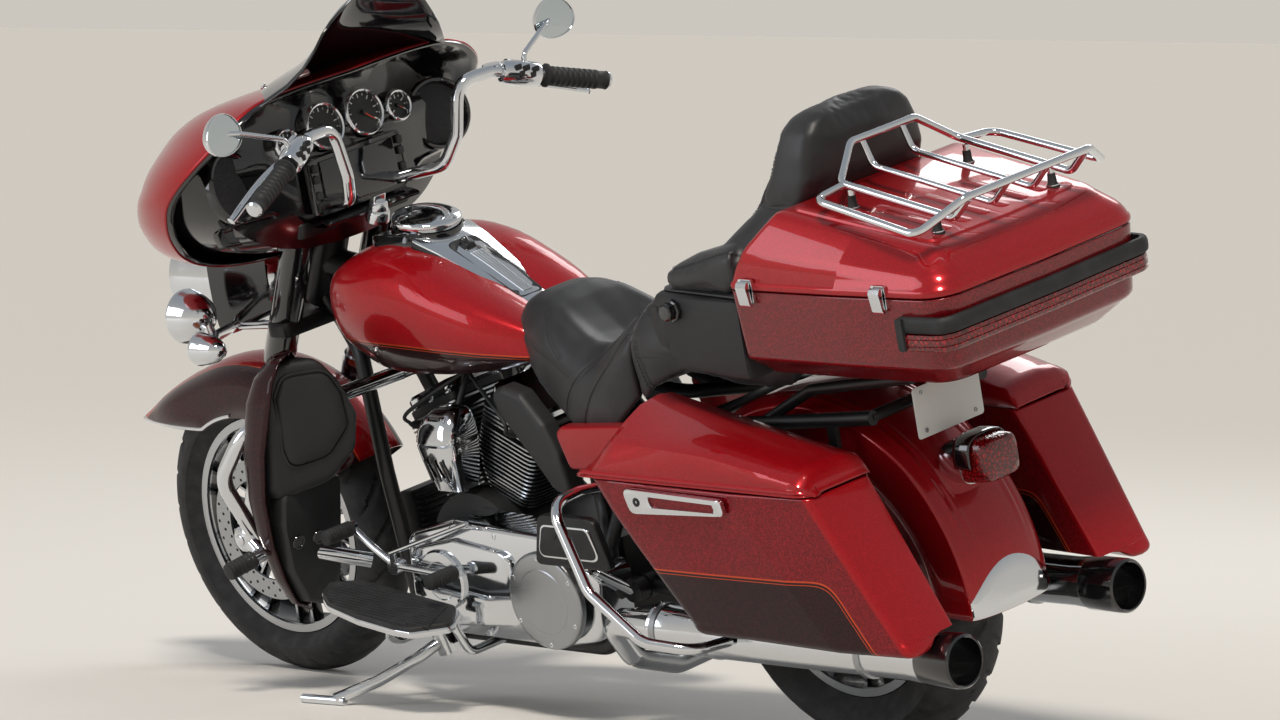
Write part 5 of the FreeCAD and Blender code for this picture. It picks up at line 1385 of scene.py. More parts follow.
riderSeams = [
    [(735, 78, 826), (690, 128, 796), (620, 150, 776), (540, 168, 742)],
    [(352, 118, 868), (395, 128, 832), (440, 142, 792), (500, 160, 740), (545, 170, 690), (566, 168, 652)],
    [(356, 150, 826), (420, 172, 760), (470, 178, 700), (505, 178, 640), (512, 176, 618)],
    [(640, 100, 846), (600, 138, 796), (570, 152, 770)],
]
pillionSeams = [
    [(345, 122, 872), (290, 146, 868), (200, 150, 862), (60, 150, 856), (-60, 142, 848)],
    [(330, 172, 820), (318, 184, 780), (300, 182, 728)],
    [(322, 172, 820), (308, 184, 780), (288, 182, 726)],
    [(300, 184, 800), (200, 186, 800), (60, 183, 798), (-60, 174, 796)],
]
# Backrest. A level holds height, front, rear, half width, the corner radii in front and behind and the bow
# of the front; a section of an arm holds its place, its inner and outer side, its foot and its top.
backrest = {"pad": [(888, 34, -50, 128, 30, 20, 4), (893, 42, -60, 146, 34, 20, 6),
                    (920, 44, -68, 160, 40, 20, 8), (975, 34, -77, 165, 40, 20, 10),
                    (1000, 20, -85, 167, 40, 18, 12), (1022, 6, -97, 170, 40, 18, 12),
                    (1050, -14, -116, 172, 40, 18, 12), (1086, -40, -148, 172, 38, 18, 12),
                    (1112, -56, -174, 171, 38, 20, 12), (1150, -76, -192, 167, 38, 26, 12),
                    (1200, -96, -197, 157, 38, 34, 10), (1236, -107, -197, 142, 34, 34, 8),
                    (1256, -118, -192, 122, 30, 30, 6), (1266, -132, -184, 96, 24, 24, 4),
                    (1269, -146, -172, 66, 12, 12, 2)],
            "flare": [(986, 6, -84, 284, 40, 16, 4), (1000, 4, -86, 282, 40, 16, 4),
                      (1022, -6, -98, 270, 40, 16, 4), (1046, -22, -114, 240, 36, 16, 4),
                      (1072, -42, -136, 208, 30, 14, 4), (1096, -62, -158, 184, 24, 14, 2)],
            "arm": [(128, 190, 250, 974, 992), (122, 178, 262, 966, 1001), (104, 170, 270, 962, 1008),
                    (60, 164, 277, 961, 1018), (10, 160, 282, 961, 1030), (-30, 157, 285, 962, 1040),
                    (-60, 155, 286, 964, 1046), (-78, 154, 286, 984, 1046)],
            "piping": [(-64, 160, 1120), (-90, 150, 1180), (-108, 128, 1232), (-124, 70, 1258),
                       (-126, 0, 1262)], "seams": [[(-66, 168, 1118), (-40, 176, 1066), (0, 170, 1034),
                                                    (60, 168, 1016), (118, 182, 1000)],
                                                   [(-100, 268, 1040), (-40, 280, 1036), (40, 279, 1020),
                                                    (100, 268, 1004), (120, 240, 1000)]],}


def makeRiderSeat():
    form = sectionedPad("riderForm", riderStations, lambda s: 742 if s > 640 else 690 if s > 400 else 712)
    return upholster("riderSeat", [form], bothWays(riderSeams), "chassis", 6)


def makePillion():
    form = sectionedPad("pillionForm", pillionStations, lambda s: 768)
    seams = bothWays(pillionSeams) + [[(296, -120, 882), (292, 0, 886), (296, 120, 882)]]
    return upholster("passengerSeat", [form], seams, "chassis", 6, swell=5)


def makeBackrest():
    pieces = [boxedPad("backPad", backrest["pad"]), boxedPad("backFlare", backrest["flare"])]
    for side in (-1, 1):
        rings = []
        for s, t0, t1, z0, z1 in backrest["arm"]:
            corners = [(t0, z0), (t1, z0 + 2), (t1, z1 - 6), (t1 - 30, z1), (t0, z1 - 3)]
            rings.append(roundCorners([(s, side * t, z) for t, z in corners], [12, 15, 18, 26, 14], 5))
        pieces.append(loft("arm", rings, "seatLeather", sharp=60))
    piping = backrest["piping"]
    around = [(s, -t, z) for s, t, z in piping] + list(reversed(piping[:-1]))
    return upholster("backrestPad", pieces, [around] + bothWays(backrest["seams"]), "trunk_lid", 9, swell=6)


# Speaker pods: outline in the side view, then how far out each section is and how much smaller it is
pods = {"outline": [(146, 955), (163, 934), (168, 896), (156, 856), (118, 826), (50, 808), (-40, 800),
                    (-81.7, 800), (-81.7, 956)], "radii": [16, 26, 40, 40, 50, 60, 30, 2, 2], "rear": -81.7,
        "sections": ((192, 6), (196, 1), (200, 0), (258, 0), (270, 2), (279, 7), (284, 14), (286, 24)),
        "top": ((955, 8), (957, 3), (960, 4), (961.5, 9)), "knob": (92, 283, 926),}


def makePods():
    # moulded speaker pods with a padded top and a faceted knob
    outline = roundCorners([(s, 0, z) for s, z in pods["outline"]], pods["radii"], 5)
    pieces = []

    def shaped(p, side, t, inset):
        s, z = p[0], p[2]
        out = t + (0.03 * (60 - s) if t > 230 else 0) - (4 if t > 280 else 0)
        drop = inset if z > 930 else -inset * 0.6 if z < 850 else 0
        return (max(s - (inset if s > 30 else 0), pods["rear"]), side * out, z - drop)
    for side in (-1, 1):
        rings = [[shaped(p, side, t, inset) for p in outline] for t, inset in pods["sections"]]
        pieces.append(loft("pod", rings, "texturedBlackPlastic", sharp=45))
        top = []
        for z, inset in pods["top"]:
            corners = [(146 - inset, 196 + inset), (150 - inset, 262 - inset), (-81.5, 284 - inset),
                       (-81.5, 196 + inset)]
            top.append(roundCorners([(s, side * t, z) for s, t in corners], [18, 30, 4, 4], 5))
        pieces.append(loft("podTop", top, "seatLeather", sharp=50))
        knob = onSide(side, pods["knob"])
        profile = [(-10, 21), (2, 22), (5, 21), (7, 18), (9, 18), (20, 16.5), (23, 14), (24, 0)]
        pieces.append(turned("knob", profile, knob, knob + Vector((0.05, side, 0.05)), "glossBlackAbs",
                             sides=8, sharp=30))
    return joinPieces("speakerPods", pieces, "chassis")


for make, node, fill in ((makeRiderSeat, "rider_seat", 0.9), (makePillion, "passenger_seat", 0.9),
                         (makeBackrest, "backrest", 0.85)):
    standsFor(make(), node)
standsFor(makePods(), "speaker_pods")
print("seats ready")

# Fuel tank in two colours, its chrome console with a textured insert, and the filler cap
tank = {
    "stations": [  # s, crown, half top, z top, half wide, z wide, half low, z low
        (1247, 858, 24, 855, 66, 830, 40, 800), (1240, 884, 40, 878, 100, 832, 56, 766),
        (1222, 912, 66, 902, 134, 834, 74, 738), (1190, 934, 92, 922, 162, 838, 96, 720),
        (1120, 950, 116, 939, 183, 842, 118, 708), (1050, 951, 126, 945, 190, 842, 132, 706),
        (960, 931, 122, 929, 190, 836, 138, 708), (880, 890, 106, 898, 184, 822, 136, 712),
        (800, 846, 86, 862, 168, 804, 126, 720), (740, 814, 72, 830, 144, 788, 112, 728),
        (700, 800, 60, 806, 124, 776, 100, 734), (682, 794, 50, 794, 110, 770, 92, 738),
        (674, 786, 36, 785, 92, 768, 76, 748)],
    "lineTop": (1030, 777), "lineFall": 0.0002,
}
# Console rows: place, height and half width. The insert and the latch are placed on the rows' surface.
console = {
    "rows": [(1016, 956, 78), (1004, 951, 78), (960, 933, 72), (920, 912, 65), (882, 892, 59), (840, 868, 53),
             (800, 845, 47), (766, 828, 42), (756, 823, 36), (751, 821, 28)],
    "edge": ((-5, -22), (-6, -6), (-2, -1)), "plate": ((-1, -4), (0, 2), (4, 4.5)), "crown": 6,
    "insertFront": 966, "insertRear": 782, "insertHalf": (40, 30), "ribs": (-14, -7, 0, 7, 14),
    "cap": (1060, 0, 938), "capLean": (-0.18, 0, 1), "surround": ((0, 925), (0, 950), (-5, 966), (-12, 972)),
}


def tankColour(tree, mm, y, t, z):
    s = maths(tree, "MULTIPLY", y, -1.0)
    off = maths(tree, "SUBTRACT", s, tank["lineTop"][0])
    sag = maths(tree, "MULTIPLY", maths(tree, "MULTIPLY", off, off), -tank["lineFall"])
    below = maths(tree, "SUBTRACT", maths(tree, "ADD", sag, tank["lineTop"][1]), z)
    base = blendColours(tree, ramp(tree, below, -0.2, 0.2), flakes(tree, mm, "candyFlakes"),
                        flakes(tree, mm, "darkFlakes"))
    lines = maths(tree, "MAXIMUM", stripe(tree, below, 0, 1.9, 1.5), stripe(tree, below, 6, 0.9, 0.6))
    return blendColours(tree, lines, base, paint["stripe"])


paintZones("tankPaint", tankColour)


def makeTank():
    columns = []
    for s, crown, halfTop, zTop, halfWide, zWide, halfLow, zLow in tank["stations"]:
        upper = (s, 0.62 * halfWide + 0.38 * halfTop + 12, 0.5 * (zTop + zWide) + 16)
        lower = (s, 0.5 * (halfWide + halfLow) + 14, 0.5 * (zWide + zLow) - 8)
        columns.append(splinePath([(s, 0, crown), (s, halfTop, zTop), upper, (s, halfWide, zWide), lower,
                                   (s, halfLow, zLow)], 4))
    lines = [splinePath([column[k] for column in columns], 3) for k in range(len(columns[0]))]
    rings = []
    for half in zip(*lines):
        s, low = half[0][0], half[-1]
        under = [(s, 0.7 * low[1], low[2] - 2), (s, 40, low[2] + 4), (s, 38, min(low[2] + 60, 806))]
        whole = list(half) + [Vector(p) for p in under]
        rings.append(whole + [Vector((p[0], -p[1], p[2])) for p in reversed(whole[1:])])
    return loft("tankShell", rings, "tankPaint", sharp=50)


def onConsole(s, column):
    # half width (column 2) or height (column 1) of the console between its rows
    rows = console["rows"]
    for a, b in zip(rows, rows[1:]):
        if b[0] <= s <= a[0]:
            return a[column] + (b[column] - a[column]) * (a[0] - s) / (a[0] - b[0])
    return rows[0][column] if s > rows[0][0] else rows[-1][column]


def consoleLevel(s):
    return onConsole(s, 1) + 2


def makeConsolePlate():
    # long chrome plate on a black rubber edge
    def section(s, half, profile, crown):
        z = consoleLevel(s)
        left = [(s, -half + t, z + up) for t, up in profile]
        return left + crown + [(s, -t, z) for s, t, z in reversed(left)]
    edge, plate = [], []
    for s, _, half in console["rows"]:
        edge.append(section(s, half, console["edge"], []))
        plate.append(section(s, half, console["plate"], [(s, 0, consoleLevel(s) + console["crown"])]))
    return [loft("consoleEdge", edge, "blackRubber", sharp=40),
            loft("consolePlate", plate, "chromePlate", sharp=30)]


def makeInsert():
    # sunk textured panel with a ribbed strip
    front, rear = console["insertFront"], console["insertRear"]
    wide, slim = console["insertHalf"]
    rings = []
    for grow, up in ((1.5, 4), (0, 7), (-2, 6.6), (-4, 4.6)):
        outline = [(front + grow, -wide - grow), (front + grow, wide + grow), (rear - grow, slim + grow),
                   (rear - grow, -slim - grow)]
        heights = [consoleLevel(front)] * 2 + [consoleLevel(rear)] * 2
        rings.append(roundCorners([(s, t, z + up) for (s, t), z in zip(outline, heights)], [20, 20, 12, 12],
                                  5))
    pieces = [loft("insertPanel", rings, "texturedBlackPlastic", sharp=40)]
    for t in console["ribs"]:
        path = [(s, t * (0.7 + 0.3 * (s - 794) / 130), consoleLevel(s) + 5.6) for s in (924, 880, 840, 794)]
        pieces.append(sweep("rib", path, 2.2, "brushedSteel", sides=8))
    return pieces


def makeConsole():
    pieces = makeConsolePlate() + makeInsert()
    latch = [(s, t, consoleLevel(s) + 5) for s, t in ((956, -14), (956, 12), (934, 12), (934, -14))]
    pieces.append(slab("latchBase", latch, (0, 0, 1), 10, "blackPowderCoat", 3, 6))
    knob = Vector((946, 0, consoleLevel(946)))
    pieces.append(turned("latchKnob", [(4, 9), (20, 8), (23, 6), (23, 0)], knob, knob + Vector((0.4, 0, 1)),
                         "glossBlackAbs", sides=20))
    cap, top = Vector(console["cap"]), Vector(console["capLean"]).normalized()
    profile = [(0, 68), (40, 68), (44, 70), (50, 70), (53, 68.5), (55, 65), (57, 60), (59.5, 50), (62, 34),
               (63.5, 16), (64, 0)]
    pieces.append(turned("fillerCap", profile, cap, cap + top, "chromePlate", sides=64, sharp=35))
    pieces.append(turned("capRing", [(20, 72), (34, 72), (37, 70)], cap, cap + top, "glossBlackAbs", sides=64,
                         caps=(False, False)))
    rings = []
    for grow, z in console["surround"]:
        right = [(1158, -58, z - 16), (1124, -84 - grow, z - 8), (1040, -84 - grow, z),
                 (1010, -70 - grow, z - 4)]
        left = [(s, -t, z) for s, t, z in right]
        rings.append(roundCorners([right[0]] + left + list(reversed(right[1:])),
                                  [14, 14, 40, 30, 16, 16, 30, 40], 4))
    pieces.append(loft("capSurround", rings, "glossBlackAbs", sharp=40))
    return joinPieces("tankConsole", pieces, "chassis")


tankShell = makeTank()
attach(tankShell, "chassis")
standsFor(tankShell, "fuel_tank")
standsFor(makeConsole(), "tank_console")
print("tank ready")


# Engine: finned cylinders with bright fin edges, rocker boxes, pushrod tubes and covers. Heights are
# measured along each cylinder from the crank's centre.
engine = {"crank": (935, 330), "half": math.radians(22.5), "fins": 15, "firstFin": 128, "pitch": 9.2,
          "fin": 3.2, "wide": 87, "long": 83, "finRound": 26, "barrel": (62, 64, 100, 268),
          "barrelRound": 30, "gap": 4, "headFins": 4, "headPitch": 9, "headFin": 4, "headBase": 268,
          "boxes": (("head", 72, 74, 262, 302, "crinkleBlack", 14, 0),
                    ("rockerLow", 76, 72, 301, 318, "blackPowderCoat", 18, 2),
                    ("rockerTop", 73, 69, 319, 345, "chromePlate", 20, 7)),
          "bolts": [(a, t) for a in (-58, 0, 58) for t in (-66.03, 66.03)], "boltBase": 318,
          "plug": (30, 84, 284), "tappet": (34, -112, 416), "rodTop": (-92, 300),}
primary = {"body": [(1050, 250), (1040, 395), (900, 432), (640, 420), (505, 350), (520, 215), (640, 194),
                    (980, 198)], "rise": [(1030, 268), (1018, 372), (890, 400), (735, 380), (725, 232),
                                          (960, 216)], "derby": (634, 225.5, 298), "derbyBolts": 6,
           "boltRing": 88, "boltOut": 14, "stator": (930, 224, 315),
           "screws": ((1026, 262), (1020, 380), (900, 416), (780, 410), (700, 404), (530, 340), (540, 230),
                      (700, 206), (840, 208), (970, 212)),}
# Horn cover levels: height, rear, front, inner and outer side, corner radius
horn = {
    "levels": [(468, 922, 978, 112, 150, 10), (474, 914, 986, 104, 160, 16), (500, 908, 988, 100, 170, 22),
               (540, 898, 996, 100, 184, 30), (572, 892, 1000, 100, 190, 34), (576, 893, 999, 100, 187, 34),
               (580, 892, 1000, 100, 190, 34), (604, 894, 996, 100, 184, 34), (622, 900, 986, 100, 172, 32),
               (634, 908, 976, 102, 156, 26), (640, 920, 962, 108, 138, 14)],
    "louvres": (922, 945, 968),
}
cleaner = {"middle": (930, 570), "base": 88.5, "pleats": 36, "valley": 87, "peak": 90.5,
           "element": (114, 148), "screw": 198}


def cylinderPoint(side, a, t, h):
    s0, z0 = engine["crank"]
    lean = engine["half"] * side
    return (s0 + a * math.cos(lean) + h * math.sin(lean), t, z0 - a * math.sin(lean) + h * math.cos(lean))


def cylinderSlab(name, side, along, half, low, high, finish, radius, edge=0, brightEdge=False):
    # block square to a cylinder: its two ends along the machine, half width, and heights
    rings = []
    steps = ((0, edge), (edge, 0), (high - low - edge, 0), (high - low, edge)) if edge else ((0, 0),
                                                                                             (high - low,
                                                                                              0))
    for rise, inset in steps:
        a0, a1, t = along[0] + inset, along[1] - inset, half - inset
        ring = roundCorners([(a0, -t, 0), (a1, -t, 0), (a1, t, 0), (a0, t, 0)],
                            [max(radius - inset, 2)] * 4, 4)
        rings.append([cylinderPoint(side, p[0], p[1], low + rise) for p in ring])
    if not brightEdge:
        return loft(name, rings, finish)
    last = (len(rings) - 1) * len(rings[0])
    return loft(name, rings, finish, extra=("machinedAlloy",), faceFinish=lambda i: 1 if i < last else 0)


def towardsOther(h, reach):
    # how far a block may reach towards the other cylinder before the gap in the middle plane
    return min(reach, (h * math.sin(engine["half"]) - engine["gap"]) / math.cos(engine["half"]))


def makeBarrel(side):
    pieces = []
    for k in range(engine["fins"]):
        h = engine["firstFin"] + k * engine["pitch"]
        grow = 0.90 + 0.10 * min(k / 4, 1)
        near, far = towardsOther(h, engine["long"]), engine["long"] * grow
        along = (-near, far) if side > 0 else (-far, near)
        pieces.append(cylinderSlab("fin", side, along, engine["wide"] * grow, h, h + engine["fin"],
                                   "crinkleBlack", engine["finRound"], brightEdge=True))
    long, wide, low, high = engine["barrel"]
    near = towardsOther(engine["firstFin"], 60)
    along = (-near, long) if side > 0 else (-long, near)
    pieces.append(cylinderSlab("barrel", side, along, wide, low, high, "crinkleBlack", engine["barrelRound"]))
    return pieces


def makeHead(side):
    pieces = []
    for k in range(engine["headFins"]):
        h = engine["headBase"] + k * engine["headPitch"]
        pieces.append(cylinderSlab("headFin", side, (-80, 80), 82, h, h + engine["headFin"], "crinkleBlack",
                                   16, brightEdge=True))
    for name, long, wide, low, high, finish, radius, edge in engine["boxes"]:
        pieces.append(cylinderSlab(name, side, (-long, long), wide, low, high, finish, radius, edge))
    up = Vector(cylinderPoint(side, 0, 0, 1)) - Vector(cylinderPoint(side, 0, 0, 0))
    for a, t in engine["bolts"]:
        pieces.append(bolt("rockerBolt", cylinderPoint(side, a, t, engine["boltBase"]), up, 6))
    return pieces


def makePlugAndRods(side):
    along, out, high = engine["plug"]
    plug = Vector(cylinderPoint(side, along * side, out, high))
    pieces = [turned("plugCap", [(0, 9), (12, 10), (26, 8), (34, 5)], plug, plug + Vector((0, 1, 0.3)),
                     "blackRubber", sides=16)]
    lead = splinePath([plug + Vector((0, 34, 10)), plug + Vector((-10, 44, 40)), (930, 70, 700),
                       (925, 40, 716)], 8)
    pieces.append(sweep("plugLead", lead, 4, "blackRubber", sides=8, sharp=70))
    apart, tappetT, tappetZ = engine["tappet"]
    for off in (-16, 14):
        foot = Vector((engine["crank"][0] + apart * side + off, tappetT, tappetZ))
        head = Vector(cylinderPoint(side, 20 + off - 30 * side, *engine["rodTop"]))
        run = (head - foot).length
        profile = [(0, 15), (10, 15), (12, 11), (run * 0.45, 11), (run * 0.46, 13), (run * 0.55, 13),
                   (run * 0.56, 9.5), (run, 9.5)]
        pieces.append(turned("pushrodTube", profile, foot, head, "chromePlate", sides=18))
    return pieces


def makeCylinders():
    pieces = []
    for side in (-1, 1):
        pieces += makeBarrel(side) + makeHead(side) + makePlugAndRods(side)
    return joinPieces("cylinderPair", pieces, "chassis")


def sideSlab(name, outline, radii, t0, t1, finish, edge, side=1, steps=3):
    # plate drawn in the side view, with a rounded outer edge
    radii = radii if isinstance(radii, list) else [radii] * len(outline)
    ring = roundCorners([(s, 0, z) for s, z in outline], radii, 6)
    rows = [(t0, shrunk(ring, 0))]
    for k in range(steps + 1):
        a = math.radians(90 * k / steps)
        rows.append((t1 - edge + edge * math.sin(a), shrunk(ring, edge * (1 - math.cos(a)))))
    rings = [[(p[0], side * t, p[2]) for p in row] for t, row in rows]
    return loft(name, rings, finish, sharp=38)


def makePrimary():
    pieces = [sideSlab("primaryBody", primary["body"], 38, 119, 212, "chromePlate", 14),
              sideSlab("primaryRise", primary["rise"], 34, 205, 226, "chromePlate", 8)]
    out, derby, stator = Vector((0, 1, 0)), Vector(primary["derby"]), Vector(primary["stator"])
    profile = [(0, 99), (9, 99), (12, 98), (15, 95), (16.5, 90), (17, 66), (18.5, 64), (19, 40), (19, 0)]
    pieces.append(turned("derbyCover", profile, derby, derby + out, "brushedSteel", sides=72, sharp=30))
    for k in range(primary["derbyBolts"]):
        a = math.radians(30) + 2 * math.pi * k / primary["derbyBolts"]
        spot = Vector((primary["boltRing"] * math.cos(a), primary["boltOut"],
                       primary["boltRing"] * math.sin(a)))
        pieces.append(bolt("derbyScrew", derby + spot, out, 5))
    profile = [(0, 62), (8, 62), (12, 58), (13, 40), (11, 38), (11, 0)]
    pieces.append(turned("statorCover", profile, stator, stator + out, "chromePlate", sides=56, sharp=30))
    for s, z in primary["screws"]:
        pieces.append(bolt("primaryScrew", (s, 205 if s < 740 else 210, z), out, 6))
    return joinPieces("primaryCover", pieces, "chassis")


def makeHornCover():
    rings = [roundCorners([(front, t0, z), (front, t1, z), (rear, t1, z), (rear, t0, z)], [10, r, r, 10], 6)
             for z, rear, front, t0, t1, r in horn["levels"]]
    pieces = [loft("hornShell", rings, "chromePlate", sharp=35)]
    for s in horn["louvres"]:
        pieces.append(sweep("hornLouvre", [(s, 176, 500), (s, 189, 545)], 3.2, "glossBlackAbs", sides=8))
    pieces.append(sweep("hornStay", [(936, 108, 630), (936, 60, 700)], 7, "blackPowderCoat"))
    pieces.append(sweep("hornArm", [(935, 34, 640), (935, 120, 628)], 7, "blackPowderCoat"))
    return joinPieces("hornCover", pieces, "chassis")


def makeAirCleaner():
    # domed cover over a pleated element
    s, z = cleaner["middle"]
    base, out = Vector((s, -cleaner["base"], z)), Vector((0, -1, 0))
    profile = [(0, 60), (8, 80), (20, 86), (24, 88), (60, 88), (64, 92), (74, 92), (80, 91), (92, 84),
               (102, 68), (108, 44), (111, 0)]
    pieces = [turned("cleanerShell", profile, base, base + out, "chromePlate", sides=64, sharp=30)]
    folds = [(math.pi * k / cleaner["pleats"], cleaner["peak"] if k % 2 else cleaner["valley"])
             for k in range(2 * cleaner["pleats"])]
    rings = [[(s + r * math.cos(a), -t, z + r * math.sin(a)) for a, r in folds] for t in cleaner["element"]]
    pieces.append(loft("cleanerElement", rings, "blackRubber", sharp=20))
    pieces.append(bolt("cleanerScrew", (s, -cleaner["screw"], z), out, 8))
    return joinPieces("airCleaner", pieces, "chassis")


standsFor(makeCylinders(), "cylinders")
standsFor(makePrimary(), "primary_cover")
standsFor(makeHornCover(), "horn_cover")
standsFor(makeAirCleaner(), "air_cleaner")
print("engine ready")


# Leg fairings: painted shield, black glove box with an inset door, black lower panel. The box, the door
# and the panel are outlines across the machine, scaled about a middle at each depth.
leg = {
    "box": [(262, 768), (348, 774), (372, 738), (376, 640), (372, 520), (352, 492), (262, 508), (214, 566),
            (210, 640), (232, 716)],
    "boxRound": [30, 30, 40, 60, 24, 20, 50, 34, 40, 40], "boxMiddle": (296, 640),
    "boxRings": ((1, 0.8), (1, 0.87), (3, 0.93), (9, 0.98), (18, 1.0)),
    "boxFront": ((1236, 1.0), (1240, 0.9)),
    "door": [(258, 742), (334, 748), (354, 706), (352, 600), (338, 556), (268, 566), (234, 620), (238, 690)],
    "doorRound": [34, 30, 30, 40, 26, 40, 30, 40], "doorMiddle": (296, 652),
    "doorRings": ((3, 1.05), (-2, 1.04), (-3, 1.0), (2, 0.985), (2, 0.965), (-4, 0.945), (-6, 0.88),
                  (-7, 0.6)),
    "panel": [(198, 505), (356, 505), (358, 440), (340, 340), (296, 262), (236, 238), (214, 262), (203, 340)],
    "panelRound": [12, 20, 30, 40, 24, 24, 20, 20], "panelMiddle": (278, 370),
    "panelRings": ((0, 0.93), (4, 0.98), (10, 1.0), (40, 1.0)), "wells": ((322, 398), (268, 392)),
    # shield levels: height, front, outer side and how far it reaches back
    "shield": ((786, 1200, 318, 30), (778, 1222, 346, 60), (745, 1246, 372, 84), (700, 1262, 386, 96),
               (600, 1288, 394, 88), (500, 1306, 388, 76), (400, 1322, 368, 70), (320, 1334, 338, 64),
               (262, 1342, 304, 54), (236, 1338, 262, 40)),
    "wall": 4,
}


def boxFace(t, z):
    return 1109 + 0.56 * (t - 212) + 0.12 * abs(z - 640) - 0.1 * (z - 640)


def panelFace(z):
    return 1262 - 0.2 * (z - 250)


def scaledRing(flat, middle, scale, face):
    # the flat outline scaled about its middle, at the depth that face() gives
    spots = [(middle[0] + (p[1] - middle[0]) * scale, middle[1] + (p[2] - middle[1]) * scale) for p in flat]
    return [(face(t, z), t, z) for t, z in spots]


def makeLegFairing():
    def rounded(part, steps):
        return roundCorners([(0, t, z) for t, z in leg[part]], leg[part + "Round"], steps)
    box, door, panel = rounded("box", 6), rounded("door", 6), rounded("panel", 5)
    boxRings = [scaledRing(box, leg["boxMiddle"], scale, lambda t, z: boxFace(t, z) + depth)
                for depth, scale in leg["boxRings"]]
    boxRings += [scaledRing(box, leg["boxMiddle"], scale, lambda t, z: front + 0.16 * (640 - z))
                 for front, scale in leg["boxFront"]]
    doorRings = [scaledRing(door, leg["doorMiddle"], scale, lambda t, z: boxFace(t, z) + depth)
                 for depth, scale in leg["doorRings"]]
    panelRings = [scaledRing(panel, leg["panelMiddle"], scale, lambda t, z: panelFace(z) + depth)
                  for depth, scale in leg["panelRings"]]
    pieces = [loft("gloveBox", boxRings, "texturedBlackPlastic", sharp=45),
              loft("gloveDoor", doorRings, "texturedBlackPlastic", caps=(False, True)),
              loft("lowerPanel", panelRings, "texturedBlackPlastic")]
    for t, z in leg["wells"]:
        spot = Vector((panelFace(z) - 1, t, z))
        profile = [(0, 16), (2, 15), (2, 11), (-6, 9), (-6, 0)]
        pieces.append(turned("screwWell", profile, spot, spot + Vector((-1, 0, -0.2)), "glossBlackAbs",
                             sides=24, sharp=30))
    rings = []
    for z, front, out, depth in leg["shield"]:
        inner = 196 + max(0, z - 690) * 0.95
        line = [(front - 26, inner), (front - 4, inner + 40), (front + 4, 0.5 * (inner + out)),
                (front - 8, out - 26), (front - 34, out - 2), (front - depth, out)]
        rings.append(splinePath([(s, t, z) for s, t in line], 4))
    pieces.append(thicken(loft("legShield", rings, "darkCherryPaint", closed=False, sharp=60), leg["wall"]))
    return joinPieces("legFairing", pieces)


leftLeg = makeLegFairing()
legs = joinPieces("legFairings", [leftLeg, mirrorPiece(leftLeg, "legFairingRight")], "chassis")
standsFor(legs, "leg_fairings")


# Boards, pegs and shields
boards = {"slope": 5.6, "level": 975,
          "rider": [(1186, 306), (1160, 352), (1100, 392), (990, 416), (880, 421), (838, 416), (792, 352),
                    (800, 330), (850, 270), (1140, 260)],
          "riderRound": [14, 40, 70, 120, 60, 24, 14, 20, 22, 30],
          "plate": ((273, 6), (274, 2), (277, 0), (284, 0), (286.5, 2)),
          "pad": ((286, 6), (292, 6), (294.5, 8), (295, 12)), "ribs": 11, "ribStart": 290, "ribPitch": 11,
          "riderHinges": (1076, 904), "passenger": [(599, 389), (574, 486), (556, 492), (436, 492),
                                                    (418, 486), (387, 389)], "trim": [(583, 407),
                                                                                      (562, 474),
                                                                                      (434, 474),
                                                                                      (409, 407)],
          "rubber": [(578, 411), (558, 470), (438, 470), (414, 411)], "studs": (490, 525),
          "passengerHinges": (462, 522), "hinge": (255, 384),}
pegs = (
    ("toePegRubber", (1150, 252, 412), (1150, 324, 412), 13.6),
    ("heelPegRubber", (866, 252, 343), (866, 324, 343), 13.6),
    ("leftHighwayPegRubber", (1293, 392, 381), (1300, 458, 372), 15.6),
    ("rightHighwayPegRubber", (1293, -392, 381), (1300, -458, 372), 15.6),
)
brakePad = ((1142, 1193), (-308, -236), 362.5)
shields = {"knee": [(742, 700), (712, 712), (664, 700), (612, 640), (572, 560), (560, 505), (574, 497),
                    (600, 505), (650, 560), (700, 622), (735, 672)],
           "kneeRound": [14, 16, 20, 40, 40, 8, 8, 20, 40, 30, 20],
           "cover": [(566, 632), (548, 646), (300, 664), (296, 600), (470, 562), (540, 560)],
           "coverRound": [16, 20, 10, 14, 24, 16],}


def boardLevel(s, z):
    return z + math.tan(math.radians(boards["slope"])) * (s - boards["level"])


def flatSlab(name, places, sides, z, depth, finish, edge, radius, body=None):
    # upright block from its two places along the machine, its two sides and the height of its foot
    (s0, s1), (t0, t1) = places, sides
    return slab(name, [(s0, t0, z), (s1, t0, z), (s1, t1, z), (s0, t1, z)], (0, 0, 1), depth, finish, edge,
                radius, body)


def makeRiderBoard():
    ring = roundCorners([(s, t, 0) for s, t in boards["rider"]], boards["riderRound"], 5)
    plate, pad = [[[(p[0], p[1], boardLevel(p[0], z)) for p in shrunk(ring, inset)] for z,
                   inset in boards[part]] for part in ("plate", "pad")]
    pieces = [loft("boardPlate", plate, "chromePlate", sharp=35),
              loft("boardPad", pad, "blackRubber", sharp=35)]
    for k in range(boards["ribs"]):
        over = k * boards["ribPitch"]
        t = boards["ribStart"] + over
        s0, s1 = (862, 1050) if t > 395 else (862 - 0.5 * over, 1150 - 0.2 * over - max(0, t - 352) * 1.4)
        pieces.append(sweep("padRib", [(s, t, boardLevel(s, 294.6)) for s in (s0, s1)], 2.6, "blackRubber",
                            sides=8))
    for s in boards["riderHinges"]:
        barrel = [(end, 262, boardLevel(end, 250)) for end in (s - 12, s + 12)]
        pieces.append(sweep("hingeBarrel", barrel, 8, "blackPowderCoat"))
        pieces.append(flatSlab("hingeLug", (s - 10, s + 10), (258, 268), boardLevel(s, 252), 24,
                               "blackPowderCoat", 1, 2))
    return joinPieces("riderBoard", pieces)


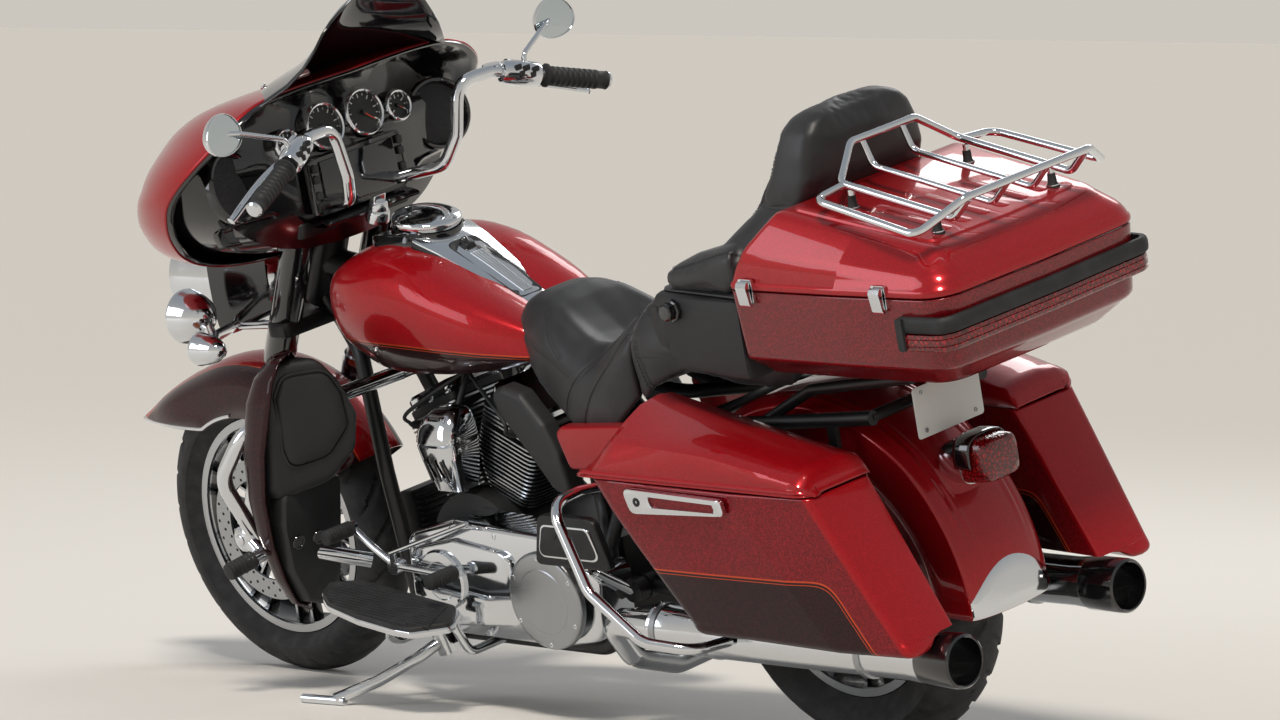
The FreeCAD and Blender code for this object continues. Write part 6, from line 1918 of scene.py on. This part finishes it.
def makePassengerBoard():
    pieces = [sideSlab("boardBody", boards["passenger"], [14, 20, 14, 14, 20, 14], 262.5, 278,
                       "blackPowderCoat", 5), sideSlab("boardTrim", boards["trim"], 18, 276, 282,
                                                       "chromePlate", 2), sideSlab("boardRubber",
                                                                                   boards["rubber"], 15,
                                                                                   279, 284, "blackRubber",
                                                                                   2)]
    t, z = boards["hinge"]
    for s in boards["studs"]:
        pieces.append(turned("padStud", [(0, 5), (3, 4.5), (4, 0)], (s, 283, 452), (s, 284, 452),
                             "blackRubber", sides=12))
    for s in boards["passengerHinges"]:
        pieces.append(sweep("hingeBarrel", [(s - 5, t, z), (s + 5, t, z)], 6, "blackPowderCoat"))
        pieces.append(flatSlab("hingeLug", (s - 5, s + 5), (t, t + 11), z - 5, 12, "blackPowderCoat", 1, 2))
    return joinPieces("passengerBoard", pieces)


for make, name, node, slot in ((makeRiderBoard, "RiderBoard", "rider_board", "rubber"),
                               (makePassengerBoard, "PassengerBoard", "passenger_board", "black_metal")):
    left, right = bothSides(make(), "left" + name, "right" + name, "left_" + node)
    standsFor(left, "left_" + node)
    standsFor(right, "right_" + node)


def rubberPeg(name, start, end, radius):
    # ribbed sleeve with a rounded end
    a, b = Vector(start), Vector(end)
    run = (b - a).length
    steps = max(3, int(run / 9))
    w = (run - 4) / steps
    profile = [(0, radius)]
    for k in range(steps):
        x = 2 + k * w
        profile += [(x, radius), (x + 0.2 * w, radius + 2.2), (x + 0.7 * w, radius + 2.2),
                    (x + 0.9 * w, radius)]
    profile += [(run - 1, radius + 1), (run, radius - 2), (run, 0)]
    return turned(name, profile, a, b, "blackRubber", "chassis", 20)


for peg in pegs:
    rubberPeg(*peg)
flatSlab("brakePad", *brakePad, 8, "blackRubber", 2, 8, "chassis")


def sidePair(name, part, t0, t1, finish, edge, steps):
    both = [sideSlab(part, shields[part], shields[part + "Round"], t0, t1, finish, edge, side, steps)
            for side in (-1, 1)]
    return joinPieces(name, both, "chassis")


standsFor(sidePair("kneeShields", "knee", 150, 192, "texturedBlackPlastic", 16, 5), "knee_shields")
standsFor(sidePair("sideCovers", "cover", 176, 205, "candyRedPaint", 12, 4), "side_covers")
print("boards and shields ready")


# Wheels: moulded tyres, cast rims with paired spokes, drilled discs. A tyre is given by its radius, half
# width, crown radius and rim radius; a rim by its radius, half width and hub radius.
wheels = {
    "front": {"s": 1625, "tyre": (320, 65, 65, 232), "rim": (231.7, 41.3, 44), "discs": (-72, 72)},
    "rear": {"s": 0, "tyre": (318.7, 90, 104, 214), "rim": (213.7, 56.8, 62), "discs": (-64,)},
}
tread = {"repeats": 24, "fine": 14, "columns": 15, "deep": 6, "share": 0.2, "slant": 1.15, "plain": 0.12,
         "shoulder": 0.88}
discs = {"columns": 48, "rows": 3, "thick": 5, "inner": 108, "outer": 149, "hole": 3.4, "closed": 0.6,
         "arms": 5}
spokes = {"count": 10, "near": 9, "far": 24,
          "sections": ((0, 6, 22), (0.3, 5, 16), (0.7, 4.5, 13), (1, 6, 15))}
pulley = [(62, 60), (62, 108), (64, 112), (88, 112), (90, 108), (90, 60)]


def onWheel(s, radius, turn, t):
    return (s + radius * math.sin(turn), t, axleHeight + radius * math.cos(turn))


def onAxle(name, profile, s, t, finish, body=None, **more):
    # turned piece on a wheel's axis, measured from the place t
    return turned(name, profile, (s, t, axleHeight), (s, t + 1, axleHeight), finish, body, **more)


def makeTyre(end):
    # slanted grooves are cut into the crown on both sides of a plain centre band
    s, (radius, half, crown, rim) = wheels[end]["s"], wheels[end]["tyre"]
    edge, bead = half * 0.985, half * 0.62
    count = tread["repeats"] * tread["fine"]

    def height(t):
        return radius - crown + math.sqrt(crown * crown - t * t)
    wall = [(-(bead - 12), rim + 1), (-bead, rim),
            (-(0.55 * bead + 0.45 * edge) - 1.5, 0.55 * rim + 0.45 * height(edge)),
            (-edge * 0.975, height(edge) - 9)]
    columns = [edge * k / tread["columns"] for k in range(-tread["columns"], tread["columns"] + 1)]
    rings = []
    for i in range(count):
        ring = list(wall)
        for t in columns:
            share = abs(t) / edge
            phase = (i / tread["fine"] + (0.5 if t > 0 else 0) + tread["slant"] * share) % 1
            cut = phase < tread["share"] and tread["plain"] < share < tread["shoulder"]
            ring.append((t, height(t) - (tread["deep"] if cut else 0)))
        ring += [(-t, r) for t, r in reversed(wall)]
        rings.append([onWheel(s, r, 2 * math.pi * i / count, t) for t, r in ring])
    tyre = loft(end + "Tyre", rings + rings[:1], "tyreTread", end + "_wheel", closed=False, sharp=35)
    standsFor(tyre, end + "_tyre")


def drilledDisc(s, t):
    # each cell of the disc's two faces is a ring of eight corners around an eight-sided hole
    columns, rows = discs["columns"], discs["rows"]
    inner, outer, half = discs["inner"], discs["outer"], discs["thick"] / 2
    points, faces = [], []
    for side in (-1, 1):
        for row in range(rows):
            r0 = inner + (outer - inner) * row / rows
            r1 = inner + (outer - inner) * (row + 1) / rows
            for c in range(columns):
                a0, a1 = 2 * math.pi * c / columns, 2 * math.pi * (c + 1) / columns
                am, rm = (a0 + a1) / 2, (r0 + r1) / 2
                corners = [(r0, a0), (r0, am), (r0, a1), (rm, a1), (r1, a1), (r1, am), (r1, a0), (rm, a0)]
                hole = discs["hole"] if (c + row) % 2 else discs["closed"]
                for k in range(8):
                    turn = math.pi * 2 * (k / 8) + math.pi * 1.25
                    corners.append((rm + hole * math.sin(turn), am + hole * math.cos(turn) / rm))
                start = len(points)
                points += [onWheel(s, r, a, t + side * half) for r, a in corners]
                faces += [(start + k, start + (k + 1) % 8, start + 8 + (k + 1) % 8, start + 8 + k)
                          for k in range(8)]
                if hole == discs["closed"]:
                    faces.append(tuple(start + 8 + k for k in range(8)))
    edges = [onAxle("discRim", [(-half, r), (half, r)], s, t, "brushedSteel", sides=96, caps=(False, False))
             for r in (inner, outer)]
    return [newPiece("drilledFace", points, faces, "brushedSteel", sharp=30)] + edges


def makeDisc(s, t):
    side = math.copysign(1, t)
    pieces = drilledDisc(s, t)
    pieces.append(onAxle("carrier", [(-2, 20), (-2, 60), (2, 60), (2, 20)], s, t, "machinedAlloy", sides=48,
                         sharp=30))
    pieces.append(turned("hat", [(0, 58), (abs(t) - 60, 58)], (s, t - 2 * side, axleHeight),
                         (s, 0, axleHeight), "wheelBlack"))
    for k in range(discs["arms"]):
        a = 2 * math.pi * k / discs["arms"]
        arm = [onWheel(s, r, a, t) for r in (52, 112)]
        pieces.append(sweep("discArm", arm, 8, "machinedAlloy", sides=8, flat=0.3))
        pieces.append(bolt("discBolt", onWheel(s, 50, a + 0.3, t + 2 * side), (0, side, 0), 6))
    return pieces


def makeRim(end):
    s, (rim, bead, hub) = wheels[end]["s"], wheels[end]["rim"]
    sides = 88
    band = [(-bead, rim - 18), (-bead, rim - 2), (-bead + 3, rim), (-bead + 10, rim - 3),
            (-bead + 16, rim - 9), (bead - 16, rim - 9), (bead - 10, rim - 3), (bead - 3, rim),
            (bead, rim - 2), (bead, rim - 18), (bead - 6, rim - 19), (bead - 14, rim - 15),
            (-bead + 14, rim - 15), (-bead + 6, rim - 19), (-bead, rim - 18)]
    barrel = [(-66, 0), (-66, hub * 0.8), (-60, hub), (-30, hub), (-24, hub * 0.86), (24, hub * 0.86),
              (30, hub), (60, hub), (66, hub * 0.8), (66, 0)]
    pieces = [onAxle("band", band, s, 0, "wheelBlack", sides=sides, caps=(False, False), sharp=30,
                     extra=("machinedAlloy",), faceFinish=lambda i: 1 if i // sides in (0, 1, 8, 9, 10, 13)
                     else 0), onAxle("hub", barrel, s, 0, "wheelBlack", sides=48, sharp=35)]
    for k in range(spokes["count"]):
        for side in (-1, 1):
            near, far = spokes["near"] * side / hub, spokes["far"] * side / rim
            rings = []
            for u, half, t in spokes["sections"]:
                r = hub - 6 + (rim - 12 - hub + 6) * u
                a = 2 * math.pi * k / spokes["count"] + near + (far - near) * u
                section = ((-1, t - 3), (-0.6, t), (0.6, t), (1, t - 3), (1, 3 - t), (0.6, -t), (-0.6, -t),
                           (-1, 3 - t))
                rings.append([onWheel(s, r, a + x * half / r, y) for x, y in section])
            pieces.append(loft("spoke", rings, "wheelBlack", sharp=35, extra=("machinedAlloy",),
                               faceFinish=lambda i: 1 if i % 8 in (1, 5) and i < 24 else 0))
    for t in wheels[end]["discs"]:
        pieces += makeDisc(s, t)
    standsFor(joinPieces(end + "Rim", pieces, end + "_wheel"), end + "_rim")


for end in wheels:
    makeTyre(end)
for end in wheels:
    makeRim(end)
onAxle("drivePulley", pulley, 0, 0, "wheelBlack", "rear_wheel", sides=72, sharp=30)
print("wheels ready")


# Front fender: candy crown, dark sides, a chrome strip along its lower edge. Angles are in degrees from
# the top of the wheel.
fender = {"start": -62, "span": 123.4, "rings": 54, "crownSteps": 13, "wall": 4, "line": 55,
          "stripStart": 8, "stripSpan": 53.4, "stripSteps": 24, "strip": 4.6}


def fenderColour(tree, mm, y, t, z):
    off = maths(tree, "SUBTRACT", maths(tree, "ABSOLUTE", t), fender["line"])
    base = blendColours(tree, ramp(tree, off, -0.2, 0.2), flakes(tree, mm, "candyFlakes"),
                        flakes(tree, mm, "fenderSideFlakes"))
    return blendColours(tree, stripe(tree, off, 0, 1.6, 1.2), base, paint["stripe"])


paintZones("fenderPaint", fenderColour)


def fenderSide(turn):
    # crown radius, half width and the radius of the lower edge at an angle in degrees from the top
    crown = 354 + (max(turn - 18, 0) / 43.6) ** 2 * 72
    half = 84.7 * max(1 - (max(turn - 36, 0) / 27) ** 2.4, 0.12) ** 0.5
    low = 242 if turn < -10 else max(242, 206 / math.cos(math.radians(min(turn, 61))))
    return crown, half, min(low, crown - 7)


def makeFrontFender():
    s, rings = wheels["front"]["s"], []
    for k in range(fender["rings"]):
        turn = fender["start"] + fender["span"] * k / (fender["rings"] - 1)
        crown, half, low = fenderSide(turn)
        drop = min(46, 0.8 * (crown - low))
        flat = [(half, low), (half, 0.5 * (low + crown - drop))]
        for a in [math.radians(15 * j) for j in range(fender["crownSteps"])]:
            flat.append((half * math.cos(a), crown - drop * (1 - math.sin(a))))
        flat += [(-half, flat[1][1]), (-half, low)]
        rings.append([onWheel(s, r, math.radians(turn), t) for t, r in flat])
    pieces = [thicken(loft("fenderShell", rings, "fenderPaint", closed=False, sharp=60), fender["wall"], 1)]
    for side in (-1, 1):
        path = []
        for k in range(fender["stripSteps"]):
            turn = fender["stripStart"] + fender["stripSpan"] * k / (fender["stripSteps"] - 1)
            half, low = fenderSide(turn)[1:]
            path.append(onWheel(s, low + 5, math.radians(turn), side * (half + 1)))
        pieces.append(sweep("fenderStrip", path, fender["strip"], "chromePlate", sides=10))
    return joinPieces("frontFender", pieces, "steering")


standsFor(makeFrontFender(), "front_fender")


# Fork: chrome sliders, black upper covers and both yokes. The steering axis passes through "foot" at the
# axle's height and goes back by "slope" for each millimetre up.
fork = {
    "foot": 1644, "slope": 0.48773, "legs": (-116, 116), "behind": 19, "yokes": (775, 985),
    "yoke": ((34, -60), (-8, -154), (-61, -154), (-61, -80), (-61, 80), (-61, 154), (-8, 154), (34, 60)),
    "yokeRound": [24, 22, 22, 10, 10, 22, 22, 24], "yokeEdge": ((0, 3), (3, 0), (27, 0), (30, 3)),
    "boss": [(-25, 0), (-25, 22), (-22, 27), (22, 27), (26, 24), (30, 16), (32, 0)], "pinches": (318, 344),
}


def forkPoint(z, t, behind=fork["behind"]):
    return Vector((fork["foot"] - fork["slope"] * (z - axleHeight) - behind, t, z))


def makeForkLeg(t):
    side, s = math.copysign(1, t), wheels["front"]["s"]
    foot, knee = Vector((s, t, axleHeight)), forkPoint(646, t)
    run = (knee - foot).length
    slider = [(-18, 0), (-18, 18), (-12, 24), (10, 27), (40, 26), (60, 24.5), (run * 0.55, 27),
              (run * 0.62, 30.5), (run - 16, 30.5), (run - 12, 29), (run, 29), (run, 25)]
    low, high = forkPoint(700, t), forkPoint(1000, t)
    tall = (high - low).length
    cover = [(0, 25), (0, 31), (4, 33), (tall - 4, 33), (tall, 30), (tall, 0)]
    pieces = [turned("slider", slider, foot, knee, "chromePlate", sides=32, sharp=35),
              sweep("forkTube", [knee, forkPoint(800, t)], 24.5, "machinedAlloy", sides=28),
              turned("forkCover", cover, low, high, "glossBlackAbs", sides=36, sharp=35),
              turned("axleBoss", fork["boss"], foot, foot + Vector((0, side, 0)), "chromePlate", sides=32,
                     sharp=35), bolt("axleNut", foot + Vector((0, 27 * side, 0)), (0, side, 0), 13,
                                     socket=False)]
    return pieces + [bolt("pinch", (1652, t, z), (1, 0, 0), 5) for z in fork["pinches"]]


def makeYoke(z):
    corners = [(forkPoint(z, 0, -ds)[0], dt, z - 15) for ds, dt in fork["yoke"]]
    ring = roundCorners(corners, fork["yokeRound"], 5)
    rings = [[p + Vector((0, 0, rise)) for p in shrunk(ring, inset)] for rise, inset in fork["yokeEdge"]]
    return loft("yoke", rings, "blackPowderCoat", sharp=35)


def makeFork():
    pieces = makeForkLeg(fork["legs"][0]) + makeForkLeg(fork["legs"][1]) + [makeYoke(z)
                                                                            for z in fork["yokes"]]
    pieces.append(sweep("stem", [forkPoint(760, 0, 0), forkPoint(1003, 0, 0)], 16, "machinedAlloy", sides=24))
    ends = [(wheels["front"]["s"], t, axleHeight) for t in (-110, 110)]
    pieces.append(sweep("axle", ends, 12, "machinedAlloy", sides=20))
    return joinPieces("forkAssembly", pieces, "steering")


standsFor(makeFork(), "fork")


# Exhaust: header pipes with heat shields, chrome mufflers with black tips. The mufflers' profiles run back
# from their front ends.
exhaust = {"start": (436, 229, 269), "end": (-466, 229, 272), "bands": (120, 660),
           "body": [(0, 22), (0, 29), (30, 31), (105, 47), (112, 49), (118, 47), (260, 47), (264, 49),
                    (272, 49), (276, 47), (780, 47), (812, 49.5), (818, 49.5)],
           "tip": [(812, 44), (814, 50), (818, 52), (890, 52), (898, 51), (902, 47), (900, 44.5), (892, 44),
                   (740, 44), (740, 0)], "front": [(1082, -82.5, 580), (1082, -160, 580), (1110, -192, 300),
                                                   (1000, -196, 250), (700, -200, 245), (520, -229, 269),
                                                   (406, -229, 269)], "rear": [(790, -82.5, 580),
                                                                               (790, -165, 580), (700, -180,
                                                                                                  520),
                                                                               (650, -196, 380), (640, -199,
                                                                                                  250)],
           "cross": [(502, -175, 206), (488, -110, 126), (484, 60, 126), (478, 175, 176), (468, 229, 261),
                     (406, 229, 269)], "shieldWall": 1.5,}


def makeMuffler(side):
    start, end = [(s, side * t, z) for s, t, z in (exhaust["start"], exhaust["end"])]
    pieces = [turned("mufflerBody", exhaust["body"], start, end, "chromePlate", sides=56, sharp=30),
              turned("mufflerTip", exhaust["tip"], start, end, "glossBlackAbs", sides=56, sharp=30)]
    for run in exhaust["bands"]:
        s, t = start[0] - run, start[1]
        pieces.append(turned("band", [(0, 46), (0, 49.5), (14, 49.5), (14, 46)], (s, t, 269.5),
                             (s - 1, t, 269.5), "brushedSteel", sides=48, sharp=30))
        pieces.append(bolt("bandBolt", (s - 7, t, 316), (0, side, 0), 5))
    return pieces


def shieldOver(path, radius, side):
    # curved cover on the outer part of a pipe, from 100 degrees before its outermost line to 100 after it
    rings = []
    for i, p in enumerate(path):
        along = (path[min(i + 1, len(path) - 1)] - path[max(i - 1, 0)]).normalized()
        out = Vector((0, side, 0))
        out = (out - along * out.dot(along)).normalized()
        other = along.cross(out)
        rings.append([p + (out * math.cos(a) + other * math.sin(a)) * radius
                      for a in [math.radians(-100 + 20 * k) for k in range(11)]])
    return thicken(loft("heatShield", rings, "chromePlate", closed=False, sharp=50), exhaust["shieldWall"], 0)


def makeExhausts():
    front, rear, cross = [smoothPath(exhaust[name], bend, 8) for name,
                          bend in (("front", 90), ("rear", 70), ("cross", 80))]
    right = makeMuffler(-1) + [sweep("header", path, radius, "brushedSteel", sides=20) for path,
                               radius in ((front, 20), (rear, 18))]
    right += [shieldOver(front[10:], 23, -1), shieldOver(rear[8:-3], 21, -1)]
    left = makeMuffler(1) + [sweep("crossover", cross, 19, "brushedSteel", sides=20),
                             shieldOver(cross[-14:], 21, 1)]
    standsFor(joinPieces("rightExhaust", right, "chassis"), "exhaust_right")
    standsFor(joinPieces("leftExhaust", left, "chassis"), "exhaust_left")


makeExhausts()
print("front end and exhausts ready")


# Rear fender: raised ridges beside the lamp and a chrome tip over its lower edge. Angles in degrees from
# the top of the rear wheel.
rear = {"radius": 402, "half": 108, "drop": 24, "ridges": (66, 84), "ridge": 3.0, "wall": 3, "start": -92,
        "span": 128, "tip": ((-91.6, -4), (-91.9, 0), (-91.4, 2.4), (-88, 2.8), (-82, 2.6), (-78.5, 1.6),
                             (-77.6, -2.5)), "shell": ((-300, 50, 42, 578), (-340, 52, 46, 586),
                                                       (-352, 53, 48, 588)), "lens": ((-350, 50, 45, 588,
                                                                                       4),
                                                                                      (-390, 48, 43, 590,
                                                                                       4.5),
                                                                                      (-412, 45, 40, 591,
                                                                                       5),
                                                                                      (-418, 40, 35, 591,
                                                                                       5),
                                                                                      (-419.5, 30, 26, 591,
                                                                                       5)),
        "visor": ((-344, 56, 50), (-352, 57.5, 52), (-380, 56, 51), (-384, 54.5, 49.5)), "visorWall": 2,
        "plate": [(-298.2, -90, 642), (-298.2, 90, 642), (-298.2, 90, 740), (-298.2, -90, 740)],}


def rearCrown(t):
    # radius of the fender's outside at a place across the machine
    return rear["radius"] - rear["drop"] * (1 - math.cos(math.asin(min(1, abs(t) / rear["half"]))))


def rearSection(turn):
    half, flat = rear["half"], []
    fade = min(max((turn + 76) / 10, 0), 1)
    for k in range(-24, 25):
        u = k / 24
        t = half * math.sin(u * math.pi / 2) if abs(u) < 0.98 else half * u
        bump = sum(max(0, 1 - ((abs(t) - centre) / 6) ** 2) * rear["ridge"] * fade
                   for centre in rear["ridges"])
        flat.append((t, rearCrown(t) - 5 + bump))
    flat = [(-half, 252), (-half, 320)] + flat + [(half, 320), (half, 252)]
    return [onWheel(0, r, math.radians(turn), t) for t, r in flat]


def makeRearFender():
    sections = [rearSection(rear["start"] + rear["span"] * k / 60) for k in range(61)]
    shell = thicken(loft("rearShell", sections, "candyRedPaint", closed=False, sharp=60), rear["wall"], 0)
    rings = []
    for turn, lift in rear["tip"]:
        ring = []
        for k in range(-12, 13):
            t = 107 * math.sin(k / 12 * math.pi / 2)
            sweepBack = (abs(t) / 107) ** 2 * 9 * min(max((turn + 91) / 10, 0), 1)
            r = min(rearCrown(t) + lift - 3, rear["radius"])
            ring.append(onWheel(0, r, math.radians(turn - sweepBack), t))
        rings.append(ring)
    tip = loft("fenderTip", rings, "chromePlate", closed=False, sharp=50)
    return joinPieces("rearFender", [shell, tip], "chassis")


def superRing(s, half, tall, z, power, count=36):
    # rounded box across the machine: the higher the power, the squarer it is
    ring = []
    for k in range(count):
        a = 2 * math.pi * k / count
        c, n = math.cos(a), math.sin(a)
        scale = (abs(c) ** power + abs(n) ** power) ** (-1 / power)
        ring.append((s, half * c * scale, z + tall * n * scale))
    return ring


def makeTailLamp():
    pieces = [loft("lampShell", [superRing(*level, 3) for level in rear["shell"]], "chromePlate"),
              loft("lampLens", [superRing(*level) for level in rear["lens"]], "redAcrylicLens")]
    visor = []
    for s, half, tall in rear["visor"]:
        full = superRing(s, half, tall, 588, 3.4, 40)
        visor.append(full[-1:] + full[:22])
    pieces.append(thicken(loft("lampVisor", visor, "glossBlackAbs", closed=False, sharp=50),
                          rear["visorWall"], 0))
    return joinPieces("tailLamp", pieces, "chassis")


def makePlate():
    pieces = [slab("plateSheet", rear["plate"], (-1, 0, 0), 1.6, "plateEnamel", 0.6, 8),
              sweep("plateStay", [(-298, 0, 700), (-252.5, 0, 700)], 9, "blackPowderCoat")]
    pieces += [bolt("plateScrew", (-299, t, z), (-1, 0, 0), 4.5, "brushedSteel") for t in (-68, 68)
               for z in (655, 728)]
    return joinPieces("blankPlate", pieces, "chassis")


standsFor(makeRearFender(), "rear_fender")
standsFor(makeTailLamp(), "tail_lamp")
standsFor(makePlate(), "licence_plate")


# Loose trim: the rack's rubber feet, the cooler between the down tubes and the shift linkage
trim = {
    "foot": [(0, 13), (3, 13.5), (8, 12), (12, 9), (30, 7.6), (34, 0)], "feet": (-294, -499), "footT": 157,
    "coolerBody": [(1168, -78, 250), (1168, 78, 250), (1190, 78, 430), (1190, -78, 430)],
    "coolerFins": [262 + 12 * k for k in range(14)], "ahead": (-1, 0, 0.1),
    "linkage": (([(1034, 262, 372), (820, 240, 442)], 5), ([(1040, 250, 342), (1034, 258, 376)], 8),
                ([(820, 240, 442), (800, 150, 400)], 8)),
}


def makeFeet(t):
    return [turned("foot", trim["foot"], (s, t, lidTop(s) + 1.5), (s, t, lidTop(s) + 2.5), "blackRubber",
                   sides=20) for s in trim["feet"]]


def makeCooler():
    pieces = [slab("coolerBody", trim["coolerBody"], trim["ahead"], 34, "blackPowderCoat", 3, 8)]
    for z in trim["coolerFins"]:
        s = 1136 + 0.12 * (z - 250)
        outline = [(s, -70, z), (s, 70, z), (s, 70, z + 5), (s, -70, z + 5)]
        pieces.append(slab("coolerFin", outline, trim["ahead"], 12, "blackPowderCoat", 1, 2))
    return pieces


linkage = [sweep("shiftRod", path, radius, "chromePlate") for path, radius in trim["linkage"]]
joinPieces("rightRackFeet", makeFeet(-trim["footT"]), "trunk_lid")
joinPieces("leftRackFeet", makeFeet(trim["footT"]), "trunk_lid")
joinPieces("regulator", makeCooler(), "chassis")
joinPieces("shiftLinkage", linkage, "chassis")
print("rear end ready")
